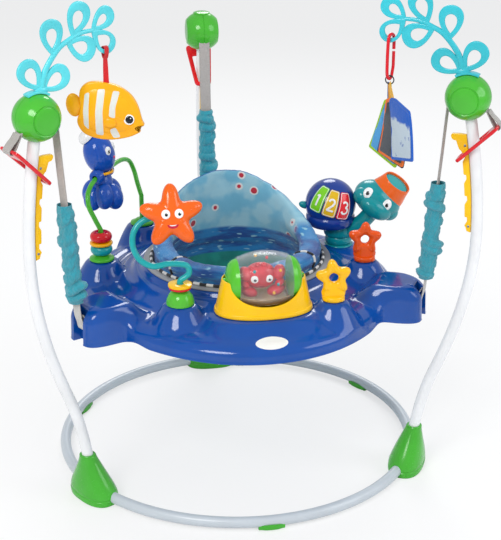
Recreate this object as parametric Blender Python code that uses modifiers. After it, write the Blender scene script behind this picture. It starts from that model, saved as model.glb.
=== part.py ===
# Baby activity jumper: a floor ring on three feet, three bowed posts, and a toy tray with a turning
# seat that hangs from the posts on webbing and springs. Metres, +Z up, the child faces -Y.

import math

import bmesh
import bpy
from mathutils import Matrix, Vector

# General
TOUCH_GAP = 0.0003
RUNNING_GAP = 0.0008
POST_AZIMUTHS = {"left": 210.0, "right": -30.0, "back": 90.0}

# Floor ring, its feet and grip pads
RING_RADIUS = 0.370
RING_TUBE = 0.022
RING_END_GAP = 0.004
RING_STEPS = 15
GRIP_LIFT = 0.004
GRIP_LENGTH = 0.050
GRIP_WIDTH = 0.026
GRIP_HEIGHT = 0.013
FOOT_LENGTH = 0.120
FOOT_WIDTH = 0.072
FOOT_HEIGHT = 0.098
FOOT_COLLAR_WALL = 0.005

# Posts: offsets of the centre line outside the ring's radius, the heights where they hold, and the
# slope of the tube there
POST_TUBE = 0.022
POST_FOOT_OFFSET = 0.009
POST_FOOT_SLOPE = 0.15
POST_START = 0.034
POST_STEPS = 13
KNEE_HEIGHT = 0.233
KNEE_OFFSET = 0.0525
KNEE_SLOPE = 0.40
BULGE_HEIGHT = 0.530
BULGE_OFFSET = 0.119
HUB_HEIGHT = 0.793
HUB_OFFSET = 0.087
HUB_SLOPE = -0.20
POST_TOP_OVER_HUB = 0.008

# Hubs: the round housings that turn the webbing over the post tops
HUB_DIAMETER = 0.0866
HUB_THICKNESS = 0.071
HUB_COVER_DIAMETER = 0.050
HUB_COVER_GROOVE = 0.002
WRAP_RADIUS = 0.036

# Webbing, springs and sleeves
STRAP_WIDTH = 0.024
STRAP_THICKNESS = 0.002
SLEEVE_TOP = 0.622
SLEEVE_LENGTH = 0.197
SLEEVE_DIAMETER = 0.035
SLEEVE_BULGE = 0.0045
SLEEVE_WALL = 0.002
SPRING_DIAMETER = 0.018
SPRING_WIRE = 0.003
SPRING_TURNS = 6
SPRING_END = 0.012

# Height racks and the red rings that hook on them
NOTCH_PITCH = 0.042
NOTCH_COUNT = 4
TOOTH_DEPTH = 0.0125
NOTCH_DEPTH = 0.005
RACK_THICKNESS = 0.009
RACK_HOOK_REACH = 0.030
RACK_HOOK_HEIGHT = 0.012
RACK_BLOCK_DEPTH = 0.020
NOTCH_BELOW_HUB = 0.113
RACK_HOOK_OVER_NOTCH = 0.030
RACK_TAIL = 0.024
RING_LATCH_LENGTH = 0.108
RING_LATCH_OUTER_WIDTH = 0.060
RING_LATCH_INNER_WIDTH = 0.036
RING_LATCH_THICKNESS = 0.007
RING_LATCH_BAR = 0.008
RING_LATCH_TILT = 45.0
LATCH_CLEARANCE = 0.0025

# Tray
DECK_HEIGHT = 0.404
TRAY_RADIUS = 0.322
TRAY_FRONT_BULGE = 0.043
TRAY_WALL = 0.004
SKIRT_DEPTH = 0.061
LOBE_OVER_RING = 0.023
LOBE_WIDTH = 0.114
LOBE_RISE = 0.008
DECK_ROUNDING = 0.040
LOBE_ROUNDING = 0.020
OPENING_RADIUS = 0.180
RIM_RISE = 0.012
RIM_WIDTH = 0.016
RIM_DEPTH = 0.034
STRAP_SLOT_WIDTH = 0.030
STRAP_SLOT_DEPTH = 0.018
DISH_DEPTH = 0.022
DISH_AZIMUTH = 149.0
DISH_SPREAD = 26.0
MOUNT_RISE = 0.014
MOUNT_FLARE = 0.012
ANCHOR_BAR = 0.008
ANCHOR_LENGTH = 0.046
ANCHOR_DROP = 0.034
ANCHOR_INSET = 0.0125
ANCHOR_SHELF = 0.012

# Seat
SEAT_SIDES = 24
SEAT_RING_GAP = 0.003
SEAT_RING_WALL = 0.004
SEAT_RING_FLANGE = 0.012
SEAT_WALL = 0.005
SEAT_FRONT_RISE = 0.050
SEAT_BACK_RISE = 0.150
SEAT_ROLL = 0.042
SEAT_BACK_PAD = 0.018
SEAT_DROP = 0.200
SEAT_BOTTOM_RADIUS = 0.078
LEG_HOLE_DIAMETER = 0.112
LEG_HOLE_SPREAD = 0.086

# Octopus arch on the tray's left side
ARCH_FOOT_X = -0.275
ARCH_FOOT_Y = 0.035
ARCH_END_X = -0.170
ARCH_END_Y = 0.240
ARCH_RISE = 0.158
ARCH_STRAIGHT = 0.064
ARCH_TUBE = 0.010
ARCH_BULGE = 0.010
ARCH_LEAN = 0.026
BEAD_DIAMETER = 0.045
BEAD_HEIGHT = 0.020
BEAD_DISC_DIAMETER = 0.047
BEAD_DISC_HEIGHT = 0.007
FLANGE_DIAMETER = 0.051
FLANGE_HEIGHT = 0.012
OCTOPUS_HEIGHT = 0.165
OCTOPUS_WIDTH = 0.096
OCTOPUS_HEAD = 0.070
OCTOPUS_NECK = 0.050
OCTOPUS_BORE_GAP = 0.0030
OCTOPUS_SHARE = 0.45

# Star stalk on the tray's front left
STALK_X = -0.148
STALK_Y = -0.223
STALK_TUBE = 0.0115
STALK_DOME_DIAMETER = 0.054
STALK_DOME_HEIGHT = 0.030
STALK_DISC_DIAMETER = 0.046
STALK_DISC_HEIGHT = 0.005
STALK_SWAY = 0.085
STALK_RISE = 0.170
RATTLE_SPAN = 0.122
RATTLE_THICKNESS = 0.034
RATTLE_LEAN = 19.0
RATTLE_OFFSET = -0.013
RATTLE_PIN = 0.006

# Roller station at the tray's front
ROLLER_X = 0.008
ROLLER_Y = -0.243
ROLLER_OVER_DECK = 0.0615
ROLLER_DIAMETER = 0.108
ROLLER_BARREL = 0.102
ROLLER_END_DIAMETER = 0.088
ROLLER_WALL = 0.0025
ROLLER_CAP = 0.024
ROLLER_AXLE = 0.008
ROLLER_CLEARANCE = 0.0015
CRADLE_WIDTH = 0.190
CRADLE_DEPTH = 0.118
CRADLE_HEIGHT = 0.074
CRADLE_DIP = 0.038
CRAB_WIDTH = 0.078

# Turtle station at the tray's right
TURTLE_X = 0.218
TURTLE_Y = 0.090
TURTLE_FACING = -105.0
SHELL_DIAMETER = 0.108
SHELL_OVER_MOUNT = 0.072
SHELL_FLAT = 0.040
PEDESTAL_DIAMETER = 0.068
HEAD_DIAMETER = 0.092
PEDESTAL_SHIFT = 0.012
HEAD_REACH = 0.099
HEAD_AZIMUTH = -20.0
HEAD_RISE = 0.014
NECK_DIAMETER = 0.034
KEY_SPREAD = 34.0
KEY_ARC = 26.0
KEY_LOW = 2.0
KEY_HIGH = 50.0
KEY_THICKNESS = 0.006
KEY_PROUD = 0.0025
KEY_TRAVEL = 0.0025
KEY_GAP = 0.0016

# Star loops on the tray's right
YELLOW_LOOP_X = 0.141
YELLOW_LOOP_Y = -0.256
ORANGE_LOOP_X = 0.253
ORANGE_LOOP_Y = -0.064
LOOP_SPAN = 0.070
LOOP_THICKNESS = 0.018
LOOP_HOLE = 0.018
LOOP_HEIGHT = 0.096
LOOP_COLLAR_DIAMETER = 0.044
LOOP_COLLAR_HEIGHT = 0.010

# Seaweed hangers on the two front hubs, and the toys that hang from them
WEED_THICKNESS = 0.006
WEED_STEM = 0.008
WEED_FOOT = 0.040
WEED_REACH = 0.114
WEED_RISE = 0.094
LEAF_LENGTH = 0.062
LEAF_WIDTH = 0.046
LEAF_RIM = 0.0065
LEAF_TURN = 48.0
FISH_LENGTH = 0.122
FISH_HEIGHT = 0.104
FISH_THICKNESS = 0.026
RIBBON_WIDTH = 0.009
RIBBON_THICKNESS = 0.0015
RIBBON_LENGTH = 0.064
RIBBON_REST = 0.0042
FISH_YAW = 139.5
LINK_HEIGHT = 0.088
LINK_WIDTH = 0.030
LINK_ROD = 0.0055
LINK_REST = 0.0022
CARD_WIDTH = 0.080
CARD_HEIGHT = 0.112
CARD_THICKNESS = 0.0045
CARD_PITCH = 0.0060
CARD_COUNT = 4
CARD_FAN = 10.0
CARD_YAW = -36.0
CARD_RING = 0.020
CARD_RING_WIRE = 0.0026

# Sizes that follow from the ones above
RING_HEIGHT = GRIP_LIFT + RING_TUBE / 2
HUB_RADIUS_FROM_AXIS = RING_RADIUS + HUB_OFFSET
LOBE_REACH = RING_RADIUS + LOBE_OVER_RING
HEIGHT_TRAVEL = NOTCH_PITCH * (NOTCH_COUNT - 1)
SKIRT_BOTTOM = DECK_HEIGHT - SKIRT_DEPTH
SLEEVE_BOTTOM = SLEEVE_TOP - SLEEVE_LENGTH
STRAP_TOP_RADIUS = HUB_RADIUS_FROM_AXIS - WRAP_RADIUS
STRAP_LOW_RADIUS = LOBE_REACH + STRAP_THICKNESS
RIM_HEIGHT = DECK_HEIGHT + RIM_RISE
MOUNT_TOP = DECK_HEIGHT + MOUNT_RISE
FIRST_NOTCH_HEIGHT = HUB_HEIGHT - NOTCH_BELOW_HUB
ROLLER_Z = DECK_HEIGHT + ROLLER_OVER_DECK


# Scene
def clear_scene():
    for thing in list(bpy.data.objects):
        bpy.data.objects.remove(thing)
    for group in list(bpy.data.collections):
        bpy.data.collections.remove(group)


def new_collection(name):
    group = bpy.data.collections.new(name)
    bpy.context.scene.collection.children.link(group)
    return group


clear_scene()
JUMPER = new_collection("baby_activity_jumper")
BENCH = new_collection("bench")
BENCH.hide_render = True


def paint(name, colour, roughness, metallic=0.0):
    """A plain plastic, metal or cloth colour."""
    shade = bpy.data.materials.new(name)
    shade.use_nodes = True
    surface = shade.node_tree.nodes["Principled BSDF"]
    surface.inputs["Base Color"].default_value = (*colour, 1.0)
    surface.inputs["Roughness"].default_value = roughness
    surface.inputs["Metallic"].default_value = metallic
    return shade


def empty(name, place=(0.0, 0.0, 0.0), parent=None, turn=0.0):
    """A joint's frame: its location is a point of the joint's axis."""
    frame = bpy.data.objects.new(name, None)
    JUMPER.objects.link(frame)
    frame.parent = parent
    frame.location = place
    frame.rotation_euler.z = turn
    return frame


def node(name, mesh, shade, parent=None, place=(0.0, 0.0, 0.0), turn=0.0):
    """One named piece of the jumper."""
    piece = bpy.data.objects.new(name, mesh)
    if not mesh.materials:
        mesh.materials.append(shade)
    JUMPER.objects.link(piece)
    piece.parent = parent
    piece.location = place
    piece.rotation_euler.z = turn
    return piece


# Shapes: each of these gives a mesh
def baked(thing):
    """The evaluated mesh of a bench object, with its place applied and its loose caps welded."""
    bpy.context.view_layer.update()
    graph = bpy.context.evaluated_depsgraph_get()
    mesh = bpy.data.meshes.new_from_object(thing.evaluated_get(graph))
    mesh.transform(thing.matrix_world)
    mesh.materials.clear()
    bpy.data.objects.remove(thing)
    welded = bmesh.new()
    welded.from_mesh(mesh)
    bmesh.ops.remove_doubles(welded, verts=welded.verts, dist=1e-6)
    bmesh.ops.dissolve_degenerate(welded, edges=welded.edges, dist=1e-6)
    welded.to_mesh(mesh)
    welded.free()
    return mesh


def bench(name, data):
    thing = bpy.data.objects.new(name, data)
    BENCH.objects.link(thing)
    return thing


def from_bmesh(shape, name="shape"):
    mesh = bpy.data.meshes.new(name)
    shape.to_mesh(mesh)
    shape.free()
    return mesh


def moved(mesh, place=(0.0, 0.0, 0.0), turn=(0.0, 0.0, 0.0), scale=(1.0, 1.0, 1.0)):
    """The mesh scaled, then turned about X, Y and Z in degrees, then moved."""
    spin = Matrix.Identity(4)
    for axis, angle in zip("XYZ", turn):
        spin = Matrix.Rotation(math.radians(angle), 4, axis) @ spin
    mesh.transform(Matrix.Translation(place) @ spin @ Matrix.Diagonal((*scale, 1.0)))
    return mesh


def block(size, centre=(0.0, 0.0, 0.0), bevel=0.0, steps=1):
    shape = bmesh.new()
    bmesh.ops.create_cube(shape, size=1.0)
    bmesh.ops.scale(shape, vec=size, verts=shape.verts)
    if bevel:
        bmesh.ops.bevel(shape, geom=list(shape.edges), offset=bevel, segments=steps,
                        affect="EDGES", profile=0.5, material=-1)
    bmesh.ops.translate(shape, vec=centre, verts=shape.verts)
    return from_bmesh(shape)


def rod(diameter, length, centre=(0.0, 0.0, 0.0), turn=(0.0, 0.0, 0.0), sides=16, top=None):
    """A cylinder along Z, or a cone where the top has its own diameter."""
    shape = bmesh.new()
    bmesh.ops.create_cone(shape, cap_ends=True, segments=sides, radius1=diameter / 2,
                          radius2=(top if top is not None else diameter) / 2, depth=length)
    return moved(from_bmesh(shape), centre, turn)


def ball(size, centre=(0.0, 0.0, 0.0), turn=(0.0, 0.0, 0.0), rings=8, sides=14):
    shape = bmesh.new()
    bmesh.ops.create_uvsphere(shape, u_segments=sides, v_segments=rings, radius=0.5)
    return moved(from_bmesh(shape), centre, turn, size)


def tube(points, diameter, cyclic=False, roundness=2):
    """A rod bent along the points."""
    curve = bpy.data.curves.new("route", "CURVE")
    curve.dimensions = "3D"
    curve.bevel_depth = diameter / 2
    curve.bevel_resolution = roundness
    curve.use_fill_caps = True
    curve.resolution_u = 1
    curve.render_resolution_u = 0
    route = curve.splines.new("POLY")
    route.points.add(len(points) - 1)
    for spot, point in zip(route.points, points):
        spot.co = (*point, 1.0)
    route.use_cyclic_u = cyclic
    return baked(bench("tube", curve))


def plate(outlines, thickness):
    """A flat piece in XY, centred on z = 0: the first outline is its edge and the others are holes."""
    curve = bpy.data.curves.new("outline", "CURVE")
    curve.dimensions = "2D"
    curve.fill_mode = "BOTH"
    curve.extrude = thickness / 2
    curve.render_resolution_u = 0
    for outline in outlines:
        edge = curve.splines.new("POLY")
        edge.points.add(len(outline) - 1)
        for spot, point in zip(edge.points, outline):
            spot.co = (point[0], point[1], 0.0, 1.0)
        edge.use_cyclic_u = True
    return baked(bench("plate", curve))


def upright(mesh):
    """Stands a flat piece up: its XY becomes XZ."""
    return moved(mesh, turn=(90.0, 0.0, 0.0))


def turned(profile, steps):
    """A profile of (radius, height) points, from top to bottom on its outer side, turned about Z."""
    shape = bmesh.new()
    corners = [shape.verts.new((radius, 0.0, height)) for radius, height in profile]
    for first, second in zip(corners, corners[1:]):
        shape.edges.new((first, second))
    if profile[0][0] > 0.0:
        shape.edges.new((corners[-1], corners[0]))
    thing = bench("turned", from_bmesh(shape))
    screw = thing.modifiers.new("Screw", "SCREW")
    screw.steps = steps
    screw.render_steps = steps
    screw.use_merge_vertices = True
    screw.merge_threshold = 0.00001
    return baked(thing)


def loft(rings, closed=False):
    """A skin over rings of points: its ends are capped, or its last ring joins its first."""
    shape = bmesh.new()
    loops = [[shape.verts.new(point) for point in ring] for ring in rings]
    pairs = list(zip(loops, loops[1:]))
    if closed:
        pairs.append((loops[-1], loops[0]))
    for lower, upper in pairs:
        for here in range(len(lower)):
            after = (here + 1) % len(lower)
            shape.faces.new((lower[here], lower[after], upper[after], upper[here]))
    if not closed:
        shape.faces.new(list(reversed(loops[0])))
        shape.faces.new(loops[-1])
    bmesh.ops.recalc_face_normals(shape, faces=shape.faces)
    return from_bmesh(shape)


def boolean(mesh, tool, operation):
    """The mesh cut by, joined to or kept inside the tool."""
    thing = bench("work", mesh)
    cutter = bench("cutter", tool)
    cutter.display_type = "WIRE"
    cutter.hide_render = True
    step = thing.modifiers.new("Boolean", "BOOLEAN")
    step.operation = operation
    step.object = cutter
    result = baked(thing)
    bpy.data.objects.remove(cutter)
    return result


def cut(mesh, *tools):
    for tool in tools:
        mesh = boolean(mesh, tool, "DIFFERENCE")
    return mesh


def joined(mesh, *others):
    for other in others:
        mesh = boolean(mesh, other, "UNION")
    return mesh


def smoothed(mesh, angle=40.0):
    mesh.shade_smooth()
    mesh.set_sharp_from_angle(angle=math.radians(angle))
    return mesh


# Curves and outlines
def blend(start, end, share):
    return start + (end - start) * share


def circle(radius, count, centre=(0.0, 0.0), start=0.0):
    """Points of a circle in a plane."""
    return [(centre[0] + radius * math.cos(start + 2 * math.pi * step / count),
             centre[1] + radius * math.sin(start + 2 * math.pi * step / count)) for step in range(count)]


def hermite(low, high, height):
    """A smooth line between two stations of (height, value, slope)."""
    span = high[0] - low[0]
    t = (height - low[0]) / span
    return ((2 * t**3 - 3 * t**2 + 1) * low[1] + (t**3 - 2 * t**2 + t) * span * low[2]
            + (3 * t**2 - 2 * t**3) * high[1] + (t**3 - t**2) * span * high[2])


def flowing(points, count):
    """Evenly counted points on a smooth curve through the given ones."""
    knots = [Vector(point) for point in points]
    knots = [2 * knots[0] - knots[1], *knots, 2 * knots[-1] - knots[-2]]
    spans = len(points) - 1
    line = []
    for step in range(count):
        place = spans * step / (count - 1)
        span = min(int(place), spans - 1)
        t = place - span
        a, b, c, d = knots[span:span + 4]
        line.append(0.5 * (2 * b + (c - a) * t + (2 * a - 5 * b + 4 * c - d) * t**2
                           + (3 * b - a - 3 * c + d) * t**3))
    return line


def star_outline(span, count=5, waist=0.56, softness=3, lift=90.0):
    """A star with rounded tips: each tip and each waist is softened by a few points."""
    outline = []
    for step in range(count * 2 * softness):
        angle = math.pi * step / (count * softness)
        wave = 0.5 + 0.5 * math.cos(count * angle)
        radius = span / 2 * blend(waist, 1.0, wave**1.15)
        turn = angle + math.radians(lift)
        outline.append((radius * math.cos(turn), radius * math.sin(turn)))
    return outline


# Colours
GREEN = paint("green_plastic", (0.08, 0.42, 0.04), 0.25)
PALE_BLUE = paint("pale_blue_enamel", (0.56, 0.62, 0.68), 0.35, 0.1)
WHITE = paint("white_enamel", (0.82, 0.83, 0.85), 0.3, 0.1)
YELLOW = paint("yellow_plastic", (0.95, 0.58, 0.01), 0.3)
RED = paint("red_plastic", (0.72, 0.01, 0.03), 0.3)
GREY_WEBBING = paint("grey_webbing", (0.42, 0.41, 0.40), 0.85)
STEEL = paint("spring_steel", (0.55, 0.55, 0.57), 0.3, 1.0)
TEAL_CLOTH = paint("teal_cloth", (0.01, 0.37, 0.45), 0.85)
TRAY_BLUE = paint("tray_blue_plastic", (0.004, 0.07, 0.36), 0.2)
SEAT_CLOTH = paint("seat_cloth", (0.02, 0.22, 0.55), 0.9)
TEAL = paint("teal_plastic", (0.0, 0.32, 0.37), 0.25)
CYAN = paint("cyan_plastic", (0.04, 0.53, 0.62), 0.3)
ORANGE = paint("orange_plastic", (0.85, 0.14, 0.0), 0.3)
NAVY = paint("navy_plastic", (0.005, 0.03, 0.22), 0.25)
CLEAR = paint("clear_plastic", (0.75, 0.8, 0.85), 0.1)
CRAB_RED = paint("crab_red_plastic", (0.66, 0.04, 0.06), 0.35)
FISH_YELLOW = paint("fish_yellow_plush", (0.95, 0.52, 0.01), 0.6)
CARD_CLOTH = paint("card_cloth", (0.35, 0.6, 0.05), 0.8)


# The standing frame
def post_radius(height):
    """Distance of the post's centre line from the jumper's axis at a height."""
    foot = (FOOT_HEIGHT / 2, RING_RADIUS + POST_FOOT_OFFSET, POST_FOOT_SLOPE)
    knee = (KNEE_HEIGHT, RING_RADIUS + KNEE_OFFSET, KNEE_SLOPE)
    bulge = (BULGE_HEIGHT, RING_RADIUS + BULGE_OFFSET, 0.0)
    top = (HUB_HEIGHT, HUB_RADIUS_FROM_AXIS, HUB_SLOPE)
    if height < KNEE_HEIGHT:
        return hermite(foot, knee, height)
    if height < BULGE_HEIGHT:
        return hermite(knee, bulge, height)
    return hermite(bulge, top, height)


def post_line():
    """The post's own centre line, from inside the foot to inside the hub."""
    high = HUB_HEIGHT + POST_TOP_OVER_HUB
    heights = [blend(POST_START, high, step / POST_STEPS) for step in range(POST_STEPS + 1)]
    return [(post_radius(height), 0.0, height) for height in heights]


def post_side(height):
    """The post's radius from the axis at a height, on the straight runs that its tube is made of."""
    line = post_line()
    for low, high in zip(line, line[1:]):
        if height <= high[2]:
            break
    return blend(low[0], high[0], (height - low[2]) / (high[2] - low[2]))


def post_hole(stretch):
    """A cutter round a stretch of the post's line."""
    return tube(stretch, POST_TUBE + 2 * TOUCH_GAP, roundness=3)


def ring_line(radius, start, end, count):
    """Points of the floor ring between two angles in degrees."""
    line = []
    for step in range(count):
        angle = math.radians(blend(start, end, step / (count - 1)))
        line.append((radius * math.cos(angle), radius * math.sin(angle), RING_HEIGHT))
    return line


def foot_mesh():
    """A rounded cone over the ring's ends, with a collar round the post."""
    widths = ((0.0, 0.47, 0.44), (0.10, 0.50, 0.50), (0.30, 0.46, 0.47), (0.58, 0.32, 0.36))
    collar = POST_TUBE / 2 + FOOT_COLLAR_WALL
    rings = []
    for share, long_share, wide_share in widths:
        height = FOOT_HEIGHT * share
        long_half = max(FOOT_LENGTH * long_share, collar)
        wide_half = max(FOOT_WIDTH * wide_share, collar)
        rings.append([(post_radius(height) + wide_half * math.cos(angle), long_half * math.sin(angle), height)
                      for angle in [2 * math.pi * step / 12 for step in range(12)]])
    rings.append([(post_radius(FOOT_HEIGHT) + x, y, FOOT_HEIGHT) for x, y in circle(collar, 12)])
    stretch = [point for point in post_line() if point[2] < FOOT_HEIGHT + 0.06]
    bottom = POST_START - TOUCH_GAP
    bore = post_hole([(post_radius(bottom), 0.0, bottom), *stretch[1:]])
    gap, step = ring_end_angle(), ring_step_angle()
    beside = ring_line(RING_RADIUS, gap, gap + 3 * step, 4)
    ring_hole = tube([(x, -y, z) for x, y, z in reversed(beside)] + beside, RING_TUBE + 2 * TOUCH_GAP)
    return smoothed(cut(loft(rings), bore, ring_hole))


def ring_end_angle():
    """From a foot's middle to the end of the ring's tube, in degrees."""
    return math.degrees(RING_END_GAP / RING_RADIUS)


def ring_step_angle():
    return (120.0 - 2 * ring_end_angle()) / RING_STEPS


def ring_tube_mesh():
    """One third of the floor ring, from foot to foot, about azimuth zero."""
    half = 60.0 - ring_end_angle()
    return smoothed(tube(ring_line(RING_RADIUS, -half, half, RING_STEPS + 1), RING_TUBE))


def grip_mesh():
    """A short saddle under the ring's tube that grips the floor."""
    half = math.degrees(GRIP_LENGTH / 2 / RING_RADIUS)
    width = GRIP_WIDTH / 2
    rings = []
    for share in (-1.0, -0.6, 0.0, 0.6, 1.0):
        angle = math.radians(half * share)
        out = Vector((math.cos(angle), math.sin(angle), 0.0))
        wide = width * (1.0 - 0.25 * share**2)
        corners = ((-wide, GRIP_HEIGHT), (-wide, 0.002), (0.002 - wide, 0.0), (wide - 0.002, 0.0),
                   (wide, 0.002), (wide, GRIP_HEIGHT))
        rings.append([out * (RING_RADIUS + offset) + Vector((0.0, 0.0, height))
                      for offset, height in corners])
    step = ring_step_angle() / 2
    groove = tube(ring_line(RING_RADIUS, -3 * step, 3 * step, 4), RING_TUBE + 2 * TOUCH_GAP)
    return cut(loft(rings), groove)


def post_mesh():
    return smoothed(tube(post_line(), POST_TUBE, roundness=3))


def strap_line():
    """The webbing's centre line: up from the red ring, over the post's top and down to the spring."""
    centre = Vector((HUB_RADIUS_FROM_AXIS, 0.0, HUB_HEIGHT - 0.006))
    line = [latch_point(RING_LATCH_LENGTH - RING_LATCH_BAR - 0.008, 0.0), Vector(
        (HUB_RADIUS_FROM_AXIS + WRAP_RADIUS + 0.001, 0.0, HUB_HEIGHT - 0.020))]
    for step in range(9):
        angle = math.radians(-4.0 + 188.0 * step / 8)
        line.append(centre + WRAP_RADIUS * Vector((math.cos(angle), 0.0, math.sin(angle))))
    line.append(Vector((hanger_radius(SLEEVE_TOP - SPRING_END - TOUCH_GAP), 0.0,
                        SLEEVE_TOP - SPRING_END - TOUCH_GAP)))
    return line


def hanger_radius(height):
    """The leaning line from the hub's inner side down to the tray, which webbing and spring follow."""
    share = (HUB_HEIGHT - 0.020 - height) / (HUB_HEIGHT - 0.020 - SLEEVE_BOTTOM)
    return blend(STRAP_TOP_RADIUS, STRAP_LOW_RADIUS, share)


def ribbon(line, width, thickness):
    """A flat band along a line in the XZ plane."""
    outer, inner = [], []
    for here, point in enumerate(line):
        before = line[max(here - 1, 0)]
        after = line[min(here + 1, len(line) - 1)]
        along = (Vector(after) - Vector(before)).normalized()
        side = Vector((-along.z, 0.0, along.x)) * thickness / 2
        outer.append(Vector(point) + side)
        inner.append(Vector(point) - side)
    edge = [(point.x, point.z) for point in outer + list(reversed(inner))]
    return upright(plate([edge], width))


def hub_mesh():
    """A flattened ball across the post's top, with a round cover on each side and a way for the webbing."""
    half = HUB_THICKNESS / 2
    edge = HUB_COVER_DIAMETER / 2
    side = [(0.0, half), (edge, half), (edge + HUB_COVER_GROOVE / 2, half - HUB_COVER_GROOVE)]
    for angle in (math.radians(48.0), math.radians(70.0)):
        side.append((HUB_DIAMETER / 2 * math.sin(angle), half * 1.12 * math.cos(angle)))
    profile = side + [(HUB_DIAMETER / 2, 0.0)] + [(radius, -height) for radius, height in reversed(side)]
    shell = moved(turned(profile, 16), (HUB_RADIUS_FROM_AXIS, 0.0, HUB_HEIGHT), (90.0, 0.0, 0.0))
    stretch = [point for point in post_line() if point[2] > HUB_HEIGHT - 2 * HUB_DIAMETER]
    top = HUB_HEIGHT + POST_TOP_OVER_HUB + TOUCH_GAP
    bore = post_hole([*stretch[:-1], (post_radius(top), 0.0, top)])
    channel = ribbon(strap_line(), STRAP_WIDTH + 0.003, STRAP_THICKNESS + 0.002)
    return smoothed(cut(shell, bore, channel))


def rack_mesh():
    """A toothed strip on the post's inner side, with a hook at its top."""
    low = FIRST_NOTCH_HEIGHT - HEIGHT_TRAVEL - RACK_TAIL
    high = FIRST_NOTCH_HEIGHT + RACK_HOOK_OVER_NOTCH + RACK_HOOK_HEIGHT

    def at(height, depth):
        return (post_side(height) - POST_TUBE / 2 - 2 * TOUCH_GAP - depth, height)

    outline = [at(blend(low, high, step / 8), 0.0) for step in range(9)]
    hook = high - RACK_HOOK_HEIGHT
    outline += [at(high, RACK_HOOK_REACH - 0.003), at(high - 0.003, RACK_HOOK_REACH),
                at(hook, RACK_HOOK_REACH - 0.002), at(hook, RACK_BLOCK_DEPTH),
                at(FIRST_NOTCH_HEIGHT + 0.013, RACK_BLOCK_DEPTH - 0.003)]
    for notch in range(NOTCH_COUNT):
        middle = FIRST_NOTCH_HEIGHT - NOTCH_PITCH * notch
        depth = TOOTH_DEPTH - NOTCH_DEPTH
        outline += [at(middle + 0.007, TOOTH_DEPTH), at(middle + 0.006, depth), at(middle - 0.002, depth),
                    at(middle - 0.010, TOOTH_DEPTH)]
    outline.append(at(low + 0.010, TOOTH_DEPTH * 0.8))
    return upright(plate([outline], RACK_THICKNESS))


def latch_point(along, above):
    """A point of the red ring's plane: along it from its inner edge, and above it."""
    tilt = math.radians(RING_LATCH_TILT)
    inner = post_radius(FIRST_NOTCH_HEIGHT) - POST_TUBE / 2 - TOOTH_DEPTH - LATCH_CLEARANCE - RING_LATCH_BAR
    return Vector((inner + along * math.cos(tilt) - above * math.sin(tilt), 0.0,
                   FIRST_NOTCH_HEIGHT - 0.010 + along * math.sin(tilt) + above * math.cos(tilt)))


def latch_mesh():
    """The red ring round the post that takes the webbing's end and hooks on the rack."""
    inner, outer, length = RING_LATCH_INNER_WIDTH / 2, RING_LATCH_OUTER_WIDTH / 2, RING_LATCH_LENGTH
    soft = 0.008
    edge = [(0.0, -inner + soft), (0.0, inner - soft), (soft, inner), (length - soft, outer),
            (length, outer - soft), (length, -outer + soft), (length - soft, -outer), (soft, -inner)]
    bar = RING_LATCH_BAR
    slot_out = length - bar
    slot_in = slot_out - STRAP_THICKNESS - 0.010
    hole_end = slot_in - bar
    hole = [(bar, -inner + bar), (hole_end, -outer + bar + 0.005), (hole_end, outer - bar - 0.005),
            (bar, inner - bar)]
    slot_half = STRAP_WIDTH / 2 + 0.002
    slot = [(slot_in, -slot_half), (slot_out, -slot_half), (slot_out, slot_half), (slot_in, slot_half)]
    flat = plate([edge, hole, slot], RING_LATCH_THICKNESS)
    start = latch_point(0.0, 0.0)
    return moved(flat, start, (0.0, -RING_LATCH_TILT, 0.0))


OPPOSITE = {"left": "back_right", "right": "back_left", "back": "front"}


def build_frame(frame):
    ring, grip, foot, post = ring_tube_mesh(), grip_mesh(), foot_mesh(), post_mesh()
    hub, rack, latch = hub_mesh(), rack_mesh(), latch_mesh()
    for side, azimuth in POST_AZIMUTHS.items():
        turn = math.radians(azimuth)
        node(f"ring_tube_{OPPOSITE[side]}", ring, PALE_BLUE, frame, turn=turn + math.pi)
        node(f"grip_pad_{OPPOSITE[side]}", grip, GREEN, frame, turn=turn + math.pi)
        node(f"foot_{side}", foot, GREEN, frame, turn=turn)
        node(f"post_{side}", post, WHITE, frame, turn=turn)
        node(f"hub_{side}", hub, GREEN, frame, turn=turn)
        node(f"height_rack_{side}", rack, YELLOW, frame, turn=turn)
        slider = empty(f"latch_slide_{side}", parent=frame, turn=turn)
        node(f"latch_ring_{side}", latch, RED, slider)


# What hangs between the hubs and the tray
def strap_mesh():
    return ribbon(strap_line(), STRAP_WIDTH, STRAP_THICKNESS)


def hanger_point(height, around=0.0, radius=0.0):
    """A point beside the leaning line of the spring."""
    return Vector((hanger_radius(height) + radius * math.cos(around), radius * math.sin(around), height))


def spring_line():
    """A coil whose ends turn in to its middle and meet the webbing."""
    top = SLEEVE_TOP - SPRING_END - RUNNING_GAP
    bottom = SLEEVE_BOTTOM + SPRING_END + RUNNING_GAP
    lead = 3 * SPRING_WIRE
    count = SPRING_TURNS * 8
    line = [hanger_point(top), hanger_point(top - SPRING_WIRE)]
    for step in range(count + 1):
        height = blend(top - lead, bottom + lead, step / count)
        line.append(hanger_point(height, 2 * math.pi * step / 8, (SPRING_DIAMETER - SPRING_WIRE) / 2))
    line += [hanger_point(bottom + SPRING_WIRE), hanger_point(bottom)]
    return line


def spring_mesh():
    return tube(spring_line(), SPRING_WIRE, roundness=0)


def coil_gap():
    """The least room between one curl of the spring and the next."""
    line = spring_line()
    near = min((first - second).length for here, first in enumerate(line) for second in line[here + 6:])
    return near - SPRING_WIRE


def sleeve_fold(share, around):
    """How far the gathered cloth stands off its mean radius, in shares of the bulge."""
    gathers = math.sin(2 * math.pi * 4.5 * share + 0.9 * math.sin(around))
    twist = 0.5 * math.sin(3 * around + 9 * share)
    ends = math.sin(math.pi * share) ** 0.35
    return (gathers + twist) * ends - 0.9 * (1 - ends)


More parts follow.
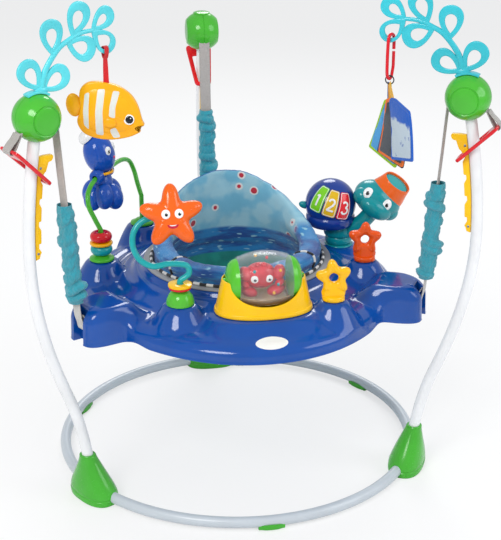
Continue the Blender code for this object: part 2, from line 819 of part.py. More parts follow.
def sleeve_mesh():
    """A gathered cloth tube over the spring, open at both ends."""
    sides, rows = 10, 16
    rings = []
    bore = (STRAP_WIDTH / 2 + 2 * TOUCH_GAP) / math.cos(math.pi / sides)
    for row in range(rows + 1):
        share = row / rows
        height = blend(SLEEVE_TOP, SLEEVE_BOTTOM, share)
        ring = []
        for side in range(sides):
            around = 2 * math.pi * side / sides
            radius = SLEEVE_DIAMETER / 2 + SLEEVE_BULGE * sleeve_fold(share, around)
            ring.append(hanger_point(height, around, max(radius, bore + SLEEVE_WALL)))
        rings.append(ring)
    for height in (SLEEVE_BOTTOM, SLEEVE_TOP):
        rings.append([hanger_point(height, 2 * math.pi * side / sides, bore) for side in range(sides)])
    return smoothed(loft(rings, closed=True))


def anchor_mesh():
    """The webbing's lower end, sewn round a bar that sits behind the tray's wall."""
    bar_radius = LOBE_REACH - ANCHOR_INSET
    bar_height = DECK_HEIGHT - ANCHOR_DROP
    top = SLEEVE_BOTTOM + SPRING_END
    line = flowing([(hanger_radius(top), 0.0, top), (blend(hanger_radius(top), bar_radius, 0.3), 0.0,
                    blend(top, bar_height, 0.5)), (bar_radius, 0.0, bar_height)], 6)
    tail = ribbon(line, STRAP_WIDTH, STRAP_THICKNESS)
    bar = rod(ANCHOR_BAR, ANCHOR_LENGTH, (bar_radius, 0.0, bar_height), (90.0, 0.0, 0.0), 12)
    return joined(bar, tail)


# The tray
def smooth_step(share):
    share = min(max(share, 0.0), 1.0)
    return share * share * (3 - 2 * share)


def angle_between(first, second):
    """The smaller angle between two directions in degrees."""
    return abs((first - second + 180.0) % 360.0 - 180.0)


def lobe_share(azimuth):
    """1 on the middle of a lobe, 0 away from the three lobes."""
    half = math.degrees(math.atan(LOBE_WIDTH / 2 / LOBE_REACH))
    nearest = min(angle_between(azimuth, post) for post in POST_AZIMUTHS.values())
    return 1.0 - smooth_step((nearest - half * 0.8) / (half * 0.9))


def tray_edge(azimuth):
    """The tray's outline: a round plate, fuller at the front, with a square lobe towards each post."""
    away = angle_between(azimuth, -90.0)
    front = math.cos(math.radians(min(away, 90.0))) ** 4
    round_edge = TRAY_RADIUS + TRAY_FRONT_BULGE * front
    sharpness, flatness = 28, 5
    total = round_edge**sharpness
    for post in POST_AZIMUTHS.values():
        away = angle_between(azimuth, post)
        if away < 60.0:
            lengthwise = abs(math.cos(math.radians(away))) / LOBE_REACH
            across = abs(math.sin(math.radians(away))) / (LOBE_WIDTH / 2)
            lobe = (lengthwise**flatness + across**flatness) ** (-1 / flatness)
            total += lobe**sharpness
    return total ** (1 / sharpness)


def tray_columns():
    """Azimuths of the tray's sections: close together round each lobe, wider between them."""
    half = math.degrees(math.atan(LOBE_WIDTH / 2 / LOBE_REACH))
    offsets = [half * share for share in (0.60, 0.90, 1.03, 1.25)]
    offsets += [blend(offsets[-1], 60.0, step / 3) for step in (1, 2)]
    azimuths = []
    for post in POST_AZIMUTHS.values():
        azimuths += [post - away for away in reversed(offsets)] + [post] + [post + away for away in offsets]
        azimuths.append(post + 60.0)
    return sorted(azimuth % 360.0 for azimuth in azimuths)


def tray_section(azimuth):
    """Points of (radius, height) from the opening's lip over the deck to the skirt's hem."""
    edge = tray_edge(azimuth)
    lobe = lobe_share(azimuth)
    rounding = blend(DECK_ROUNDING, LOBE_ROUNDING, lobe)
    deck = DECK_HEIGHT + LOBE_RISE * lobe
    dish = DISH_DEPTH * smooth_step(1.3 - 1.3 * angle_between(azimuth, DISH_AZIMUTH) / DISH_SPREAD)
    rim = OPENING_RADIUS + RIM_WIDTH
    return [(OPENING_RADIUS, RIM_HEIGHT - RIM_DEPTH), (OPENING_RADIUS, RIM_HEIGHT),
            (rim - 0.004, RIM_HEIGHT), (rim + 0.002, DECK_HEIGHT),
            (blend(rim, edge - rounding, 0.45), DECK_HEIGHT - dish), (edge - rounding, deck),
            (edge - rounding * 0.3, deck - rounding * 0.25), (edge, deck - rounding),
            (edge + 0.001, SKIRT_BOTTOM)]


def mount_boss(x, y, diameter):
    """A raised round seat for a toy on the deck."""
    low = DECK_HEIGHT - TRAY_WALL * 0.6
    return rod(diameter + MOUNT_FLARE, MOUNT_TOP - low, (x, y, (MOUNT_TOP + low) / 2), sides=12, top=diameter)


def tray_mesh():
    shape = bmesh.new()
    columns = []
    for azimuth in tray_columns():
        out = Vector((math.cos(math.radians(azimuth)), math.sin(math.radians(azimuth)), 0.0))
        columns.append([shape.verts.new(out * radius + Vector((0.0, 0.0, height)))
                        for radius, height in tray_section(azimuth)])
    for here, after in zip(columns, columns[1:] + columns[:1]):
        for row in range(len(here) - 1):
            shape.faces.new((here[row], here[row + 1], after[row + 1], after[row]))
    thing = bench("tray", from_bmesh(shape))
    wall = thing.modifiers.new("Solidify", "SOLIDIFY")
    wall.thickness = TRAY_WALL
    wall.offset = -1.0
    shell = baked(thing)
    for x, y, diameter in ((ARCH_FOOT_X, ARCH_FOOT_Y, FLANGE_DIAMETER + 0.006),
                           (ARCH_END_X, ARCH_END_Y, FLANGE_DIAMETER + 0.006),
                           (STALK_X, STALK_Y, STALK_DOME_DIAMETER + 0.008),
                           (YELLOW_LOOP_X, YELLOW_LOOP_Y, LOOP_COLLAR_DIAMETER + 0.006),
                           (ORANGE_LOOP_X, ORANGE_LOOP_Y, LOOP_COLLAR_DIAMETER + 0.006),
                           (TURTLE_X, TURTLE_Y, PEDESTAL_DIAMETER + 0.010)):
        shell = joined(shell, mount_boss(x, y, diameter))
    for post in POST_AZIMUTHS.values():
        low = DECK_HEIGHT - ANCHOR_DROP + ANCHOR_BAR / 2 + TOUCH_GAP
        high = DECK_HEIGHT - TRAY_WALL * 0.6
        shelf = block((ANCHOR_SHELF, ANCHOR_LENGTH + 0.006, high - low),
                      (LOBE_REACH - ANCHOR_INSET, 0.0, (low + high) / 2))
        shell = joined(shell, moved(shelf, turn=(0.0, 0.0, post)))
        depth = STRAP_SLOT_DEPTH + 0.03
        slot = block((depth, STRAP_SLOT_WIDTH, SKIRT_DEPTH + 0.06),
                     (LOBE_REACH - STRAP_SLOT_DEPTH + depth / 2, 0.0, SKIRT_BOTTOM + SKIRT_DEPTH / 2))
        shell = cut(shell, moved(slot, turn=(0.0, 0.0, post)))
    return smoothed(shell)


# The seat
def seat_ring_mesh():
    """A hoop that drops into the tray's opening, turns on its rim and snaps under its lip."""
    outer = OPENING_RADIUS - SEAT_RING_GAP
    inner = outer - SEAT_RING_WALL
    low = RIM_HEIGHT - RIM_DEPTH - RUNNING_GAP
    seat = RIM_HEIGHT + RUNNING_GAP
    flange = OPENING_RADIUS + SEAT_RING_FLANGE
    profile = [(inner, seat + 0.003), (flange, seat + 0.003), (flange, seat), (outer, seat), (outer, low),
               (OPENING_RADIUS + TRAY_WALL * 0.7, low), (outer, low - 0.004), (inner, low - 0.004)]
    return smoothed(turned(profile, SEAT_SIDES))


def seat_rim(azimuth):
    """Height of the seat's upper edge: low in front of the child, high behind."""
    back = min(max((math.sin(math.radians(azimuth)) + 0.3) / 1.3, 0.0), 1.0) ** 2
    return back, DECK_HEIGHT + blend(SEAT_FRONT_RISE, SEAT_BACK_RISE, back)


def seat_section(azimuth):
    """Points of (radius, height) from the outside of the bottom over the padded edge to the inside."""
    back, top = seat_rim(azimuth)
    clear = OPENING_RADIUS - SEAT_RING_GAP - SEAT_RING_WALL - 2 * TOUCH_GAP
    pad = blend(SEAT_ROLL, SEAT_BACK_PAD, back)
    bottom = DECK_HEIGHT - SEAT_DROP
    over = RIM_HEIGHT + 0.008
    outer = clear - 0.001
    return [(SEAT_BOTTOM_RADIUS, bottom), (blend(SEAT_BOTTOM_RADIUS, clear, 0.62), bottom + SEAT_DROP * 0.24),
            (clear - 0.003, bottom + SEAT_DROP * 0.66), (clear, over), (outer, blend(over, top, 0.6)),
            (outer - pad * 0.16, top - pad * 0.10), (outer - pad * 0.5, top),
            (outer - pad * 0.88, top - pad * 0.14), (outer - pad, blend(over, top, 0.5)),
            (clear - SEAT_WALL - 0.004, over - 0.030), (clear - SEAT_WALL - 0.004, bottom + SEAT_DROP * 0.68),
            (blend(SEAT_BOTTOM_RADIUS, clear, 0.62) - SEAT_WALL, bottom + SEAT_DROP * 0.25 + SEAT_WALL),
            (SEAT_BOTTOM_RADIUS - SEAT_WALL, bottom + SEAT_WALL)]


def seat_mesh():
    """A cloth bag with a padded edge, a high back and two leg holes."""
    azimuths = [360.0 * step / SEAT_SIDES for step in range(SEAT_SIDES)]
    sections = [seat_section(azimuth) for azimuth in azimuths]
    rings = []
    for row in range(len(sections[0])):
        ring = []
        for azimuth, section in zip(azimuths, sections):
            radius, height = section[row]
            angle = math.radians(azimuth)
            ring.append((radius * math.cos(angle), radius * math.sin(angle), height))
        rings.append(ring)
    bag = loft(rings)
    for side in (-1.0, 1.0):
        centre = (side * LEG_HOLE_SPREAD, -0.052, DECK_HEIGHT - SEAT_DROP * 0.74)
        bag = cut(bag, rod(LEG_HOLE_DIAMETER, 0.16, centre, (-28.0, side * -38.0, 0.0), 18))
    return smoothed(bag)


# The octopus arch
def arch_line():
    """The arch's centre line: straight legs, a flat crown, leaning away from the seat."""
    foot = Vector((ARCH_FOOT_X, ARCH_FOOT_Y, 0.0))
    end = Vector((ARCH_END_X, ARCH_END_Y, 0.0))
    span = (end - foot).length
    along = (end - foot) / span
    out = Vector((-along.y, along.x, 0.0))
    side = [(0.0, ARCH_STRAIGHT, 0.0), (-0.55 * ARCH_BULGE, 0.57 * ARCH_RISE, 0.4),
            (-ARCH_BULGE, 0.74 * ARCH_RISE, 0.75), (0.02 * span, 0.90 * ARCH_RISE, 0.95),
            (0.20 * span, 0.985 * ARCH_RISE, 1.0)]
    knots = side + [(span / 2, ARCH_RISE, 1.0)] + [(span - x, z, lean) for x, z, lean in reversed(side)]
    low = FLANGE_HEIGHT / 3
    knots = flowing(knots, 21)
    knots = [(0.0, low, 0.0), *knots, (span, low, 0.0)]
    return [foot + along * x + out * ARCH_LEAN * lean + Vector((0.0, 0.0, MOUNT_TOP + z))
            for x, z, lean in knots]


def arch_mesh():
    arch = tube(arch_line(), ARCH_TUBE, roundness=1)
    for x, y in ((ARCH_FOOT_X, ARCH_FOOT_Y), (ARCH_END_X, ARCH_END_Y)):
        middle = (x, y, MOUNT_TOP + TOUCH_GAP + FLANGE_HEIGHT / 2)
        arch = joined(arch, rod(FLANGE_DIAMETER, FLANGE_HEIGHT, middle, sides=16, top=FLANGE_DIAMETER * 0.86))
    return smoothed(arch)


def bead_mesh(diameter, height, roundness):
    """A bead bored for the arch's tube, standing on z = 0."""
    bore = ARCH_TUBE / 2 + RUNNING_GAP
    edge = diameter / 2
    soft = height * roundness
    profile = [(bore, height), (edge - soft, height), (edge, height - soft), (edge, soft), (edge - soft, 0.0),
               (bore, 0.0)]
    return smoothed(turned(profile, 14))


def octopus_place():
    """Where the octopus sits on the arch, and the arch's direction there in plan."""
    line = arch_line()
    here = round(OCTOPUS_SHARE * (len(line) - 1))
    along = line[here + 1] - line[here - 1]
    return line[here], math.atan2(along.y, along.x)


def octopus_mesh():
    """A domed head over six rounded arms, bored at the neck for the arch's tube along X."""
    widest, head, neck = OCTOPUS_WIDTH / 2, OCTOPUS_HEAD / 2, OCTOPUS_NECK / 2
    profile = [(0.0, 0.55 * widest, 0.0), (0.0, 0.86 * widest, 0.16), (0.08, widest, 0.17),
               (0.20, 0.92 * widest, 0.12), (0.32, 0.68 * widest, 0.05), (0.42, 1.02 * neck, 0.0),
               (0.50, neck, 0.0), (0.61, 0.94 * head, 0.0), (0.74, head, 0.0), (0.88, 0.84 * head, 0.0),
               (1.0, 0.30 * head, 0.0)]
    rings = []
    for share, radius, wave in profile:
        height = OCTOPUS_HEIGHT * (share - 0.47)
        ring = []
        for step in range(24):
            angle = 2 * math.pi * step / 24
            reach = radius * (1.0 - wave + wave * math.cos(6 * angle))
            ring.append((reach * math.cos(angle), reach * math.sin(angle), height))
        rings.append(ring)
    place, turn = octopus_place()
    near = [point for point in arch_line()[1:-1] if (point - place).length < OCTOPUS_WIDTH * 0.8]
    spin = Matrix.Rotation(-turn, 3, "Z")
    bore = tube([spin @ (point - place) for point in near], ARCH_TUBE + 2 * OCTOPUS_BORE_GAP)
    return smoothed(cut(loft(rings), bore))


# The star on its stalk
def rattle_place():
    """The star's middle from the stalk's foot, and the direction it faces."""
    lean = math.radians(RATTLE_LEAN)
    place = Vector((RATTLE_OFFSET, 0.0, STALK_RISE + 0.005))
    return place, Vector((0.0, -math.cos(lean), math.sin(lean)))


def stalk_mesh():
    """A dome with a bent tube that ends in a pin behind the star."""
    shares = ((0.0, 0.0, 0.27), (0.20, 0.0, 0.35), (0.14, 0.0, 0.45), (-0.235, 0.0, 0.48),
              (-0.588, 0.05, 0.46), (-0.87, 0.25, 0.54), (-1.0, 0.55, 0.69), (-0.94, 0.90, 0.85),
              (-0.66, 1.10, 0.96))
    place, facing = rattle_place()
    back = RATTLE_THICKNESS / 2 + STALK_TUBE / 2 + 2 * RUNNING_GAP
    behind = place - facing * back
    knots = [(STALK_SWAY * x, back * y, STALK_RISE * z) for x, y, z in shares]
    root = Vector((0.0, 0.0, STALK_DOME_HEIGHT / 2))
    stalk = tube([root, *flowing([*knots, behind], 23)], STALK_TUBE)
    radius, high = STALK_DOME_DIAMETER / 2, STALK_DOME_HEIGHT
    dome = [(0.0, high), (radius * 0.5, high * 0.92), (radius * 0.84, high * 0.62), (radius, high * 0.2),
            (radius, TOUCH_GAP), (0.0, TOUCH_GAP)]
    base = turned(dome, 16)
    length = RATTLE_THICKNESS / 2 + STALK_TUBE / 2
    pin = rod(RATTLE_PIN, length, behind + facing * length / 2, (90.0 - RATTLE_LEAN, 0.0, 0.0), 12)
    return smoothed(joined(base, stalk, pin))


def stalk_disc_mesh():
    """Two discs in one, bored for the stalk, standing on z = 0."""
    bore = STALK_TUBE / 2 + RUNNING_GAP
    edge = STALK_DISC_DIAMETER / 2
    middle, top = STALK_DISC_HEIGHT, 2 * STALK_DISC_HEIGHT
    profile = [(bore, top), (edge - 0.001, top), (edge, top - 0.001), (edge, middle), (edge * 0.86, middle),
               (edge * 0.86, 0.0), (bore, 0.0)]
    return smoothed(turned(profile, 16))


def puffed(outline, thickness):
    """An outline in XY filled like a cushion."""
    rings = []
    steps = ((0.52, -1.0), (0.86, -0.72), (1.0, 0.0), (0.86, 0.72), (0.52, 1.0))
    for share, depth in steps:
        rings.append([(x * share, y * share, thickness / 2 * depth) for x, y in outline])
    return loft(rings)


def rattle_mesh():
    """The puffed star, faced along Z, with a blind hole in its back for the pin."""
    star = puffed(star_outline(RATTLE_SPAN, softness=2), RATTLE_THICKNESS)
    middle = (0.0, 0.0, RUNNING_GAP - RATTLE_THICKNESS / 2)
    hole = rod(RATTLE_PIN + 2 * RUNNING_GAP, RATTLE_THICKNESS, middle, sides=12)
    return smoothed(cut(star, hole))


# The roller station
def barrel(offset=0.0):
    """Half of the drum's outline as (radius, distance from its middle), less the offset."""
    half = ROLLER_BARREL / 2
    middle, end = ROLLER_DIAMETER / 2, ROLLER_END_DIAMETER / 2
    return [(blend(middle, end, share**2) - offset, half * share) for share in (0.0, 0.42, 0.75, 1.0)]


def along_x(mesh):
    return moved(mesh, turn=(0.0, 90.0, 0.0))


def drum_mesh():
    outer = [(radius, height) for radius, height in reversed(barrel())]
    inner = [(radius, height) for radius, height in reversed(barrel(ROLLER_WALL))]
    outside = outer + [(radius, -height) for radius, height in reversed(outer[:-1])]
    inside = inner + [(radius, -height) for radius, height in reversed(inner[:-1])]
    return smoothed(along_x(turned(outside + list(reversed(inside)), 20)))


def caps_profile(gap=0.0):
    """Half of the caps and their axle as (radius, distance from the drum's middle)."""
    half = ROLLER_BARREL / 2 + TOUCH_GAP
    cap = ROLLER_END_DIAMETER / 2
    out = half + ROLLER_CAP
    tip = out + 0.011
    axle = ROLLER_AXLE / 2 + gap
    return [(0.0, tip + gap), (axle, tip + gap), (axle, out + gap), (cap * 0.62 + gap, out + gap),
            (cap * 0.86 + gap, out - 0.009), (cap - 0.0006 + gap, half)]


def caps_mesh():
    half = caps_profile()
    outside = half + [(ROLLER_AXLE / 2, ROLLER_BARREL / 2 + TOUCH_GAP)]
    profile = outside + [(radius, -height) for radius, height in reversed(outside)]
    return smoothed(along_x(turned(profile, 16)))


def crab_mesh():
    """A crab that rides the axle inside the drum."""
    body = ball((CRAB_WIDTH * 0.74, 0.046, 0.040), rings=6, sides=10)
    for side in (-1.0, 1.0):
        claw = ball((0.028, 0.026, 0.024), (side * CRAB_WIDTH * 0.33, -0.010, 0.008), rings=5, sides=8)
        body = joined(body, claw)
    bore = rod(ROLLER_AXLE + 2 * TOUCH_GAP, CRAB_WIDTH * 2, turn=(0.0, 90.0, 0.0), sides=12)
    return smoothed(cut(body, bore))


def cradle_mesh():
    """The saddle that the drum turns in, about the drum's middle."""
    low = DECK_HEIGHT + TOUCH_GAP - ROLLER_Z
    high = low + CRADLE_HEIGHT
    half = CRADLE_WIDTH / 2
    outline = [(-half, low), (half, low)]
    for step in range(11):
        x = half * math.cos(math.pi * step / 10)
        peak = abs(x) / half
        outline.append((x, high - CRADLE_DIP * (1.0 - smooth_step((peak - 0.35) / 0.42))
                        - 0.016 * smooth_step((peak - 0.82) / 0.18)))
    side = upright(plate([outline], CRADLE_DEPTH * 1.2))
    oval = moved(rod(1.0, CRADLE_HEIGHT * 3, sides=20), scale=(CRADLE_WIDTH, CRADLE_DEPTH, 1.0))
    saddle = boolean(side, oval, "INTERSECT")
    longer = 1.0 + 2 * ROLLER_CLEARANCE / ROLLER_BARREL
    clear = [(radius + ROLLER_CLEARANCE, height * longer) for radius, height in reversed(barrel())]
    clear = [(0.0, clear[0][1])] + clear + [(radius, -height) for radius, height in reversed(clear[:-1])]
    clear.append((0.0, clear[-1][1]))
    caps = caps_profile(ROLLER_CLEARANCE)
    caps += [(radius, -height) for radius, height in reversed(caps)]
    reach = OPENING_RADIUS + RIM_WIDTH + 0.005
    rim = rod(2 * reach, CRADLE_HEIGHT * 3, (-ROLLER_X, -ROLLER_Y, 0.0), sides=40)
    return smoothed(cut(saddle, along_x(turned(clear, 20)), along_x(turned(caps, 14)), rim))


# The turtle station
def shell_middle():
    return Vector((0.0, 0.0, MOUNT_TOP + SHELL_OVER_MOUNT))


def shell_patch(inner, outer, gap=0.0):
    """A piece of a ball between two radii, about azimuth zero, as wide as a key plus the gap."""
    radius = SHELL_DIAMETER / 2
    spread = KEY_ARC / 2 + math.degrees(gap / radius)
    low = KEY_LOW - math.degrees(gap / radius)
    high = KEY_HIGH + math.degrees(gap / radius)
    shape = bmesh.new()
    layers = []
    for reach in (inner, outer):
        rows = []
        for row in range(6):
            lift = math.radians(blend(low, high, row / 5))
            rows.append([shape.verts.new((reach * math.cos(lift) * math.cos(math.radians(spread * turn)),
                                          reach * math.cos(lift) * math.sin(math.radians(spread * turn)),
                                          reach * math.sin(lift))) for turn in (-1.0, 0.0, 1.0)])
        layers.append(rows)
    for rows in layers:
        for row in range(5):
            for column in range(2):
                shape.faces.new((rows[row][column], rows[row][column + 1], rows[row + 1][column + 1],
                                 rows[row + 1][column]))
    borders = [rows[0] + [row[-1] for row in rows[1:-1]] + list(reversed(rows[-1]))
               + [row[0] for row in reversed(rows[1:-1])] for rows in layers]
    for here in range(len(borders[0])):
        after = (here + 1) % len(borders[0])
        shape.faces.new((borders[0][here], borders[0][after], borders[1][after], borders[1][here]))
    bmesh.ops.recalc_face_normals(shape, faces=shape.faces)
    return from_bmesh(shape)


def key_azimuth(number):
    return TURTLE_FACING + KEY_SPREAD * (number - 2)


def key_mesh():
    outer = SHELL_DIAMETER / 2 + KEY_PROUD
    return smoothed(shell_patch(outer - KEY_THICKNESS, outer))


def turtle_shell_mesh():
    radius = SHELL_DIAMETER / 2
    shell = ball((SHELL_DIAMETER, SHELL_DIAMETER, SHELL_DIAMETER), rings=12, sides=20)
    shell = cut(shell, block((0.2, 0.2, 0.1), (0.0, 0.0, -SHELL_FLAT - 0.05)))
    floor = radius + KEY_PROUD - KEY_THICKNESS - KEY_TRAVEL - 2 * RUNNING_GAP
    for number in (1, 2, 3):
        recess = moved(shell_patch(floor, radius + 0.02, KEY_GAP), turn=(0.0, 0.0, key_azimuth(number)))
        shell = cut(shell, recess)
    return smoothed(shell, 30.0)


def turtle_body_mesh():
    """Pedestal, neck and head in one, round the shell's place."""
    top = MOUNT_TOP + SHELL_OVER_MOUNT - SHELL_FLAT
    low = MOUNT_TOP + TOUCH_GAP
    middle = (PEDESTAL_SHIFT, 0.0, (top + low) / 2 - TOUCH_GAP)
    body = rod(PEDESTAL_DIAMETER, top - low - 2 * TOUCH_GAP, middle, sides=18, top=PEDESTAL_DIAMETER * 0.94)
    aside = math.radians(HEAD_AZIMUTH)
    head = shell_middle() + Vector((HEAD_REACH * math.cos(aside), HEAD_REACH * math.sin(aside), HEAD_RISE))
    bend = (blend(PEDESTAL_SHIFT, head.x, 0.6), head.y * 0.5, low + 0.026)
    line = flowing([(PEDESTAL_SHIFT, 0.0, low + 0.018), bend, (head.x, head.y, head.z - 0.01)], 7)
    neck = tube(line, NECK_DIAMETER)
    skull = ball((HEAD_DIAMETER, HEAD_DIAMETER * 0.94, HEAD_DIAMETER * 0.92), head, rings=8, sides=14)
    guard = ball([SHELL_DIAMETER + 4 * TOUCH_GAP] * 3, shell_middle(), rings=12, sides=20)
    return smoothed(cut(joined(body, neck, skull), guard))


# The star loops
def loop_mesh():
    """A star with a round hole on a short stem and a collar, standing on z = 0."""
    middle = LOOP_HEIGHT - LOOP_SPAN / 2
    outline = star_outline(LOOP_SPAN, waist=0.62, softness=2)
    star = upright(plate([outline, circle(LOOP_HOLE / 2, 12)], LOOP_THICKNESS))
    stem_high = middle - LOOP_HOLE / 2 - 0.004
    stem = block((LOOP_THICKNESS, LOOP_THICKNESS * 0.7, stem_high), (0.0, 0.0, stem_high / 2 + 0.002))
    collar = rod(LOOP_COLLAR_DIAMETER, LOOP_COLLAR_HEIGHT, (0.0, 0.0, LOOP_COLLAR_HEIGHT / 2), sides=14,
                 top=LOOP_COLLAR_DIAMETER * 0.88)
    return smoothed(joined(moved(star, (0.0, 0.0, middle)), stem, collar))


# Seaweed and what hangs from it, in the post's plane: each leaf's share of the stem, side and size
WEED_LEAVES = ((0.03, -1.0, 1.0), (0.0, 1.0, 1.0), (0.37, -1.0, 1.0), (0.55, 1.0, 1.0), (0.73, -1.0, 1.0),
               (1.0, -0.7, 0.85))
LAST_LEAF = (1.0, 0.9, 0.95)


def weed_stem():
    """The stem's line from the hub's top, inwards and up."""
    base = HUB_HEIGHT + HUB_DIAMETER / 2 + TOUCH_GAP
    shares = ((0.0, 0.03), (0.10, 0.39), (0.33, 0.73), (0.54, 0.88), (0.76, 0.98), (1.0, 1.0))
    foot = HUB_RADIUS_FROM_AXIS - WEED_FOOT * 0.3
    return flowing([(foot - WEED_REACH * x, base + WEED_RISE * z, 0.0) for x, z in shares], 10)


def leaf(share, side, size=1.0):
    """Edge and hole of a drop-shaped leaf that grows from the stem at a share of its length."""
    stem = weed_stem()
    here = min(round(share * (len(stem) - 1)), len(stem) - 2)
    along = (stem[here + 1] - stem[here]).normalized()
    turn = math.atan2(along.y, along.x) + math.radians(side * LEAF_TURN)
    base = stem[here + 1] - along * (WEED_STEM / 3) if share == 1.0 else stem[here]
    length, width = LEAF_LENGTH * size, LEAF_WIDTH * size
    outlines = []
    inside = (0.24 * length, length - 1.6 * LEAF_RIM, width - 2 * LEAF_RIM)
    for start, end, wide in ((0.0, length, width), inside):
        outline = []
        for step in range(11):
            angle = 2 * math.pi * step / 11
            x = blend(start, end, 0.5 - 0.5 * math.cos(angle))
            y = wide / 2 * math.sin(angle) * (1.12 * math.sin(angle / 2)) ** 0.9
            outline.append((base.x + x * math.cos(turn) - y * math.sin(turn),
                            base.y + x * math.sin(turn) + y * math.cos(turn)))
        outlines.append(outline)
    return outlines


def weed_mesh():
    """The flat seaweed hanger with its foot on the hub."""
    stem = weed_stem()
    last = len(stem) - 1
    edge = []
    for side in (1.0, -1.0):
        row = []
        for here, point in enumerate(stem):
            along = (stem[min(here + 1, last)] - stem[max(here - 1, 0)]).normalized()
            wide = blend(WEED_STEM, WEED_STEM * 0.6, here / last) / 2
            row.append((point.x - along.y * wide * side, point.y + along.x * wide * side))
        edge += row if side > 0.0 else list(reversed(row))
    piece = plate([edge], WEED_THICKNESS)
    for share, side, size in (*WEED_LEAVES, LAST_LEAF):
        thickness = WEED_THICKNESS - (0.0010 if side > 0.0 else 0.0006)
        piece = joined(piece, plate(leaf(share, side, size), thickness))
    base = HUB_HEIGHT + HUB_DIAMETER / 2 + TOUCH_GAP
    foot = block((WEED_FOOT, 0.009, 0.014), (HUB_RADIUS_FROM_AXIS - 0.006, base + 0.0045, 0.0))
    return smoothed(upright(joined(piece, foot)))


def hang_point():
    """The lowest point of the last leaf's hole, where a toy's loop rests."""
    low = min(leaf(*LAST_LEAF)[1], key=lambda point: point[1])
    return Vector((low[0], 0.0, low[1]))


def fish_mesh():
    """The fish below its ribbon, about the leaf's rim; the ribbon's loop lies across the leaf."""
    shares = ((-0.34, 0.28), (-0.29, 0.40), (-0.15, 0.495), (0.08, 0.48), (0.25, 0.37), (0.38, 0.17),
              (0.45, -0.08), (0.49, -0.24), (0.40, -0.30), (0.43, -0.37), (0.30, -0.46), (0.08, -0.496),
              (-0.15, -0.467), (-0.315, -0.38), (-0.38, -0.23), (-0.37, -0.10), (-0.345, -0.03),
              (-0.43, -0.09), (-0.5, 0.0), (-0.497, 0.15), (-0.45, 0.28), (-0.39, 0.26), (-0.35, 0.14))
    outline = [(-FISH_LENGTH * x, FISH_HEIGHT * z) for x, z in reversed(shares)]
    drop = RIBBON_LENGTH + FISH_HEIGHT / 2
    body = moved(upright(puffed(outline, FISH_THICKNESS)), (0.0, 0.0, -drop), (0.0, 0.0, 180.0))
    wide, fold = WEED_THICKNESS / 2 + 0.0012, RIBBON_THICKNESS
    high, pinch = RIBBON_REST, -RIBBON_LENGTH * 0.55
    low, sewn = -RIBBON_LENGTH * 0.28, -RIBBON_LENGTH - 0.006
    inner = [(-wide, high), (-wide, low), (-fold / 2, pinch), (fold / 2, pinch), (wide, low), (wide, high)]
    outer = [(-wide - fold, high + fold), (-wide - fold, low), (-fold, pinch), (-fold, sewn), (fold, sewn),
             (fold, pinch), (wide + fold, low), (wide + fold, high + fold)]
    ribbon_loop = moved(upright(plate([outer, inner], RIBBON_WIDTH)), turn=(0.0, 0.0, 90.0))
    return smoothed(joined(moved(body, turn=(0.0, 0.0, FISH_YAW)), ribbon_loop))


def link_mesh():
    """The long link, in the plane across the leaf, hung from the leaf's rim."""
    half = (LINK_WIDTH - LINK_ROD) / 2
    top = LINK_ROD / 2 + LINK_REST
    low = top - (LINK_HEIGHT - LINK_ROD)
    line = []
    for step in range(9):
        angle = math.pi * step / 8
        line.append((0.0, half * math.cos(angle), top - half + half * math.sin(angle)))
    for step in range(7):
        angle = math.pi + math.pi * step / 6
        line.append((0.0, half * 0.62 * math.cos(angle), low + half * 0.62 + half * 0.62 * math.sin(angle)))
    return smoothed(tube(line, LINK_ROD, cyclic=True, roundness=1))


def cards_mesh():
    """Cloth cards fanned on a ring round the link's lower end."""
    reach = (CARD_RING - CARD_RING_WIRE) / 2
    middle = -(reach - CARD_RING_WIRE / 2 - LINK_ROD / 2 - TOUCH_GAP * 2)
    loop = [(x, 0.0, middle + z) for x, z in circle(reach, 10)]
    ring = tube(loop, CARD_RING_WIRE, cyclic=True, roundness=1)
    page = [(0.0, -0.018), (0.010, -0.002), (0.026, -0.002), (CARD_WIDTH, -0.024),
            (CARD_WIDTH + 0.004, -CARD_HEIGHT), (0.002, -CARD_HEIGHT - 0.006)]
    pin = middle - reach
    stack = rod(0.006, CARD_PITCH * CARD_COUNT, (0.0, 0.0, pin), (90.0, 0.0, 0.0), 10)
    for number in range(CARD_COUNT):
        card = upright(plate([[(x - 0.008, z + 0.006) for x, z in page]], CARD_THICKNESS))
        offset = CARD_PITCH * (number - (CARD_COUNT - 1) / 2)
        stack = joined(stack, moved(card, (0.0, offset, pin), (0.0, CARD_FAN * (number - 0.4), 0.0)))
    return smoothed(joined(moved(stack, turn=(0.0, 0.0, CARD_YAW)), ring))


# Assembly: every empty is the frame of one moving body
def heading(side):
    return math.radians(POST_AZIMUTHS[side])


def build_hangers(frame):
    hangers = empty("height_adjust", parent=frame)
    strap, spring, sleeve = strap_mesh(), spring_mesh(), sleeve_mesh()
    for side in POST_AZIMUTHS:
        node(f"strap_{side}", strap, GREY_WEBBING, hangers, turn=heading(side))
        node(f"spring_{side}", spring, STEEL, hangers, turn=heading(side))
        node(f"sleeve_{side}", sleeve, TEAL_CLOTH, hangers, turn=heading(side))
    print(f"spring: least gap between curls {coil_gap() * 1000:.2f} mm")
    return hangers


def build_tray(hangers):
    tray = empty("tray_bounce", parent=hangers)
    node("tray", tray_mesh(), TRAY_BLUE, tray)
    anchor = anchor_mesh()
    for side in POST_AZIMUTHS:
        node(f"strap_anchor_{side}", anchor, GREY_WEBBING, tray, turn=heading(side))
    seat = empty("seat_spin", parent=tray)
    node("seat_ring", seat_ring_mesh(), GREY_WEBBING, seat)
    node("seat", seat_mesh(), SEAT_CLOTH, seat)
    return tray


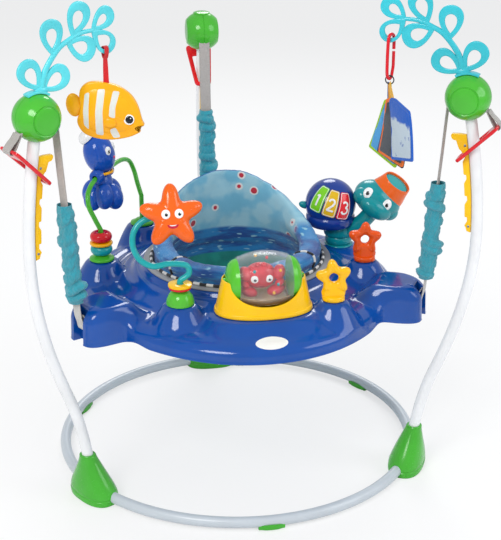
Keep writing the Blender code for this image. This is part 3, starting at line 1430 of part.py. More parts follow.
def build_arch(tray):
    node("arch_tube", arch_mesh(), GREEN, tray)
    low = MOUNT_TOP + FLANGE_HEIGHT + 2 * TOUCH_GAP
    for name, shade in (("teal", TEAL), ("yellow", YELLOW), ("red", RED)):
        flat = name == "yellow"
        diameter = BEAD_DISC_DIAMETER if flat else BEAD_DIAMETER
        height = BEAD_DISC_HEIGHT if flat else BEAD_HEIGHT
        spin = empty(f"bead_{name}_spin", (ARCH_FOOT_X, ARCH_FOOT_Y, low), tray)
        node(f"bead_{name}", bead_mesh(diameter, height, 0.3 if flat else 0.4), shade, spin)
        low += height + TOUCH_GAP
    place, turn = octopus_place()
    node("octopus", octopus_mesh(), NAVY, empty("octopus_rock", place, tray, turn))


def build_stalk(tray):
    swivel = empty("stalk_swivel", (STALK_X, STALK_Y, MOUNT_TOP), tray)
    node("star_stalk", stalk_mesh(), TEAL, swivel)
    high = MOUNT_TOP + STALK_DOME_HEIGHT + 2 * TOUCH_GAP
    node("stalk_disc", stalk_disc_mesh(), YELLOW, empty("disc_spin", (STALK_X, STALK_Y, high), tray))
    star = empty("star_turn", rattle_place()[0], swivel)
    star.rotation_euler.x = math.radians(90.0 - RATTLE_LEAN)
    node("star_rattle", rattle_mesh(), ORANGE, star)


def build_roller(tray):
    middle = (ROLLER_X, ROLLER_Y, ROLLER_Z)
    node("roller_cradle", cradle_mesh(), YELLOW, tray, middle)
    roller = empty("roller_spin", middle, tray)
    node("roller_drum", drum_mesh(), CLEAR, roller)
    node("roller_caps", caps_mesh(), GREEN, roller)
    node("crab", crab_mesh(), CRAB_RED, roller)


def build_turtle(tray):
    middle = (TURTLE_X, TURTLE_Y, MOUNT_TOP + SHELL_OVER_MOUNT)
    node("turtle_body", turtle_body_mesh(), TEAL, tray, (TURTLE_X, TURTLE_Y, 0.0))
    node("turtle_shell", turtle_shell_mesh(), NAVY, tray, middle)
    key = key_mesh()
    for number, shade in ((1, GREEN), (2, YELLOW), (3, RED)):
        press = empty(f"key_{number}_press", middle, tray, math.radians(key_azimuth(number)))
        node(f"key_{number}", key if number == 1 else key.copy(), shade, press)


def build_loops(tray):
    loop = loop_mesh()
    high = MOUNT_TOP + TOUCH_GAP
    node("star_loop_yellow", loop, YELLOW, tray, (YELLOW_LOOP_X, YELLOW_LOOP_Y, high))
    node("star_loop_orange", loop.copy(), ORANGE, tray, (ORANGE_LOOP_X, ORANGE_LOOP_Y, high))


def build_hanging_toys(frame):
    weed = weed_mesh()
    swings = {}
    for side in ("left", "right"):
        node(f"seaweed_{side}", weed, CYAN, frame, turn=heading(side))
        place = Matrix.Rotation(heading(side), 3, "Z") @ hang_point()
        swings[side] = empty(f"hang_swing_{side}", place, frame, heading(side))
    node("toy_fish", fish_mesh(), FISH_YELLOW, swings["left"])
    node("toy_link", link_mesh(), RED, swings["right"])
    low = LINK_REST + LINK_ROD * 3 / 2 - LINK_HEIGHT
    node("toy_cards", cards_mesh(), CARD_CLOTH, empty("cards_swing", (0.0, 0.0, low), swings["right"]))


def centre_on_floor(frame):
    """Moves the jumper until the middle of its outline is over the origin."""
    bpy.context.view_layer.update()
    corners = [piece.matrix_world @ vertex.co for piece in JUMPER.objects if piece.type == "MESH"
               for vertex in piece.data.vertices]
    for axis in (0, 1):
        values = [corner[axis] for corner in corners]
        frame.location[axis] -= (min(values) + max(values)) / 2
    bpy.context.view_layer.update()


FRAME = empty("jumper_frame")
build_frame(FRAME)
TRAY = build_tray(build_hangers(FRAME))
for build in (build_arch, build_stalk, build_roller, build_turtle, build_loops):
    build(TRAY)
build_hanging_toys(FRAME)
centre_on_floor(FRAME)
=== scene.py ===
"""Looks of the baby activity jumper: its photographed shapes and finishes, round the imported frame."""
import random
from math import atan, atan2, ceil, copysign, cos, degrees, dist, hypot, pi, radians, sin, sqrt

import bmesh
import bpy
from mathutils import Matrix, Vector, noise
from mathutils.bvhtree import BVHTree


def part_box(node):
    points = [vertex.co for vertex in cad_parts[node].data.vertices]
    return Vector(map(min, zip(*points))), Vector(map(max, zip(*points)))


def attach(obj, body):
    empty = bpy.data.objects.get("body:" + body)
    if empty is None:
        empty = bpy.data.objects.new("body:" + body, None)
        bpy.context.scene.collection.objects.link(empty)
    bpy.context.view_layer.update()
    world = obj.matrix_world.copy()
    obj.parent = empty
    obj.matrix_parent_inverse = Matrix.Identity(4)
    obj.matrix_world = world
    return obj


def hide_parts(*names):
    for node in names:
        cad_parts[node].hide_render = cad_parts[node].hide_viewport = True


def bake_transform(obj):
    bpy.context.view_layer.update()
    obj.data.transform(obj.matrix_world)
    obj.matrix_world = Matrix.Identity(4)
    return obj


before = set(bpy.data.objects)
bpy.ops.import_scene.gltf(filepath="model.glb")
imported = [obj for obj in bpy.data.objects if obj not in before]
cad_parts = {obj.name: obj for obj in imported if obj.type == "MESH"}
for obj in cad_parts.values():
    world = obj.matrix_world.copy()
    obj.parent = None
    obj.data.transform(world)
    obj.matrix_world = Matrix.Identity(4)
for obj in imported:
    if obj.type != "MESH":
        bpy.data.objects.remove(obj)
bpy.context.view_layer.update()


# The studio: a pale paper floor and three soft lamps. The camera stands a little left of the child's
# front, above the tray, and looks down at the jumper.
CAMERA_PLACE = (-0.445, -2.629, 1.4182)
CAMERA_PITCH = 68.3716
CAMERA_YAW = -10.4704
CAMERA_LENS = 90.11
FLOOR_SPAN = 14
PAPER_GLOW = 0.62
ROOM_LIGHT = 0.62
BACKDROP_LIGHT = 0.97
GLOSS_SHARE = 0.25


def stand(name, data, place=(0, 0, 0), turn=(0, 0, 0)):
    """Puts a lamp, a camera or a mesh in the scene."""
    thing = bpy.data.objects.new(name, data)
    thing.location = place
    thing.rotation_euler = turn
    bpy.context.scene.collection.objects.link(thing)
    return thing


def lamp(name, place, target, span, watts, colour):
    """A round soft lamp whose -Z points from its place to a target."""
    light = bpy.data.lights.new(name, "AREA")
    light.shape = "DISK"
    light.size = span
    light.energy = watts
    light.color = colour
    stand(name, light, place, (Vector(target) - Vector(place)).to_track_quat("-Z", "Y").to_euler())


def studio_camera():
    lens = bpy.data.cameras.new("camera")
    lens.lens = CAMERA_LENS
    turn = (radians(CAMERA_PITCH), 0, radians(CAMERA_YAW))
    bpy.context.scene.camera = stand("camera", lens, CAMERA_PLACE, turn)


def added(tree, kind, *values, **settings):
    """The first output of a new node whose sockets are set to values or joined to other outputs."""
    node = tree.nodes.new(kind)
    for key, value in settings.items():
        setattr(node, key, value)
    for socket, value in zip(node.inputs, values):
        if isinstance(value, bpy.types.NodeSocket):
            tree.links.new(value, socket)
        else:
            socket.default_value = value
    return node.outputs[0]


def meshed(name, shape):
    """A shape's mesh; the shape itself is given back."""
    mesh = bpy.data.meshes.new(name)
    shape.to_mesh(mesh)
    shape.free()
    return mesh


def paper_floor():
    """A paper floor that looks near white to the camera and keeps the jumper's shadow."""
    shape = bmesh.new()
    bmesh.ops.create_grid(shape, x_segments=1, y_segments=1, size=FLOOR_SPAN / 2)
    bmesh.ops.translate(shape, vec=(0, 0, -0.0005), verts=shape.verts)
    mesh = meshed("floor", shape)
    paper = bpy.data.materials.new("floor_paper")
    paper.use_nodes = True
    tree = paper.node_tree
    surface = tree.nodes["Principled BSDF"]
    surface.inputs["Base Color"].default_value = (0.92, 0.92, 0.92, 1)
    surface.inputs["Roughness"].default_value = 0.85
    ray = tree.nodes.new("ShaderNodeLightPath").outputs
    glow = added(tree, "ShaderNodeMath", ray["Is Camera Ray"], PAPER_GLOW, operation="MULTIPLY")
    white = added(tree, "ShaderNodeEmission")
    shown = added(tree, "ShaderNodeMixShader", glow, surface.outputs["BSDF"], white)
    tree.links.new(shown, tree.nodes["Material Output"].inputs["Surface"])
    mesh.materials.append(paper)
    floor = stand("floor", mesh)


def studio_world():
    """An even pale room: soft light on the jumper, a white backdrop in view and a dimmer one in gloss."""
    world = bpy.data.worlds.new("studio")
    world.use_nodes = True
    tree = world.node_tree
    room = tree.nodes["Background"]
    room.inputs["Color"].default_value = (0.95, 0.97, 1, 1)
    room.inputs["Strength"].default_value = ROOM_LIGHT
    seen = added(tree, "ShaderNodeBackground", (1, 1, 1, 1), BACKDROP_LIGHT)
    ray = tree.nodes.new("ShaderNodeLightPath").outputs
    gloss = added(tree, "ShaderNodeMath", ray["Is Glossy Ray"], GLOSS_SHARE, operation="MULTIPLY")
    straight = added(tree, "ShaderNodeMath", ray["Is Camera Ray"], gloss, operation="MAXIMUM")
    share = added(tree, "ShaderNodeMath", straight, ray["Is Transmission Ray"], operation="MAXIMUM")
    shown = added(tree, "ShaderNodeMixShader", share, room.outputs["Background"], seen)
    tree.links.new(shown, tree.nodes["World Output"].inputs["Surface"])
    bpy.context.scene.world = world


bpy.context.scene.view_settings.view_transform = "Standard"
studio_camera()
paper_floor()
studio_world()
lamp("key_lamp", (-1.7, -2.4, 2.7), (0, 0, 0.45), 1.5, 62, (1, 0.985, 0.96))
lamp("fill_lamp", (2.4, -1.4, 1.9), (0, 0, 0.45), 1.8, 26, (0.96, 0.98, 1))
lamp("back_lamp", (0.6, 2.4, 2.4), (0, 0, 0.6), 1.4, 30, (1, 1, 1))


# The floor ring: three bent steel tubes in pale blue-grey enamel, their ends pushed into the feet.
# Small green rubber pads are clipped under them, halfway between the feet.
AXIS = (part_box("seat_ring")[0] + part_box("seat_ring")[1]) / 2
UPWARDS = Vector((0, 0, 1))
POST_AZIMUTHS = {"left": 210, "right": -30, "back": 90}
RING_AZIMUTHS = {"front": -90, "back_left": 150, "back_right": 30}
RING_RADIUS = 0.37
RING_HEIGHT = 0.015
RING_TUBE = 0.022
PAD_LENGTH = 0.05
PAD_WIDTH = 0.026
PAD_HEIGHT = 0.013
RING_ENAMEL = "#C3CBD2"
PAD_GREEN = "#46AE33"


def tint(code):
    """A colour written as a painter's code, as the light values that a shader takes."""
    shares = [int(code[here:here + 2], 16) / 255 for here in (1, 3, 5)]
    return (*[share / 12.92 if share <= 0.04045 else ((share + 0.055) / 1.055)**2.4 for share in shares], 1)


class Wire:
    """A shader socket that takes part in sums as a number does."""

    def __init__(self, finish, socket):
        self.finish = finish
        self.socket = socket

    def sum_with(self, operation, *values):
        return self.finish.node("ShaderNodeMath", {"operation": operation}, *values)

    def __add__(self, other):
        return self.sum_with("ADD", self, other)

    def __mul__(self, other):
        return self.sum_with("MULTIPLY", self, other)

    def __sub__(self, other):
        return self.sum_with("SUBTRACT", self, other)

    def sine(self):
        return self.sum_with("SINE", self)

    def rises(self, low, high):
        """0 below low, 1 above high, and a smooth step between them."""
        return self.finish.node("ShaderNodeMapRange", {"interpolation_type": "SMOOTHSTEP"}, self, low, high)


class Finish:
    """A material, built from expressions on its wires."""

    def __init__(self, name, colour, roughness, **fixed):
        self.material = bpy.data.materials.new(name)
        self.material.use_nodes = True
        self.tree = self.material.node_tree
        self.surface = self.tree.nodes["Principled BSDF"]
        self.colour = tint(colour)
        self.set("Base Color", self.colour)
        self.set("Roughness", roughness)
        for socket, value in fixed.items():
            self.set(socket.replace("_", " ").title().replace("Ior", "IOR"), value)

    def join(self, socket, value):
        if isinstance(value, Wire):
            self.tree.links.new(value.socket, socket)
        else:
            socket.default_value = value

    def set(self, socket, value):
        self.join(self.surface.inputs[socket], value)

    def node(self, kind, settings, *values, output=0, **named):
        """Any node: its settings first, then its sockets in order or by name."""
        made = self.tree.nodes.new(kind)
        for key, value in settings.items():
            setattr(made, key, value)
        for socket, value in zip(made.inputs, values):
            if value is not None:
                self.join(socket, value)
        for key, value in named.items():
            self.join(made.inputs[key], value)
        return Wire(self, made.outputs[output])

    def place(self, centre=(0, 0, 0), scale=(1, 1, 1)):
        """Object coordinates about a centre, scaled."""
        here = self.node("ShaderNodeTexCoord", {}, output=3)
        about = self.node("ShaderNodeMapping", {}, here, [-value for value in centre])
        return self.node("ShaderNodeMapping", {}, about, None, None, scale)

    def weave_place(self):
        """The piece's own flat map, in metres round it and along it."""
        return self.node("ShaderNodeUVMap", {"uv_map": "weave"})

    def axes(self, vector):
        split = self.node("ShaderNodeSeparateXYZ", {}, vector)
        outputs = split.socket.node.outputs
        return [Wire(self, outputs[number]) for number in range(3)]

    def noise(self, vector, scale, detail=2, roughness=0.5):
        return self.node("ShaderNodeTexNoise", {}, Vector=vector, Scale=scale, Detail=detail,
            Roughness=roughness)

    def mix(self, share, first, second):
        made = self.node("ShaderNodeMix", {"data_type": "RGBA"}, share, output=2)
        for number, value in ((6, first), (7, second)):
            self.join(made.socket.node.inputs[number], value)
        return made

    def tones(self, wire, low, high, dark, light):
        """The finish's own colour, from a darker to a lighter tone as a wire rises from low to high."""
        return self.mix(wire.rises(low, high), shaded(self.colour, dark), shaded(self.colour, light))

    def bump(self, height, depth, strength=1):
        self.set("Normal", self.node("ShaderNodeBump", {}, Height=height, Distance=depth,
            Strength=strength))


def shaded(colour, factor):
    """A colour made lighter or darker."""
    return (*[min(share * factor, 1) for share in colour[:3]], 1)


def moulded(name, colour, roughness=0.22, coat=0.25, grain=0.00004, **fixed):
    """Glossy injection-moulded plastic: slight flow marks, hairline scratches and a fine skin."""
    finish = Finish(name, colour, roughness, coat_weight=coat * 0.4, coat_roughness=0.1,
        specular_ior_level=0.32, **fixed)
    here = finish.place()
    flow = finish.noise(here, 9, 3)
    finish.set("Base Color", finish.tones(flow, 0.3, 0.72, 0.9, 1.07))
    scratch = finish.noise(finish.place(scale=(14, 90, 40)), 6, 2).rises(0.6, 0.72)
    finish.set("Roughness", flow * 0.06 + scratch * 0.12 + (roughness - 0.04))
    finish.bump(finish.noise(here, 900, 1) + flow * 3, grain)
    return finish.material


def enamelled(name, colour, roughness=0.3):
    """Baked enamel on steel tube: orange peel, faint mottling and small rubbed spots."""
    finish = Finish(name, colour, roughness, coat_weight=0.2, coat_roughness=0.15)
    here = finish.place()
    peel = finish.noise(here, 260, 2)
    cloud = finish.noise(here, 14, 3)
    rubbed = finish.noise(here, 70, 4, 0.7).rises(0.66, 0.72)
    mottled = finish.tones(cloud, 0.3, 0.7, 0.95, 1.03)
    finish.set("Base Color", finish.mix(rubbed * 0.35, mottled, shaded(finish.colour, 0.78)))
    finish.set("Roughness", cloud * 0.1 + rubbed * 0.15 + (roughness - 0.05))
    finish.bump(peel, 0.00005)
    return finish.material


def ring_of(vert, ring):
    """The vertex that an extrusion made from this one."""
    return next(edge.other_vert(vert) for edge in vert.link_edges if edge.other_vert(vert) in ring)


def skin(rings, closed=False, cyclic=True, girth=1, lengths=None):
    """A skin over rings of points, each extruded from the last, capped unless the last meets the first.
    Its weave map runs once round the girth and along the lengths."""
    shape = bmesh.new()
    count = len(rings[0])
    row = list(bmesh.ops.create_circle(shape, segments=count, radius=1)["verts"])
    if not cyclic:
        bmesh.ops.delete(shape, geom=[shape.edges.get((row[-1], row[0]))], context="EDGES")
    for vert, point in zip(row, rings[0]):
        vert.co = point
    rows = [row]
    for ring in rings[1:]:
        pairs = zip(row, row[1:] + row[:1]) if cyclic else zip(row, row[1:])
        edges = [shape.edges.get(pair) for pair in pairs]
        made = bmesh.ops.extrude_edge_only(shape, edges=edges)["geom"]
        new = {thing for thing in made if isinstance(thing, bmesh.types.BMVert)}
        row = [ring_of(vert, new) for vert in row]
        for vert, point in zip(row, ring):
            vert.co = point
        rows.append(row)
    if lengths is not None:
        spot = {vert: (step, along) for ring, along in zip(rows, lengths) for step, vert in enumerate(ring)}
        weave = shape.loops.layers.uv.new("weave")
        for face in shape.faces:
            wraps = max(spot[vert][0] for vert in face.verts) - min(spot[vert][0]
                for vert in face.verts) > 1
            for loop in face.loops:
                step, along = spot[loop.vert]
                loop[weave].uv = ((step + (count if wraps and step == 0 else 0)) * girth / count, along)
    if closed:
        bmesh.ops.remove_doubles(shape, verts=rows[0] + rows[-1], dist=1e-6)
    elif cyclic:
        bmesh.ops.holes_fill(shape, edges=[edge for edge in shape.edges if edge.is_boundary])
    if closed or cyclic:
        bmesh.ops.recalc_face_normals(shape, faces=shape.faces)
    return shape


def along_line(line, here, cyclic=False):
    """The direction of a line at one of its points."""
    last = len(line) - 1
    after = line[(here + 1) % len(line)] if cyclic else line[min(here + 1, last)]
    before = line[here - 1] if cyclic else line[max(here - 1, 0)]
    return (Vector(after) - Vector(before)).normalized()


def swept(line, section, cyclic=False, first_side=UPWARDS, swell=None):
    """A section of (sideways, upwards) points carried along a line, without twist."""
    side = Vector(first_side).cross(along_line(line, 0, cyclic))
    if side.length < 0.01:
        side = Vector((1, 0, 0)).cross(along_line(line, 0, cyclic))
    rings, lengths, travelled = [], [], 0
    for here, point in enumerate(line):
        along = along_line(line, here, cyclic)
        side = (side - along * side.dot(along)).normalized()
        lift = along.cross(side)
        size = 1 if swell is None else swell[here]
        rings.append([Vector(point) + (side * x + lift * y) * size for x, y in section])
        travelled += (Vector(point) - Vector(line[here - 1])).length if here else 0
        lengths.append(travelled)
    if cyclic:
        rings.append(rings[0])
        lengths.append(travelled + (Vector(line[0]) - Vector(line[-1])).length)
    girth = sum((Vector(a) - Vector(b)).length for a, b in zip(section, section[1:] + section[:1]))
    return skin(rings, closed=cyclic, girth=girth, lengths=lengths)


def circle(radius, count, centre=(0, 0), start=0):
    """Points of a circle in a plane."""
    return [(centre[0] + radius * cos(start + 2 * pi * step / count),
        centre[1] + radius * sin(start + 2 * pi * step / count)) for step in range(count)]


def blend(start, end, share):
    return start + (end - start) * share


def between(start, end, count):
    """Evenly spaced values from start to end."""
    return [blend(start, end, step / (count - 1)) for step in range(count)]


def fan(start, end, count):
    """Evenly spaced angles between two in degrees."""
    return [radians(angle) for angle in between(start, end, count)]


def arc(radius, start, end, count, height):
    """Points of a level arc between two angles in degrees."""
    return [Vector((radius * cos(angle), radius * sin(angle), height)) for angle in fan(start, end, count)]


def oval(wide, deep, count):
    """Points of an oval by its half width and half depth."""
    return [(x * wide, y * deep) for x, y in circle(1, count)]


def moved(x=0, y=0, z=0):
    """A shift along the axes."""
    return Matrix.Translation((x, y, z))


def facing(azimuth):
    """From a post's own plane to its place round the jumper's axis."""
    return moved(AXIS.x, AXIS.y, 0) @ Matrix.Rotation(radians(azimuth), 4, "Z")


def piece(name, shape, finish, body, stands_for=(), place=None, crease=38, bend=None):
    """Makes a finished shape a named piece that rides on a body. Given bend points, it rides on no body
    and keeps its place in its mesh; the points are carried into its place but not used."""
    if place is not None:
        bmesh.ops.transform(shape, matrix=place, verts=shape.verts)
    mesh = meshed(name, shape)
    for coat in finish if isinstance(finish, (list, tuple)) else (finish,):
        mesh.materials.append(coat)
    mesh.shade_smooth()
    mesh.set_sharp_from_angle(angle=radians(crease))
    thing = stand(name, mesh)
    if bend is None:
        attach(thing, body)
    else:
        [tuple(place @ Vector(point)) for point in bend]
        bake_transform(thing)
    if stands_for:
        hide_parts(*([stands_for] if isinstance(stands_for, str) else stands_for))
    return thing


def pad_shape():
    """A saddle under the tube: a flat sole, rounded sides and drawn-in ends."""
    groove = RING_TUBE / 2 + 0.0004
    rings = []
    for step in range(13):
        share = step / 6 - 1
        angle = share * PAD_LENGTH / 2 / RING_RADIUS
        out = Vector((cos(angle), sin(angle), 0))
        wide = PAD_WIDTH / 2 * (1 - 0.9 * abs(share)**5) * (1 - 0.1 * share**2)
        wide = max(wide, groove * 0.86)
        top = PAD_HEIGHT - 0.002 * share**2
        outside = [(-wide, top), (-wide - 0.0004, top * 0.5), (-wide + 0.001, 0.0015), (-wide + 0.0035, 0)]
        hollow = [(groove * sin(bend), RING_HEIGHT - groove * cos(bend)) for bend in fan(78, -78, 13)]
        section = outside + [(-x, z) for x, z in reversed(outside)]
        section += [(min(max(x, -wide), wide), min(z, top)) for x, z in hollow]
        rings.append([out * (RING_RADIUS + x) + UPWARDS * z for x, z in section])
    return skin(rings)


RING_PAINT = enamelled("ring_enamel", RING_ENAMEL, 0.34)
PAD_RUBBER = moulded("pad_rubber", PAD_GREEN, 0.42, 0)
for part, azimuth in RING_AZIMUTHS.items():
    tube = swept(arc(RING_RADIUS, -59.4, 59.4, 73, RING_HEIGHT), circle(RING_TUBE / 2, 28))
    piece(f"floor_ring_{part}", tube, RING_PAINT, "frame", f"ring_tube_{part}",
        facing(azimuth))
    piece(f"floor_pad_{part}", pad_shape(), PAD_RUBBER, "frame", f"grip_pad_{part}",
        facing(azimuth))


# The posts: one bowed steel tube each, in white enamel, from the foot up into the hub.
# They lean out over the ring, stand furthest out beside the tray and come in again at the top.
POST_TUBE = 0.022
POST_START = 0.034
POST_END = 0.801
POST_STATIONS = ((0.049, 0.379, 0.15), (0.233, 0.4225, 0.4), (0.53, 0.489, 0), (0.793, 0.457, -0.2))
POST_ENAMEL = "#ECEDEF"


def hermite(low, high, height):
    """A smooth line between two stations of (height, value, slope)."""
    span = high[0] - low[0]
    t = (height - low[0]) / span
    return ((2 * t**3 - 3 * t**2 + 1) * low[1] + (t**3 - 2 * t**2 + t) * span * low[2]
        + (3 * t**2 - 2 * t**3) * high[1] + (t**3 - t**2) * span * high[2])


def post_radius(height):
    """Distance of the post's centre line from the jumper's axis at a height."""
    for low, high in zip(POST_STATIONS, POST_STATIONS[1:]):
        if height < high[0] or high is POST_STATIONS[-1]:
            return hermite(low, high, height)


def post_point(height, inwards=0):
    return Vector((post_radius(height) - inwards, 0, height))


POST_PAINT = enamelled("post_enamel", POST_ENAMEL, 0.26)
for side, azimuth in POST_AZIMUTHS.items():
    tube = swept([post_point(height) for height in between(POST_START, POST_END, 57)],
        circle(POST_TUBE / 2, 32), first_side=(0, 1, 0))
    piece(f"bowed_post_{side}", tube, POST_PAINT, "frame", f"post_{side}", facing(azimuth))


# The feet: green mouldings that clamp the ring's ends and the post. Each is a rounded cone with a
# parting line near the floor and a collar at the post.
FOOT_LENGTH = 0.12
FOOT_WIDTH = 0.072
FOOT_HEIGHT = 0.098
FOOT_GREEN = "#45AF31"
FOOT_PROFILE = ((0, 0.475, 0.455), (0.012, 0.489, 0.478), (0.05, 0.497, 0.49), (0.115, 0.5, 0.496),
    (0.132, 0.489, 0.48), (0.15, 0.489, 0.48), (0.165, 0.497, 0.492), (0.22, 0.488, 0.486),
    (0.32, 0.452, 0.462), (0.45, 0.392, 0.418), (0.6, 0.312, 0.362), (0.74, 0.24, 0.306),
    (0.86, 0.182, 0.256), (0.95, 0.148, 0.226), (0.985, 0.141, 0.22), (1, 0.128, 0.202))


def foot_shape():
    rings = []
    for share, long_share, wide_share in FOOT_PROFILE:
        height = FOOT_HEIGHT * share
        square = blend(2.5, 2.05, min(share * 1.6, 1))
        ring = []
        for x, y in circle(1, 56):
            reach = (abs(x)**square + abs(y)**square)**(-1 / square)
            ring.append((post_radius(max(height, 0.02)) + FOOT_WIDTH * wide_share * reach * x,
                FOOT_LENGTH * long_share * reach * y, height))
        rings.append(ring)
    bore = POST_TUBE / 2 + 0.0004
    for height in (FOOT_HEIGHT, FOOT_HEIGHT - 0.012):
        ring = circle(bore, 56, (post_radius(height), 0))
        rings.append([(x, y, height) for x, y in ring])
    return skin(rings)


FOOT_PLASTIC = moulded("foot_plastic", FOOT_GREEN, 0.2, 0.35)
for side, azimuth in POST_AZIMUTHS.items():
    piece(f"moulded_foot_{side}", foot_shape(), FOOT_PLASTIC, "frame", f"foot_{side}",
        facing(azimuth))


# The hubs: two green half-shells screwed together over each post's top, with a round cover on either
# face. The webbing runs over a roller inside and leaves it on its inner and its outer side.
HUB_HEIGHT = 0.793
HUB_RADIUS = 0.457
HUB_DIAMETER = 0.0866
HUB_THICKNESS = 0.071
HUB_COVER = 0.05
HUB_GREEN = "#48B431"
SCREW_STEEL = "#8C8F94"


def spun(profile, steps=56):
    """A profile of (radius, height) points turned about Z; both its ends may lie on the axis."""
    shape = bmesh.new()
    corners = [shape.verts.new((radius, 0, height)) for radius, height in profile]
    edges = [shape.edges.new(pair) for pair in zip(corners, corners[1:])]
    if profile[0][0] > 1e-6:
        edges.append(shape.edges.new((corners[-1], corners[0])))
    bmesh.ops.spin(shape, geom=corners + edges, cent=(0, 0, 0), axis=(0, 0, 1), angle=2 * pi, steps=steps,
        use_merge=True)
    bmesh.ops.remove_doubles(shape, verts=shape.verts, dist=1e-6)
    bmesh.ops.recalc_face_normals(shape, faces=shape.faces)
    return shape


def turn_about(axis, angle):
    return Matrix.Rotation(radians(angle), 4, axis)


def hub_shape():
    half, edge = HUB_THICKNESS / 2, HUB_COVER / 2
    side = [(0, half + 0.0004), (edge * 0.6, half + 0.0003), (edge - 0.003, half),
        (edge - 0.0008, half - 0.0006), (edge, half - 0.0022), (edge + 0.0008, half - 0.0024),
        (edge + 0.0016, half - 0.0018), (edge + 0.003, half - 0.0014)]
    for bend in fan(47, 88.4, 9):
        side.append((HUB_DIAMETER / 2 * sin(bend)**0.86, half * 1.19 * cos(bend)))
    side.append((HUB_DIAMETER / 2 - 0.0009, 0.0005))
    return spun(side + [(radius, -height) for radius, height in reversed(side)], 72)


def rounded_box(size, soft, steps=3):
    shape = bmesh.new()
    bmesh.ops.create_cube(shape, size=1)
    bmesh.ops.scale(shape, vec=size, verts=shape.verts)
    bmesh.ops.bevel(shape, geom=list(shape.edges), offset=soft, segments=steps, affect="EDGES", profile=0.5,
        material=-1)
    return shape


HUB_PLASTIC = moulded("hub_plastic", HUB_GREEN, 0.15, 0.5)
SCREW_METAL = Finish("screw_steel", SCREW_STEEL, 0.32, metallic=1)
SCREW_METAL.bump(SCREW_METAL.noise(SCREW_METAL.place(scale=(1, 1, 30)), 400), 0.00005)
for side, azimuth in POST_AZIMUTHS.items():
    upright = facing(azimuth) @ moved(HUB_RADIUS, 0, HUB_HEIGHT)
    piece(f"ball_hub_{side}", hub_shape(), HUB_PLASTIC, "frame", f"hub_{side}",
        upright @ turn_about("X", 90), 30)
    if side == "back":
        cap = spun([(0, 0.0015), (0.014, 0.0012), (0.0185, -0.0004), (0.0185, -0.004), (0, -0.004)], 40)
        piece("hub_cap_back", cap, HUB_PLASTIC, "frame", place=upright @ moved(0, 0,
            HUB_DIAMETER / 2 - 0.0006))


# The height racks: yellow nylon strips with four notches, riveted inside each post below its hub.
# A hooked head at the top keeps the red ring from sliding off.
FIRST_NOTCH = 0.68
NOTCH_PITCH = 0.042
RACK_THICKNESS = 0.009
RACK_YELLOW = "#FDC300"


def slab(outline, thickness, soft=0.0012, steps=2):
    """A flat outline in XY made solid about z = 0, its edges rounded."""
    shape = bmesh.new()
    face = shape.faces.new([shape.verts.new((x, y, -thickness / 2)) for x, y in outline])
    made = bmesh.ops.extrude_face_region(shape, geom=[face])["geom"]
    raised = [thing for thing in made if isinstance(thing, bmesh.types.BMVert)]
    bmesh.ops.translate(shape, vec=(0, 0, thickness), verts=raised)
    bmesh.ops.recalc_face_normals(shape, faces=shape.faces)
    if soft:
        rim = [edge for edge in shape.edges if abs(edge.verts[0].co.z - edge.verts[1].co.z) < 1e-7]
        bmesh.ops.bevel(shape, geom=rim, offset=soft, segments=steps, affect="EDGES", profile=0.5,
            material=-1)
    return shape


def rack_outline():
    """The strip's side view, as (radius, height) in the post's plane."""
    def at(height, depth):
        return (post_radius(height) - POST_TUBE / 2 - 0.0006 - depth, height)

    low, high = FIRST_NOTCH - 3 * NOTCH_PITCH - 0.024, FIRST_NOTCH + 0.042
    outline = [at(height, 0) for height in between(low, high, 13)]
    outline += [at(high + 0.0008, 0.012), at(high, 0.027), at(high - 0.003, 0.0298),
        at(high - 0.008, 0.0296), at(high - 0.0115, 0.027), at(high - 0.013, 0.021),
        at(FIRST_NOTCH + 0.022, 0.0195), at(FIRST_NOTCH + 0.013, 0.0172), at(FIRST_NOTCH + 0.0105, 0.014)]
    for notch in range(4):
        middle = FIRST_NOTCH - NOTCH_PITCH * notch
        outline += [at(middle + 0.0072, 0.0124), at(middle + 0.006, 0.0112), at(middle + 0.0056, 0.0078),
            at(middle - 0.002, 0.0074), at(middle - 0.0094, 0.0116), at(middle - 0.0112, 0.0125)]
    return outline + [at(low + 0.01, 0.01), at(low + 0.002, 0.0075)]


RACK_PLASTIC = moulded("rack_plastic", RACK_YELLOW, 0.28, 0.2)
for side, azimuth in POST_AZIMUTHS.items():
    piece(f"notched_rack_{side}", slab(rack_outline(), RACK_THICKNESS, 0.0009), RACK_PLASTIC, "frame",
        f"height_rack_{side}", facing(azimuth) @ turn_about("X", 90), 30)
    for number, height in enumerate((FIRST_NOTCH + 0.021, FIRST_NOTCH - 3 * NOTCH_PITCH - 0.012)):
        rivet = post_point(height, POST_TUBE / 2 + 0.0054)
        for way in (1, -1):
            head = spun([(0, 0.001), (0.0018, 0.0007), (0.0026, 0), (0.0026, -0.001), (0, -0.001)], 20)
            spot = facing(azimuth) @ Matrix.Translation(rivet + Vector((0, way * RACK_THICKNESS / 2, 0)))
            piece(f"rack_rivet_{side}_{number}_{'in' if way > 0 else 'out'}", head, SCREW_METAL.material,
                "frame", place=spot @ turn_about("X", -90 * way))


# The red rings: flat tapered loops that slide over each post. The narrow end drops into a notch,
# and the webbing is sewn round the bar at the wide end.
LATCH_LENGTH = 0.108
LATCH_INNER = 0.036
LATCH_OUTER = 0.06
LATCH_THICKNESS = 0.007
LATCH_BAR = 0.008
LATCH_TILT = 45
LATCH_RED = "#DE1B28"
STRAP_WIDTH = 0.024
STRAP_THICKNESS = 0.002


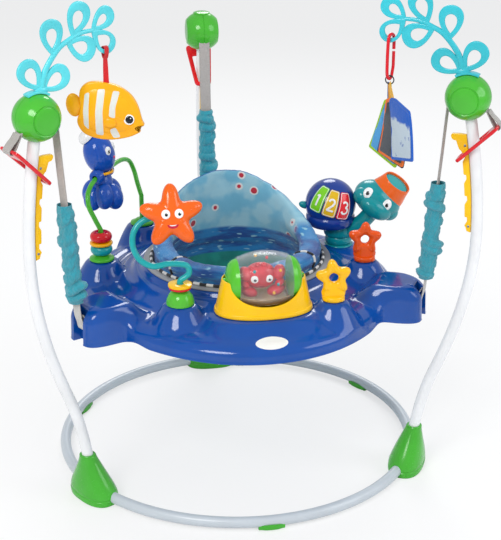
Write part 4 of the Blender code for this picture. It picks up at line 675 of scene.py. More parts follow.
def hoop(outer, inner, thickness, rows=12, square=0.55):
    """A flat loop between two outlines of as many points, with a rounded section, about z = 0."""
    def share(wave):
        return copysign(abs(wave)**square, wave)

    rings = []
    for row in range(rows):
        bend = 2 * pi * (row + 0.5) / rows
        out = 0.5 + 0.5 * share(cos(bend))
        lift = thickness / 2 * share(sin(bend))
        rings.append([(blend(i[0], o[0], out), blend(i[1], o[1], out), lift) for o, i in zip(outer, inner)])
    return skin(rings + rings[:1], closed=True)


def softened(corners, soft, steps=5):
    """A closed outline with each corner rounded as far as its radius says."""
    outline = []
    for here, corner in enumerate(corners):
        corner = Vector(corner)
        before = (Vector(corners[here - 1]) - corner)
        after = (Vector(corners[(here + 1) % len(corners)]) - corner)
        reach = min(soft, before.length * 0.45, after.length * 0.45)
        start, end = corner + before.normalized() * reach, corner + after.normalized() * reach
        for step in range(steps + 1):
            t = step / steps
            outline.append(tuple(start * (1 - t)**2 + corner * 2 * t * (1 - t) + end * t**2))
    return outline


def latch_point(along, above):
    """A point of the red ring's plane: along it from its inner edge, and above it."""
    tilt = radians(LATCH_TILT)
    inner = post_radius(FIRST_NOTCH) - POST_TUBE / 2 - 0.0125 - 0.0025 - LATCH_BAR
    return Vector((inner + along * cos(tilt) - above * sin(tilt), 0, FIRST_NOTCH - 0.01 + along * sin(tilt)
        + above * cos(tilt)))


def latch_shape():
    inner, outer, bar = LATCH_INNER / 2, LATCH_OUTER / 2, LATCH_BAR
    edge = softened([(0, -inner), (0, inner), (LATCH_LENGTH, outer), (LATCH_LENGTH, -outer)], 0.01)
    hole_end = LATCH_LENGTH - 2 * bar - STRAP_THICKNESS - 0.01
    hole = softened([(bar, bar - inner), (bar, inner - bar), (hole_end, outer - bar - 0.005),
        (hole_end, bar + 0.005 - outer)], 0.006)
    return hoop(edge, hole, LATCH_THICKNESS, 12)


def latch_bar_shape():
    """The sewing bar and its two side rails beyond the main hole."""
    bar, half = LATCH_BAR, STRAP_WIDTH / 2 + 0.002
    slot_out = LATCH_LENGTH - bar
    slot_in = slot_out - STRAP_THICKNESS - 0.01
    slot = softened([(slot_in, -half), (slot_in, half), (slot_out, half), (slot_out, -half)], 0.002)
    rim = softened([(slot_in - bar * 0.9, -half - 0.01), (slot_in - bar * 0.9, half + 0.01),
        (LATCH_LENGTH - 0.0006, half + 0.012), (LATCH_LENGTH - 0.0006, -half - 0.012)], 0.004)
    return hoop(rim, slot, LATCH_THICKNESS * 0.92, 12)


LATCH_PLASTIC = moulded("latch_plastic", LATCH_RED, 0.16, 0.45)
for side, azimuth in POST_AZIMUTHS.items():
    tilted = facing(azimuth) @ Matrix.Translation(latch_point(0, 0)) @ turn_about("Y", -LATCH_TILT)
    rim = piece(f"red_ring_{side}", latch_shape(), LATCH_PLASTIC, f"latch_{side}", f"latch_ring_{side}",
        tilted)
    piece(f"red_ring_bar_{side}", latch_bar_shape(), LATCH_PLASTIC, f"latch_{side}",
        place=tilted)


# The webbing: a grey polyester band on each side, woven 24 mm wide. It runs from the red ring's bar
# over the hub's roller and down to the spring, and its ends are folded back and sewn.
SLEEVE_TOP = 0.622
SLEEVE_BOTTOM = 0.425
LOBE_REACH = 0.393
WRAP_RADIUS = 0.036
SLOT_REACH = 0.037
RIB_PITCH = 0.0024
HERRINGBONE_PITCH = 0.0052
FINE_THREAD = 0.00085
WEBBING_GREY = "#B9B4B0"


def hanger_radius(height):
    """The leaning line from the hub's inner side down to the tray."""
    top = HUB_HEIGHT - 0.02
    return blend(HUB_RADIUS - WRAP_RADIUS, LOBE_REACH + STRAP_THICKNESS,
        (top - height) / (top - SLEEVE_BOTTOM))


def band_section(width=STRAP_WIDTH, thickness=STRAP_THICKNESS):
    """A flat band with soft edges."""
    half, deep = width / 2, thickness / 2
    return [(half - deep, -deep), (half - deep * 0.3, -deep * 0.7), (half, 0),
        (half - deep * 0.3, deep * 0.7), (half - deep, deep), (0, deep * 1.05), (deep - half, deep),
        (deep * 0.3 - half, deep * 0.7), (-half, 0), (deep * 0.3 - half, -deep * 0.7), (deep - half, -deep),
        (0, -deep * 1.05)]


def even(points, step):
    """A line's points spread out evenly."""
    line, spare = [Vector(points[0])], 0
    for low, high in zip(points, points[1:]):
        low, high = Vector(low), Vector(high)
        span = (high - low).length
        place = step - spare
        while place < span:
            line.append(low.lerp(high, place / span))
            place += step
        spare = span - (place - step)
    if (line[-1] - Vector(points[-1])).length > step * 0.3:
        line.append(Vector(points[-1]))
    return line


def flowing(points, count):
    """Evenly counted points on a smooth curve through the given ones."""
    knots = [Vector(point) for point in points]
    knots = [2 * knots[0] - knots[1], *knots, 2 * knots[-1] - knots[-2]]
    spans = len(points) - 1
    line = []
    for step in range(count):
        place = spans * step / (count - 1)
        span = min(int(place), spans - 1)
        t = place - span
        a, b, c, d = knots[span:span + 4]
        line.append(0.5 * (2 * b + (c - a) * t + (2 * a - 5 * b + 4 * c - d) * t**2
            + (3 * b - a - 3 * c + d) * t**3))
    return line


def woven(name, colour):
    """Flat polyester weave: cross ribs that run as a herringbone, and fine threads along the band."""
    finish = Finish(name, colour, 0.85, sheen_weight=0.25, sheen_roughness=0.5)
    across, along, _ = finish.axes(finish.weave_place())
    slant = (across * (2 * pi / HERRINGBONE_PITCH)).sine() * 1.4
    threads = (along * (2 * pi / RIB_PITCH) + slant).sine()
    fine = (across * (2 * pi / FINE_THREAD)).sine()
    weave = threads * 0.34 + fine * 0.16 + 0.5
    fluff = finish.noise(finish.place(), 420, 3)
    tone = weave * 0.55 + fluff * 0.45
    finish.set("Base Color", finish.tones(tone, 0.25, 0.75, 0.66, 1.1))
    finish.bump(weave + fluff * 0.3, 0.00045)
    return finish.material


WEBBING = woven("grey_webbing", WEBBING_GREY)


def roller_arc(start, end, count):
    """Points of the band's way over the hub's roller, between two angles in degrees."""
    centre = Vector((HUB_RADIUS, 0, HUB_HEIGHT - 0.006))
    return [centre + WRAP_RADIUS * Vector((cos(angle), 0, sin(angle))) for angle in fan(start, end, count)]


def inner_band():
    """Over the roller and down to the spring, on the child's side."""
    ends = [Vector((hanger_radius(height), 0, height)) for height in (SLEEVE_TOP + 0.06,
        SLEEVE_TOP - 0.0123)]
    return swept(even(roller_arc(78, 184, 10) + ends, 0.004), band_section(), first_side=UPWARDS)


def outer_band():
    """From the roller down to the red ring's bar, where it is folded round and sewn back on itself."""
    bar = latch_point(LATCH_LENGTH - LATCH_BAR / 2, 0)
    slot = Vector((HUB_RADIUS + SLOT_REACH, 0, HUB_HEIGHT - 0.02))
    up = (slot - bar).normalized()
    side = Vector((up.z, 0, -up.x))
    reach = LATCH_BAR / 2 + STRAP_THICKNESS * 0.75
    line = roller_arc(80, -4, 9) + [slot, bar + up * 0.04, bar + up * 0.012 - side * reach * 0.8]
    line += [bar + (-side * cos(angle) - up * sin(angle)) * reach for angle in fan(0, 180, 9)]
    line += [bar + up * 0.012 + side * reach * 0.8, bar + up * 0.022 + side * 0.0024, bar + up * 0.034
        + side * 0.0024]
    return swept(even(line, 0.002), band_section(), first_side=(1, 0, 0))


for side, azimuth in POST_AZIMUTHS.items():
    slot = (HUB_RADIUS + SLOT_REACH, 0, HUB_HEIGHT - 0.022)
    piece(f"webbing_{side}", inner_band(), WEBBING, ("frame", "hangers"), f"strap_{side}",
        facing(azimuth), bend=((hanger_radius(0.765), 0, 0.765), (hanger_radius(0.632), 0, 0.632)))
    piece(f"webbing_outer_{side}", outer_band(), WEBBING, ("frame", f"latch_{side}"),
        place=facing(azimuth),
        bend=(slot, tuple(latch_point(LATCH_LENGTH - LATCH_BAR / 2, 0) + UPWARDS * 0.004)))


# The springs and their sleeves: a steel coil on each side carries the tray, inside a tube of teal
# cotton that is cut half as long again as the spring, so that it gathers in loose folds.
SPRING_RADIUS = 0.0075
SPRING_WIRE = 0.0024
SPRING_TURNS = 34
SLEEVE_RADIUS = 0.0172
COTTON_THREAD = 0.0007
SLEEVE_TEAL = "#12A2B6"


def hanger_point(height, around=0, radius=0):
    """A point beside the leaning line of the spring."""
    return Vector((hanger_radius(height) + radius * cos(around), radius * sin(around), height))


def spring_shape():
    high, low = SLEEVE_TOP - 0.014, SLEEVE_BOTTOM + 0.014
    line = [hanger_point(high + 0.003), hanger_point(high)]
    for step in range(SPRING_TURNS * 14 + 1):
        height = blend(high - 0.008, low + 0.008, step / (SPRING_TURNS * 14))
        line.append(hanger_point(height, 2 * pi * step / 14, SPRING_RADIUS))
    line += [hanger_point(low), hanger_point(low - 0.003)]
    return swept(line, circle(SPRING_WIRE / 2, 8))


def sleeve_shape(seed):
    """The gathered tube: bunched rolls round the spring, with creases running aslant between them."""
    chance = random.Random(seed)
    rolls, place = [], 0
    while place < 1:
        rolls.append((place, chance.uniform(0.0022, 0.0118), chance.uniform(0, 6.28),
            chance.uniform(-0.3, 0.3)))
        place += chance.uniform(0.07, 0.15)
    phases = [chance.uniform(0, 6.28) for _ in range(6)]
    rings, lengths, count, rows = [], [], 60, 170
    for row in range(rows + 1):
        share = row / rows
        height = blend(SLEEVE_TOP, SLEEVE_BOTTOM, share)
        ends = min(sin(pi * share) * 4, 1)
        ring = []
        for step in range(count):
            around = 2 * pi * step / count
            lean = share + 0.03 * sin(around + phases[0]) + 0.014 * sin(2 * around + phases[1])
            swell = 0
            for middle, size, turn, bias in rolls:
                far = abs(lean + bias * 0.1 * sin(around + turn) - middle) / 0.045
                side = 0.62 + 0.38 * sin(around + turn)
                if far < 1:
                    swell = max(swell, size * side * sqrt(1 - far * far))
            crease = (sin(9 * around + 26 * share + phases[2]) * sin(31 * share + 2 * around + phases[3])
                + 0.6 * sin(15 * around - 40 * share + phases[4]) * sin(57 * share + phases[5]))
            radius = SLEEVE_RADIUS - 0.0028 + swell * ends + 0.00105 * crease * ends
            radius -= 0.0016 * (1 - ends) * (0.5 + 0.5 * sin(8 * around))
            ring.append(hanger_point(height, around, max(radius, 0.0138)))
        rings.append(ring)
        lengths.append(share * (SLEEVE_TOP - SLEEVE_BOTTOM) * 1.5)
    inside = [[hanger_point(height, 2 * pi * step / count, 0.013) for step in range(count)]
        for height in (SLEEVE_BOTTOM, SLEEVE_TOP)]
    return skin(rings + inside + rings[:1], closed=True, girth=0.115, lengths=lengths + [0.3, 0, 0])


def cotton(name, colour):
    """Plain-woven cotton: fine crossed threads, slubs, soft creases and a little lint."""
    finish = Finish(name, colour, 0.86, sheen_weight=0.35, sheen_roughness=0.6)
    across, along, _ = finish.axes(finish.weave_place())
    pitch = 2 * pi / COTTON_THREAD
    weave = (across * pitch).sine() * (along * pitch).sine() * 0.5 + 0.5
    here = finish.place()
    slub = finish.noise(here, 60, 4, 0.65)
    lint = finish.noise(here, 900, 2)
    tone = weave * 0.3 + slub * 0.45 + lint * 0.25
    finish.set("Base Color", finish.tones(tone, 0.28, 0.72, 0.74, 1.14))
    finish.bump(weave * 0.5 + slub * 1.4 + lint * 0.3, 0.0006)
    return finish.material


SPRING_METAL = Finish("spring_steel", "#8E9196", 0.3, metallic=1)
SPRING_METAL.set("Roughness", SPRING_METAL.noise(SPRING_METAL.place(), 150).rises(0.3, 0.8) * 0.2 + 0.22)
SLEEVE_COTTON = cotton("sleeve_cotton", SLEEVE_TEAL)
for number, (side, azimuth) in enumerate(POST_AZIMUTHS.items()):
    ends = ((hanger_radius(SLEEVE_TOP), 0, SLEEVE_TOP), (hanger_radius(SLEEVE_BOTTOM), 0, SLEEVE_BOTTOM))
    piece(f"coil_spring_{side}", spring_shape(), SPRING_METAL.material, ("hangers", "tray"),
        f"spring_{side}", facing(azimuth), bend=ends)
    sleeve = piece(f"gathered_sleeve_{side}", sleeve_shape(31 + number), SLEEVE_COTTON, ("hangers", "tray"),
        f"sleeve_{side}", facing(azimuth), 80, ends)


# The tray: one shell of glossy blue plastic, a dished deck with a square shoulder towards each post.
# Round mounds carry the toys, an oval one at the front carries the roller, and the webbing's ends
# drop through a slot in each shoulder.
DECK_HEIGHT = 0.404
VALLEY_HEIGHT = 0.383
RIM_HEIGHT = 0.416
MOUNT_TOP = 0.418
TRAY_HEM = 0.3445
TRAY_WALL = 0.004
TRAY_RADIUS = 0.322
TRAY_BULGE = 0.043
OPENING_RADIUS = 0.18
RIM_WIDTH = 0.016
LOBE_WIDTH = 0.114
LOBE_HEIGHT = 0.412
SLOT_ANGLE = 2.26
SLOT_DEPTH = 0.018
TRAY_BLUE = "#04489C"
TAIL_GREY = "#CFCCC8"
MOUNDS = ((-0.275, 0.035, 0.0325, MOUNT_TOP), (-0.17, 0.24, 0.0315, MOUNT_TOP),
    (-0.148, -0.223, 0.0325, MOUNT_TOP), (0.141, -0.256, 0.027, MOUNT_TOP),
    (0.253, -0.064, 0.027, MOUNT_TOP), (0.23, 0.09, 0.044, 0.3985))
ROLLER_PLACE = (0.008, -0.243, 0.4655)


def smooth_step(share):
    share = min(max(share, 0), 1)
    return share * share * (3 - 2 * share)


def angle_between(first, second):
    """The smaller angle between two directions in degrees."""
    return abs((first - second + 180) % 360 - 180)


def nearest_post(azimuth):
    return min(angle_between(azimuth, post) for post in POST_AZIMUTHS.values())


def lobe_share(azimuth):
    """1 on the middle of a shoulder, 0 away from the three shoulders."""
    half = degrees(atan(LOBE_WIDTH / 2 / LOBE_REACH))
    return 1 - smooth_step((nearest_post(azimuth) - half * 0.8) / (half * 0.9))


def tray_edge(azimuth):
    """The tray's outline: round, fuller at the front, with a square shoulder towards each post."""
    front = cos(radians(min(angle_between(azimuth, -90), 90)))**4
    total = (TRAY_RADIUS + TRAY_BULGE * front)**28
    away = radians(nearest_post(azimuth))
    lobe = ((abs(cos(away)) / LOBE_REACH)**5 + (abs(sin(away)) / (LOBE_WIDTH / 2))**5)**(-1 / 5)
    return (total + lobe**28)**(1 / 28)


def over(first, second, soft=0.01):
    """The higher of two heights, with a fillet where they cross."""
    near = max(soft - abs(first - second), 0) / soft
    return max(first, second) + near * near * soft / 4


def mound_height(away, top, slope=1.65, soft=0.0035):
    """A mound's side, from its distance outside the mound's edge."""
    return top - slope * 0.5 * (away + sqrt(away * away + soft * soft))


def deck_height(reach, azimuth, drop=0):
    """The deck's upper side, lowered by drop where it turns down into the wall."""
    x, y = reach * cos(radians(azimuth)), reach * sin(radians(azimuth))
    height = blend(DECK_HEIGHT, VALLEY_HEIGHT, smooth_step((reach - 0.199) / 0.07))
    ripples = 1 - smooth_step((angle_between(azimuth, 163) - 14) / 26)
    height += 0.0022 * ripples * sin((reach - 0.203) * 2 * pi / 0.024) * smooth_step((reach - 0.2) / 0.01)
    shoulder = lobe_share(azimuth) * smooth_step((reach - 0.258) / 0.05)
    height = blend(height, LOBE_HEIGHT, shoulder) - drop
    for middle_x, middle_y, radius, top in MOUNDS:
        away = hypot(x - middle_x, y - middle_y) - radius
        if away < 0.05:
            height = over(height, mound_height(away, top))
    rounded = ((abs(x - ROLLER_PLACE[0]) / 0.103)**2.6 + (abs(y - ROLLER_PLACE[1]) / 0.068)**2.6)**(1 / 2.6)
    return over(height, mound_height((rounded - 1) * 0.08, DECK_HEIGHT, 1.1, 0.006), 0.012)


def tray_hem(azimuth):
    """The wall's lower edge: deeper under the shoulders and drawn up just beside them."""
    beside = 1 - smooth_step(abs(nearest_post(azimuth) - 15.5) / 6)
    return TRAY_HEM - 0.005 * lobe_share(azimuth) + 0.004 * beside


def tray_section(azimuth):
    """Points of (radius, height) from the opening's lip over the deck and down, and back inside."""
    lobe = lobe_share(azimuth)
    wide, high = blend(0.052, 0.034, lobe), blend(0.024, 0.032, lobe)
    edge = tray_edge(azimuth)
    if nearest_post(azimuth) < SLOT_ANGLE:
        edge, wide, high = edge - SLOT_DEPTH, 0.004, 0.003
    rim = OPENING_RADIUS + RIM_WIDTH
    points = [(OPENING_RADIUS, RIM_HEIGHT - 0.034), (OPENING_RADIUS, RIM_HEIGHT - 0.01),
        (OPENING_RADIUS, RIM_HEIGHT - 0.003), (OPENING_RADIUS + 0.0008, RIM_HEIGHT - 0.0008),
        (OPENING_RADIUS + 0.003, RIM_HEIGHT), (rim - 0.006, RIM_HEIGHT),
        (rim - 0.0035, RIM_HEIGHT - 0.0006), (rim - 0.0015, RIM_HEIGHT - 0.0028),
        (rim + 0.0005, RIM_HEIGHT - 0.0072), (rim + 0.003, DECK_HEIGHT + 0.0012)]
    start, turn = rim + 0.006, edge - wide
    points += [(reach, deck_height(reach, azimuth)) for reach in between(start, turn, 34)]
    for bend in fan(0, 90, 13)[1:]:
        reach = edge - wide * (1 - sin(bend))
        points.append((reach, deck_height(reach, azimuth, high * (1 - cos(bend)))))
    brow, hem = points[-1][1], tray_hem(azimuth)
    points += [(edge + 0.0012 * share, blend(brow, hem + 0.004, share)) for share in (0.35, 0.7, 1)]
    points += [(edge + 0.002, hem + 0.0022), (edge + 0.0018, hem + 0.0004), (edge, hem),
        (edge - 0.0028, hem + 0.0004), (edge - TRAY_WALL, hem + 0.004),
        (edge - TRAY_WALL, blend(brow, hem, 0.4) - TRAY_WALL), (edge - TRAY_WALL - wide * 0.12,
        brow + high * 0.4 - TRAY_WALL)]
    for reach in between(turn, start, 13):
        points.append((reach - 0.002, deck_height(reach, azimuth) - TRAY_WALL))
    return points + [(rim - TRAY_WALL, RIM_HEIGHT - 0.008), (OPENING_RADIUS + TRAY_WALL,
        RIM_HEIGHT - TRAY_WALL), (OPENING_RADIUS + TRAY_WALL, RIM_HEIGHT - 0.034)]


def tray_azimuths():
    """Even steps round the tray, and close ones at the walls of the webbing's slots."""
    close = [0, 1, 1.8, SLOT_ANGLE - 0.05, SLOT_ANGLE + 0.05, 2.6, 3.1]
    turns = [0.6 * step for step in range(600)]
    turns = [turn for turn in turns if nearest_post(turn) > 3.2]
    for post in POST_AZIMUTHS.values():
        turns += [post + way * away for away in close for way in ((1, -1) if away else (1,))]
    return sorted(turn % 360 for turn in turns)


def rings_about(sections, azimuths):
    """Turns (radius, height) sections at their azimuths into rings round the axis, row by row."""
    turns = [(cos(radians(turn)), sin(radians(turn))) for turn in azimuths]
    return [[(section[row][0] * x, section[row][0] * y, section[row][1])
        for section, (x, y) in zip(sections, turns)] for row in range(len(sections[0]))]


def on_tray(x=0, y=0, z=0, turn=0):
    """A place on the tray, measured from the jumper's axis and the floor."""
    return moved(AXIS.x + x, AXIS.y + y, z) @ turn_about("Z", turn)


TRAY_PLASTIC = moulded("tray_plastic", TRAY_BLUE, 0.1, 0.8, 0.00002)
AZIMUTHS = tray_azimuths()
shell_rings = rings_about([tray_section(azimuth) for azimuth in AZIMUTHS], AZIMUTHS)
piece("dished_tray", skin(shell_rings + shell_rings[:1], closed=True), TRAY_PLASTIC, "tray", "tray",
    on_tray(), 50)
TAIL_WEBBING = woven("tail_webbing", TAIL_GREY)
for side, azimuth in POST_AZIMUTHS.items():
    bar = Vector((LOBE_REACH - 0.0125, 0, DECK_HEIGHT - 0.034))
    line = [Vector((hanger_radius(height), 0, height)) for height in (0.437, 0.424, 0.412)]
    line += [Vector((0.3925, 0, 0.396)), Vector((0.388, 0, 0.38)), bar + Vector((0.005, 0, -0.001)),
        bar + Vector((0.0008, 0, -0.0052)), bar + Vector((-0.0048, 0, -0.001)),
        bar + Vector((-0.003, 0, 0.01)), Vector((0.3868, 0, 0.398))]
    tail = swept(flowing(line, 60), band_section(), first_side=(1, 0, 0))
    piece(f"webbing_tail_{side}", tail, TAIL_WEBBING, "tray", f"strap_anchor_{side}",
        facing(azimuth))
    rod = spun([(0, 0.023), (0.0032, 0.023), (0.004, 0.0222), (0.004, -0.0222), (0.0032, -0.023),
        (0, -0.023)], 24)
    piece(f"tail_bar_{side}", rod, SCREW_METAL.material, "tray", place=facing(azimuth)
        @ Matrix.Translation(bar) @ turn_about("X", 90))


# The seat: a padded cotton bag on a grey plastic hoop that turns in the tray's opening. It has a low
# fat roll in front, a high back, two leg holes, and piping of black and white tape at its edges.
SEAT_BACK_RISE = 0.15
SEAT_FRONT_RISE = 0.05
SEAT_ROLL = 0.042
SEAT_BACK_PAD = 0.018
SEAT_BOTTOM = 0.204
SEAT_BOTTOM_RADIUS = 0.078
SEAT_CLEAR = 0.1724
SEAT_WALL = 0.009
LEG_HOLE = 0.112
LEG_SPREAD = 0.086
PIPING = 0.0062
RIM_PIPING_RADIUS = 0.1768
RIM_PIPING_HEIGHT = 0.4228
SEAT_ROWS = 114
SEAT_COLUMNS = 180
TAPE_DASH = 0.028
TAPE_THREAD = 0.0011
TAPE_DARK = "#16181C"
TAPE_LIGHT = "#EDEDEA"
HOOP_GREY = "#8E9196"
SEAT_BLUE = "#1272C0"
SEAT_SKY = "#7CC8E8"
SEAT_TEAL = "#16A79B"


def seat_back(azimuth):
    """0 in front of the child, 1 behind."""
    return min(max((sin(radians(azimuth)) + 0.3) / 1.3, 0), 1)**2


def seat_section(azimuth):
    """From the middle of the bottom, up the outside, over the padded edge and down the inside."""
    back = seat_back(azimuth)
    top = DECK_HEIGHT + blend(SEAT_FRONT_RISE, SEAT_BACK_RISE, back)
    pad = blend(SEAT_ROLL, SEAT_BACK_PAD, back)
    over_rim, outer = RIM_HEIGHT + 0.008, SEAT_CLEAR - 0.001
    bag = blend(SEAT_BOTTOM_RADIUS, SEAT_CLEAR, 0.62)
    drop = DECK_HEIGHT - SEAT_BOTTOM
    outside = [(0.004, SEAT_BOTTOM - 0.001), (0.04, SEAT_BOTTOM), (SEAT_BOTTOM_RADIUS, SEAT_BOTTOM + 0.003),
        (bag, SEAT_BOTTOM + drop * 0.26), (SEAT_CLEAR - 0.004, SEAT_BOTTOM + drop * 0.66),
        (SEAT_CLEAR - 0.001, over_rim - 0.012), (SEAT_CLEAR - 0.004, over_rim),
        (outer + 0.001, blend(over_rim, top, 0.42)), (outer - pad * 0.06, blend(over_rim, top, 0.82)),
        (outer - pad * 0.22, top - pad * 0.05), (outer - pad * 0.5, top),
        (outer - pad * 0.8, top - pad * 0.08)]
    inside = [(outer - pad * 0.99, blend(over_rim, top, 0.72)), (outer - pad, blend(over_rim, top, 0.35)),
        (SEAT_CLEAR - SEAT_WALL - 0.007, over_rim - 0.02), (SEAT_CLEAR - SEAT_WALL - 0.004,
        over_rim - 0.05), (bag - SEAT_WALL, SEAT_BOTTOM + drop * 0.28 + SEAT_WALL),
        (SEAT_BOTTOM_RADIUS - SEAT_WALL, SEAT_BOTTOM + 0.004 + SEAT_WALL), (0.036, SEAT_BOTTOM + SEAT_WALL),
        (0.004, SEAT_BOTTOM + SEAT_WALL)]
    return outside + inside


def seat_point(point, azimuth, share, lift):
    """A point of the section with the cloth's soft folds: across the padding and down the bag."""
    angle = radians(azimuth)
    place = Vector((point[0] * cos(angle), point[0] * sin(angle), point[1]))
    fold = noise.noise(Vector((5 * cos(angle), 5 * sin(angle), place.z * 16)))
    crease = noise.noise(Vector((13 * cos(angle), 13 * sin(angle), place.z * 40 + 7)))
    ridge = 1 - abs(noise.noise(Vector((8 * cos(angle), 8 * sin(angle), place.z * 22 + 3)))) * 2.4
    out = Vector((cos(angle), sin(angle), 0))
    size = 0.002 * fold + 0.001 * crease + 0.0012 * max(ridge, 0)**3
    return place + (out * lift.x + UPWARDS * lift.y) * (size * min(share, 1) - 0.0012)


def seat_shape():
    """The bag as one closed skin, before its leg holes are cut."""
    columns = []
    for azimuth in [360 * step / SEAT_COLUMNS for step in range(SEAT_COLUMNS)]:
        line = flowing([(x, z, 0) for x, z in seat_section(azimuth)], SEAT_ROWS)
        column = []
        for here, point in enumerate(line):
            along = along_line(line, here)
            column.append(seat_point((point.x, point.y), azimuth, point.x / 0.05,
                Vector((along.y, -along.x))))
        columns.append(column)
    rings = [[column[row] for column in columns] for row in range(SEAT_ROWS)]
    lengths = [0]
    for low, high in zip(columns[0], columns[0][1:]):
        lengths.append(lengths[-1] + (high - low).length)
    return skin(rings, girth=1.08, lengths=lengths)


def leg_axis(way):
    """The line through a leg hole, from inside the seat outwards and down."""
    turn = Matrix.Rotation(radians(way * -38), 3, "Y") @ Matrix.Rotation(radians(-28), 3, "X")
    return Vector((way * LEG_SPREAD, -0.052, DECK_HEIGHT - 0.148)), turn @ Vector((0, 0, -1))


def open_leg(shape, way):
    """Cuts a leg hole by removing the cloth inside a round and drawing its edges to that round."""
    middle, axis = leg_axis(way)
    radius = LEG_HOLE / 2

    def away(point):
        offset = point - middle
        return (offset - axis * offset.dot(axis)).length, offset.dot(axis)

    gone = []
    for vert in shape.verts:
        reach, depth = away(vert.co)
        if reach < radius and abs(depth) < 0.085:
            gone.append(vert)
    bmesh.ops.delete(shape, geom=gone, context="VERTS")
    rims = [vert for vert in shape.verts if vert.is_boundary and away(vert.co)[0] < radius + 0.012
        and abs(away(vert.co)[1]) < 0.09]
    for vert in rims:
        offset = vert.co - middle
        depth = offset.dot(axis)
        across = offset - axis * depth
        vert.co = middle + axis * depth + across.normalized() * radius
    edges = [edge for edge in shape.edges if edge.is_boundary and edge.verts[0] in set(rims)]
    bmesh.ops.bridge_loops(shape, edges=edges)


def leg_loop(way):
    """The hole's outer edge on the seat's side, as a closed line."""
    middle, axis = leg_axis(way)
    side = axis.cross(UPWARDS).normalized()
    lift = axis.cross(side)
    tree = BVHTree.FromBMesh(seat_shape())
    line = []
    for x, y in circle(1, 72):
        start = middle + (side * x + lift * y) * (LEG_HOLE / 2 - 0.001) + axis * 0.12
        hit = tree.ray_cast(start, -axis, 0.3)[0]
        line.append(hit if hit is not None else line[-1])
    return [(line[here - 1] + line[here] * 2 + line[(here + 1) % 72]) / 4 for here in range(72)]


def taped(name):
    """Piping bound in black and white tape."""
    finish = Finish(name, TAPE_LIGHT, 0.82, sheen_weight=0.2)
    across, along, _ = finish.axes(finish.weave_place())
    wave = (along * (2 * pi / TAPE_DASH)).sine()
    thread = (along * (2 * pi / TAPE_THREAD) + across * 900).sine() * 0.5 + 0.5
    marks = finish.mix(wave.rises(-0.06, 0.06), finish.colour, tint(TAPE_DARK))
    finish.set("Base Color", finish.mix(thread * 0.22, marks, (0.1, 0.1, 0.11, 1)))
    finish.bump(thread + finish.noise(finish.place(), 500), 0.0003)
    return finish.material


def seat_cotton():
    """Printed cotton: blue waves and light strokes outside, pale sky with red and white dots inside the
    back, and plain teal below."""
    finish = Finish("seat_print", SEAT_BLUE, 0.84, sheen_weight=0.3, sheen_roughness=0.5)
    across, along, _ = finish.axes(finish.weave_place())
    x, y, z = finish.axes(finish.place(tuple(AXIS[:2]) + (0,)))
    here = finish.place()
    waves = finish.noise(finish.place(scale=(1, 1, 5)), 15, 3, 0.55)
    swell = finish.mix(waves.rises(0.36, 0.62), tint("#0A4FA4"), tint("#1C8FD6"))
    strokes = finish.noise(finish.place(scale=(1, 1, 4.6)), 46, 1, 0.4).rises(0.66, 0.73)
    swell = finish.mix(strokes * 0.85, swell, tint("#A6E0F2"))
    cells = finish.node("ShaderNodeTexVoronoi", {"feature": "F1"}, Vector=here, Scale=24)
    sky = finish.mix(finish.noise(here, 22, 2).rises(0.4, 0.6), tint(SEAT_SKY), tint("#A9DDF0"))
    rings = (cells * 5).rises(1.05, 1.2)
    spots = finish.mix((cells - 0.16).rises(0, 0.012), tint("#D2253C"),
        finish.mix((cells - 0.23).rises(0, 0.012), tint("#F2F3F4"), sky))
    front = y.rises(0.02, 0.05)
    inner = (x * x + y * y).rises(0.0268, 0.0256) * front * z.rises(0.425, 0.432)
    print_colour = finish.mix(inner, swell, spots)
    lower = z.rises(0.372, 0.368)
    tone = finish.mix(finish.noise(here, 30, 3).rises(0.3, 0.7), tint("#0E8D86"), tint(SEAT_TEAL))
    cloth = finish.mix(lower, print_colour, tone)
    thread = ((across * 7500).sine() * (along * 7500).sine()) * 0.5 + 0.5
    lint = finish.noise(here, 700, 2)
    finish.set("Base Color", finish.mix((thread * 0.5 + lint * 0.5) * 0.3, cloth, (0, 0.02, 0.05, 1)))
    finish.bump(thread * 0.4 + lint * 0.4 + finish.noise(here, 55, 3) * 1.8, 0.0007)
    return finish.material


hoop_grey = moulded("hoop_grey", HOOP_GREY, 0.4, 0)
profile = [(0.173, 0.4198), (0.1905, 0.4198), (0.192, 0.419), (0.192, 0.4172), (0.1912, 0.4168),
    (0.177, 0.4168), (0.177, 0.3812), (0.1828, 0.3812), (0.1822, 0.379), (0.177, 0.3772), (0.173, 0.3772)]
piece("seat_hoop", spun(profile, 120), hoop_grey, "seat", "seat_ring", on_tray())
bag = seat_shape()
for way in (-1, 1):
    open_leg(bag, way)
seat = piece("padded_seat", bag, seat_cotton(), "seat", "seat", on_tray(), 70)
TAPE = taped("striped_tape")
for name, way in (("left", -1), ("right", 1)):
    piece(f"leg_binding_{name}", swept(leg_loop(way), circle(PIPING * 0.45, 12), cyclic=True), TAPE, "seat",
        place=on_tray())
rim_line = [Vector((x, y, RIM_PIPING_HEIGHT)) for x, y in circle(RIM_PIPING_RADIUS, 160)]
piece("rim_piping", swept(rim_line, circle(PIPING / 2, 14), cyclic=True), TAPE, "seat",
    place=on_tray())
for name, azimuth in (("left", -150), ("right", -36)):
    line = flowing([(x + 0.0008, 0, z) for x, z in seat_section(azimuth)], SEAT_ROWS)[34:84]
    piece(f"roll_piping_{name}", swept(line, circle(PIPING * 0.42, 12), first_side=(0, 1, 0)), TAPE, "seat",
        place=on_tray(turn=azimuth))


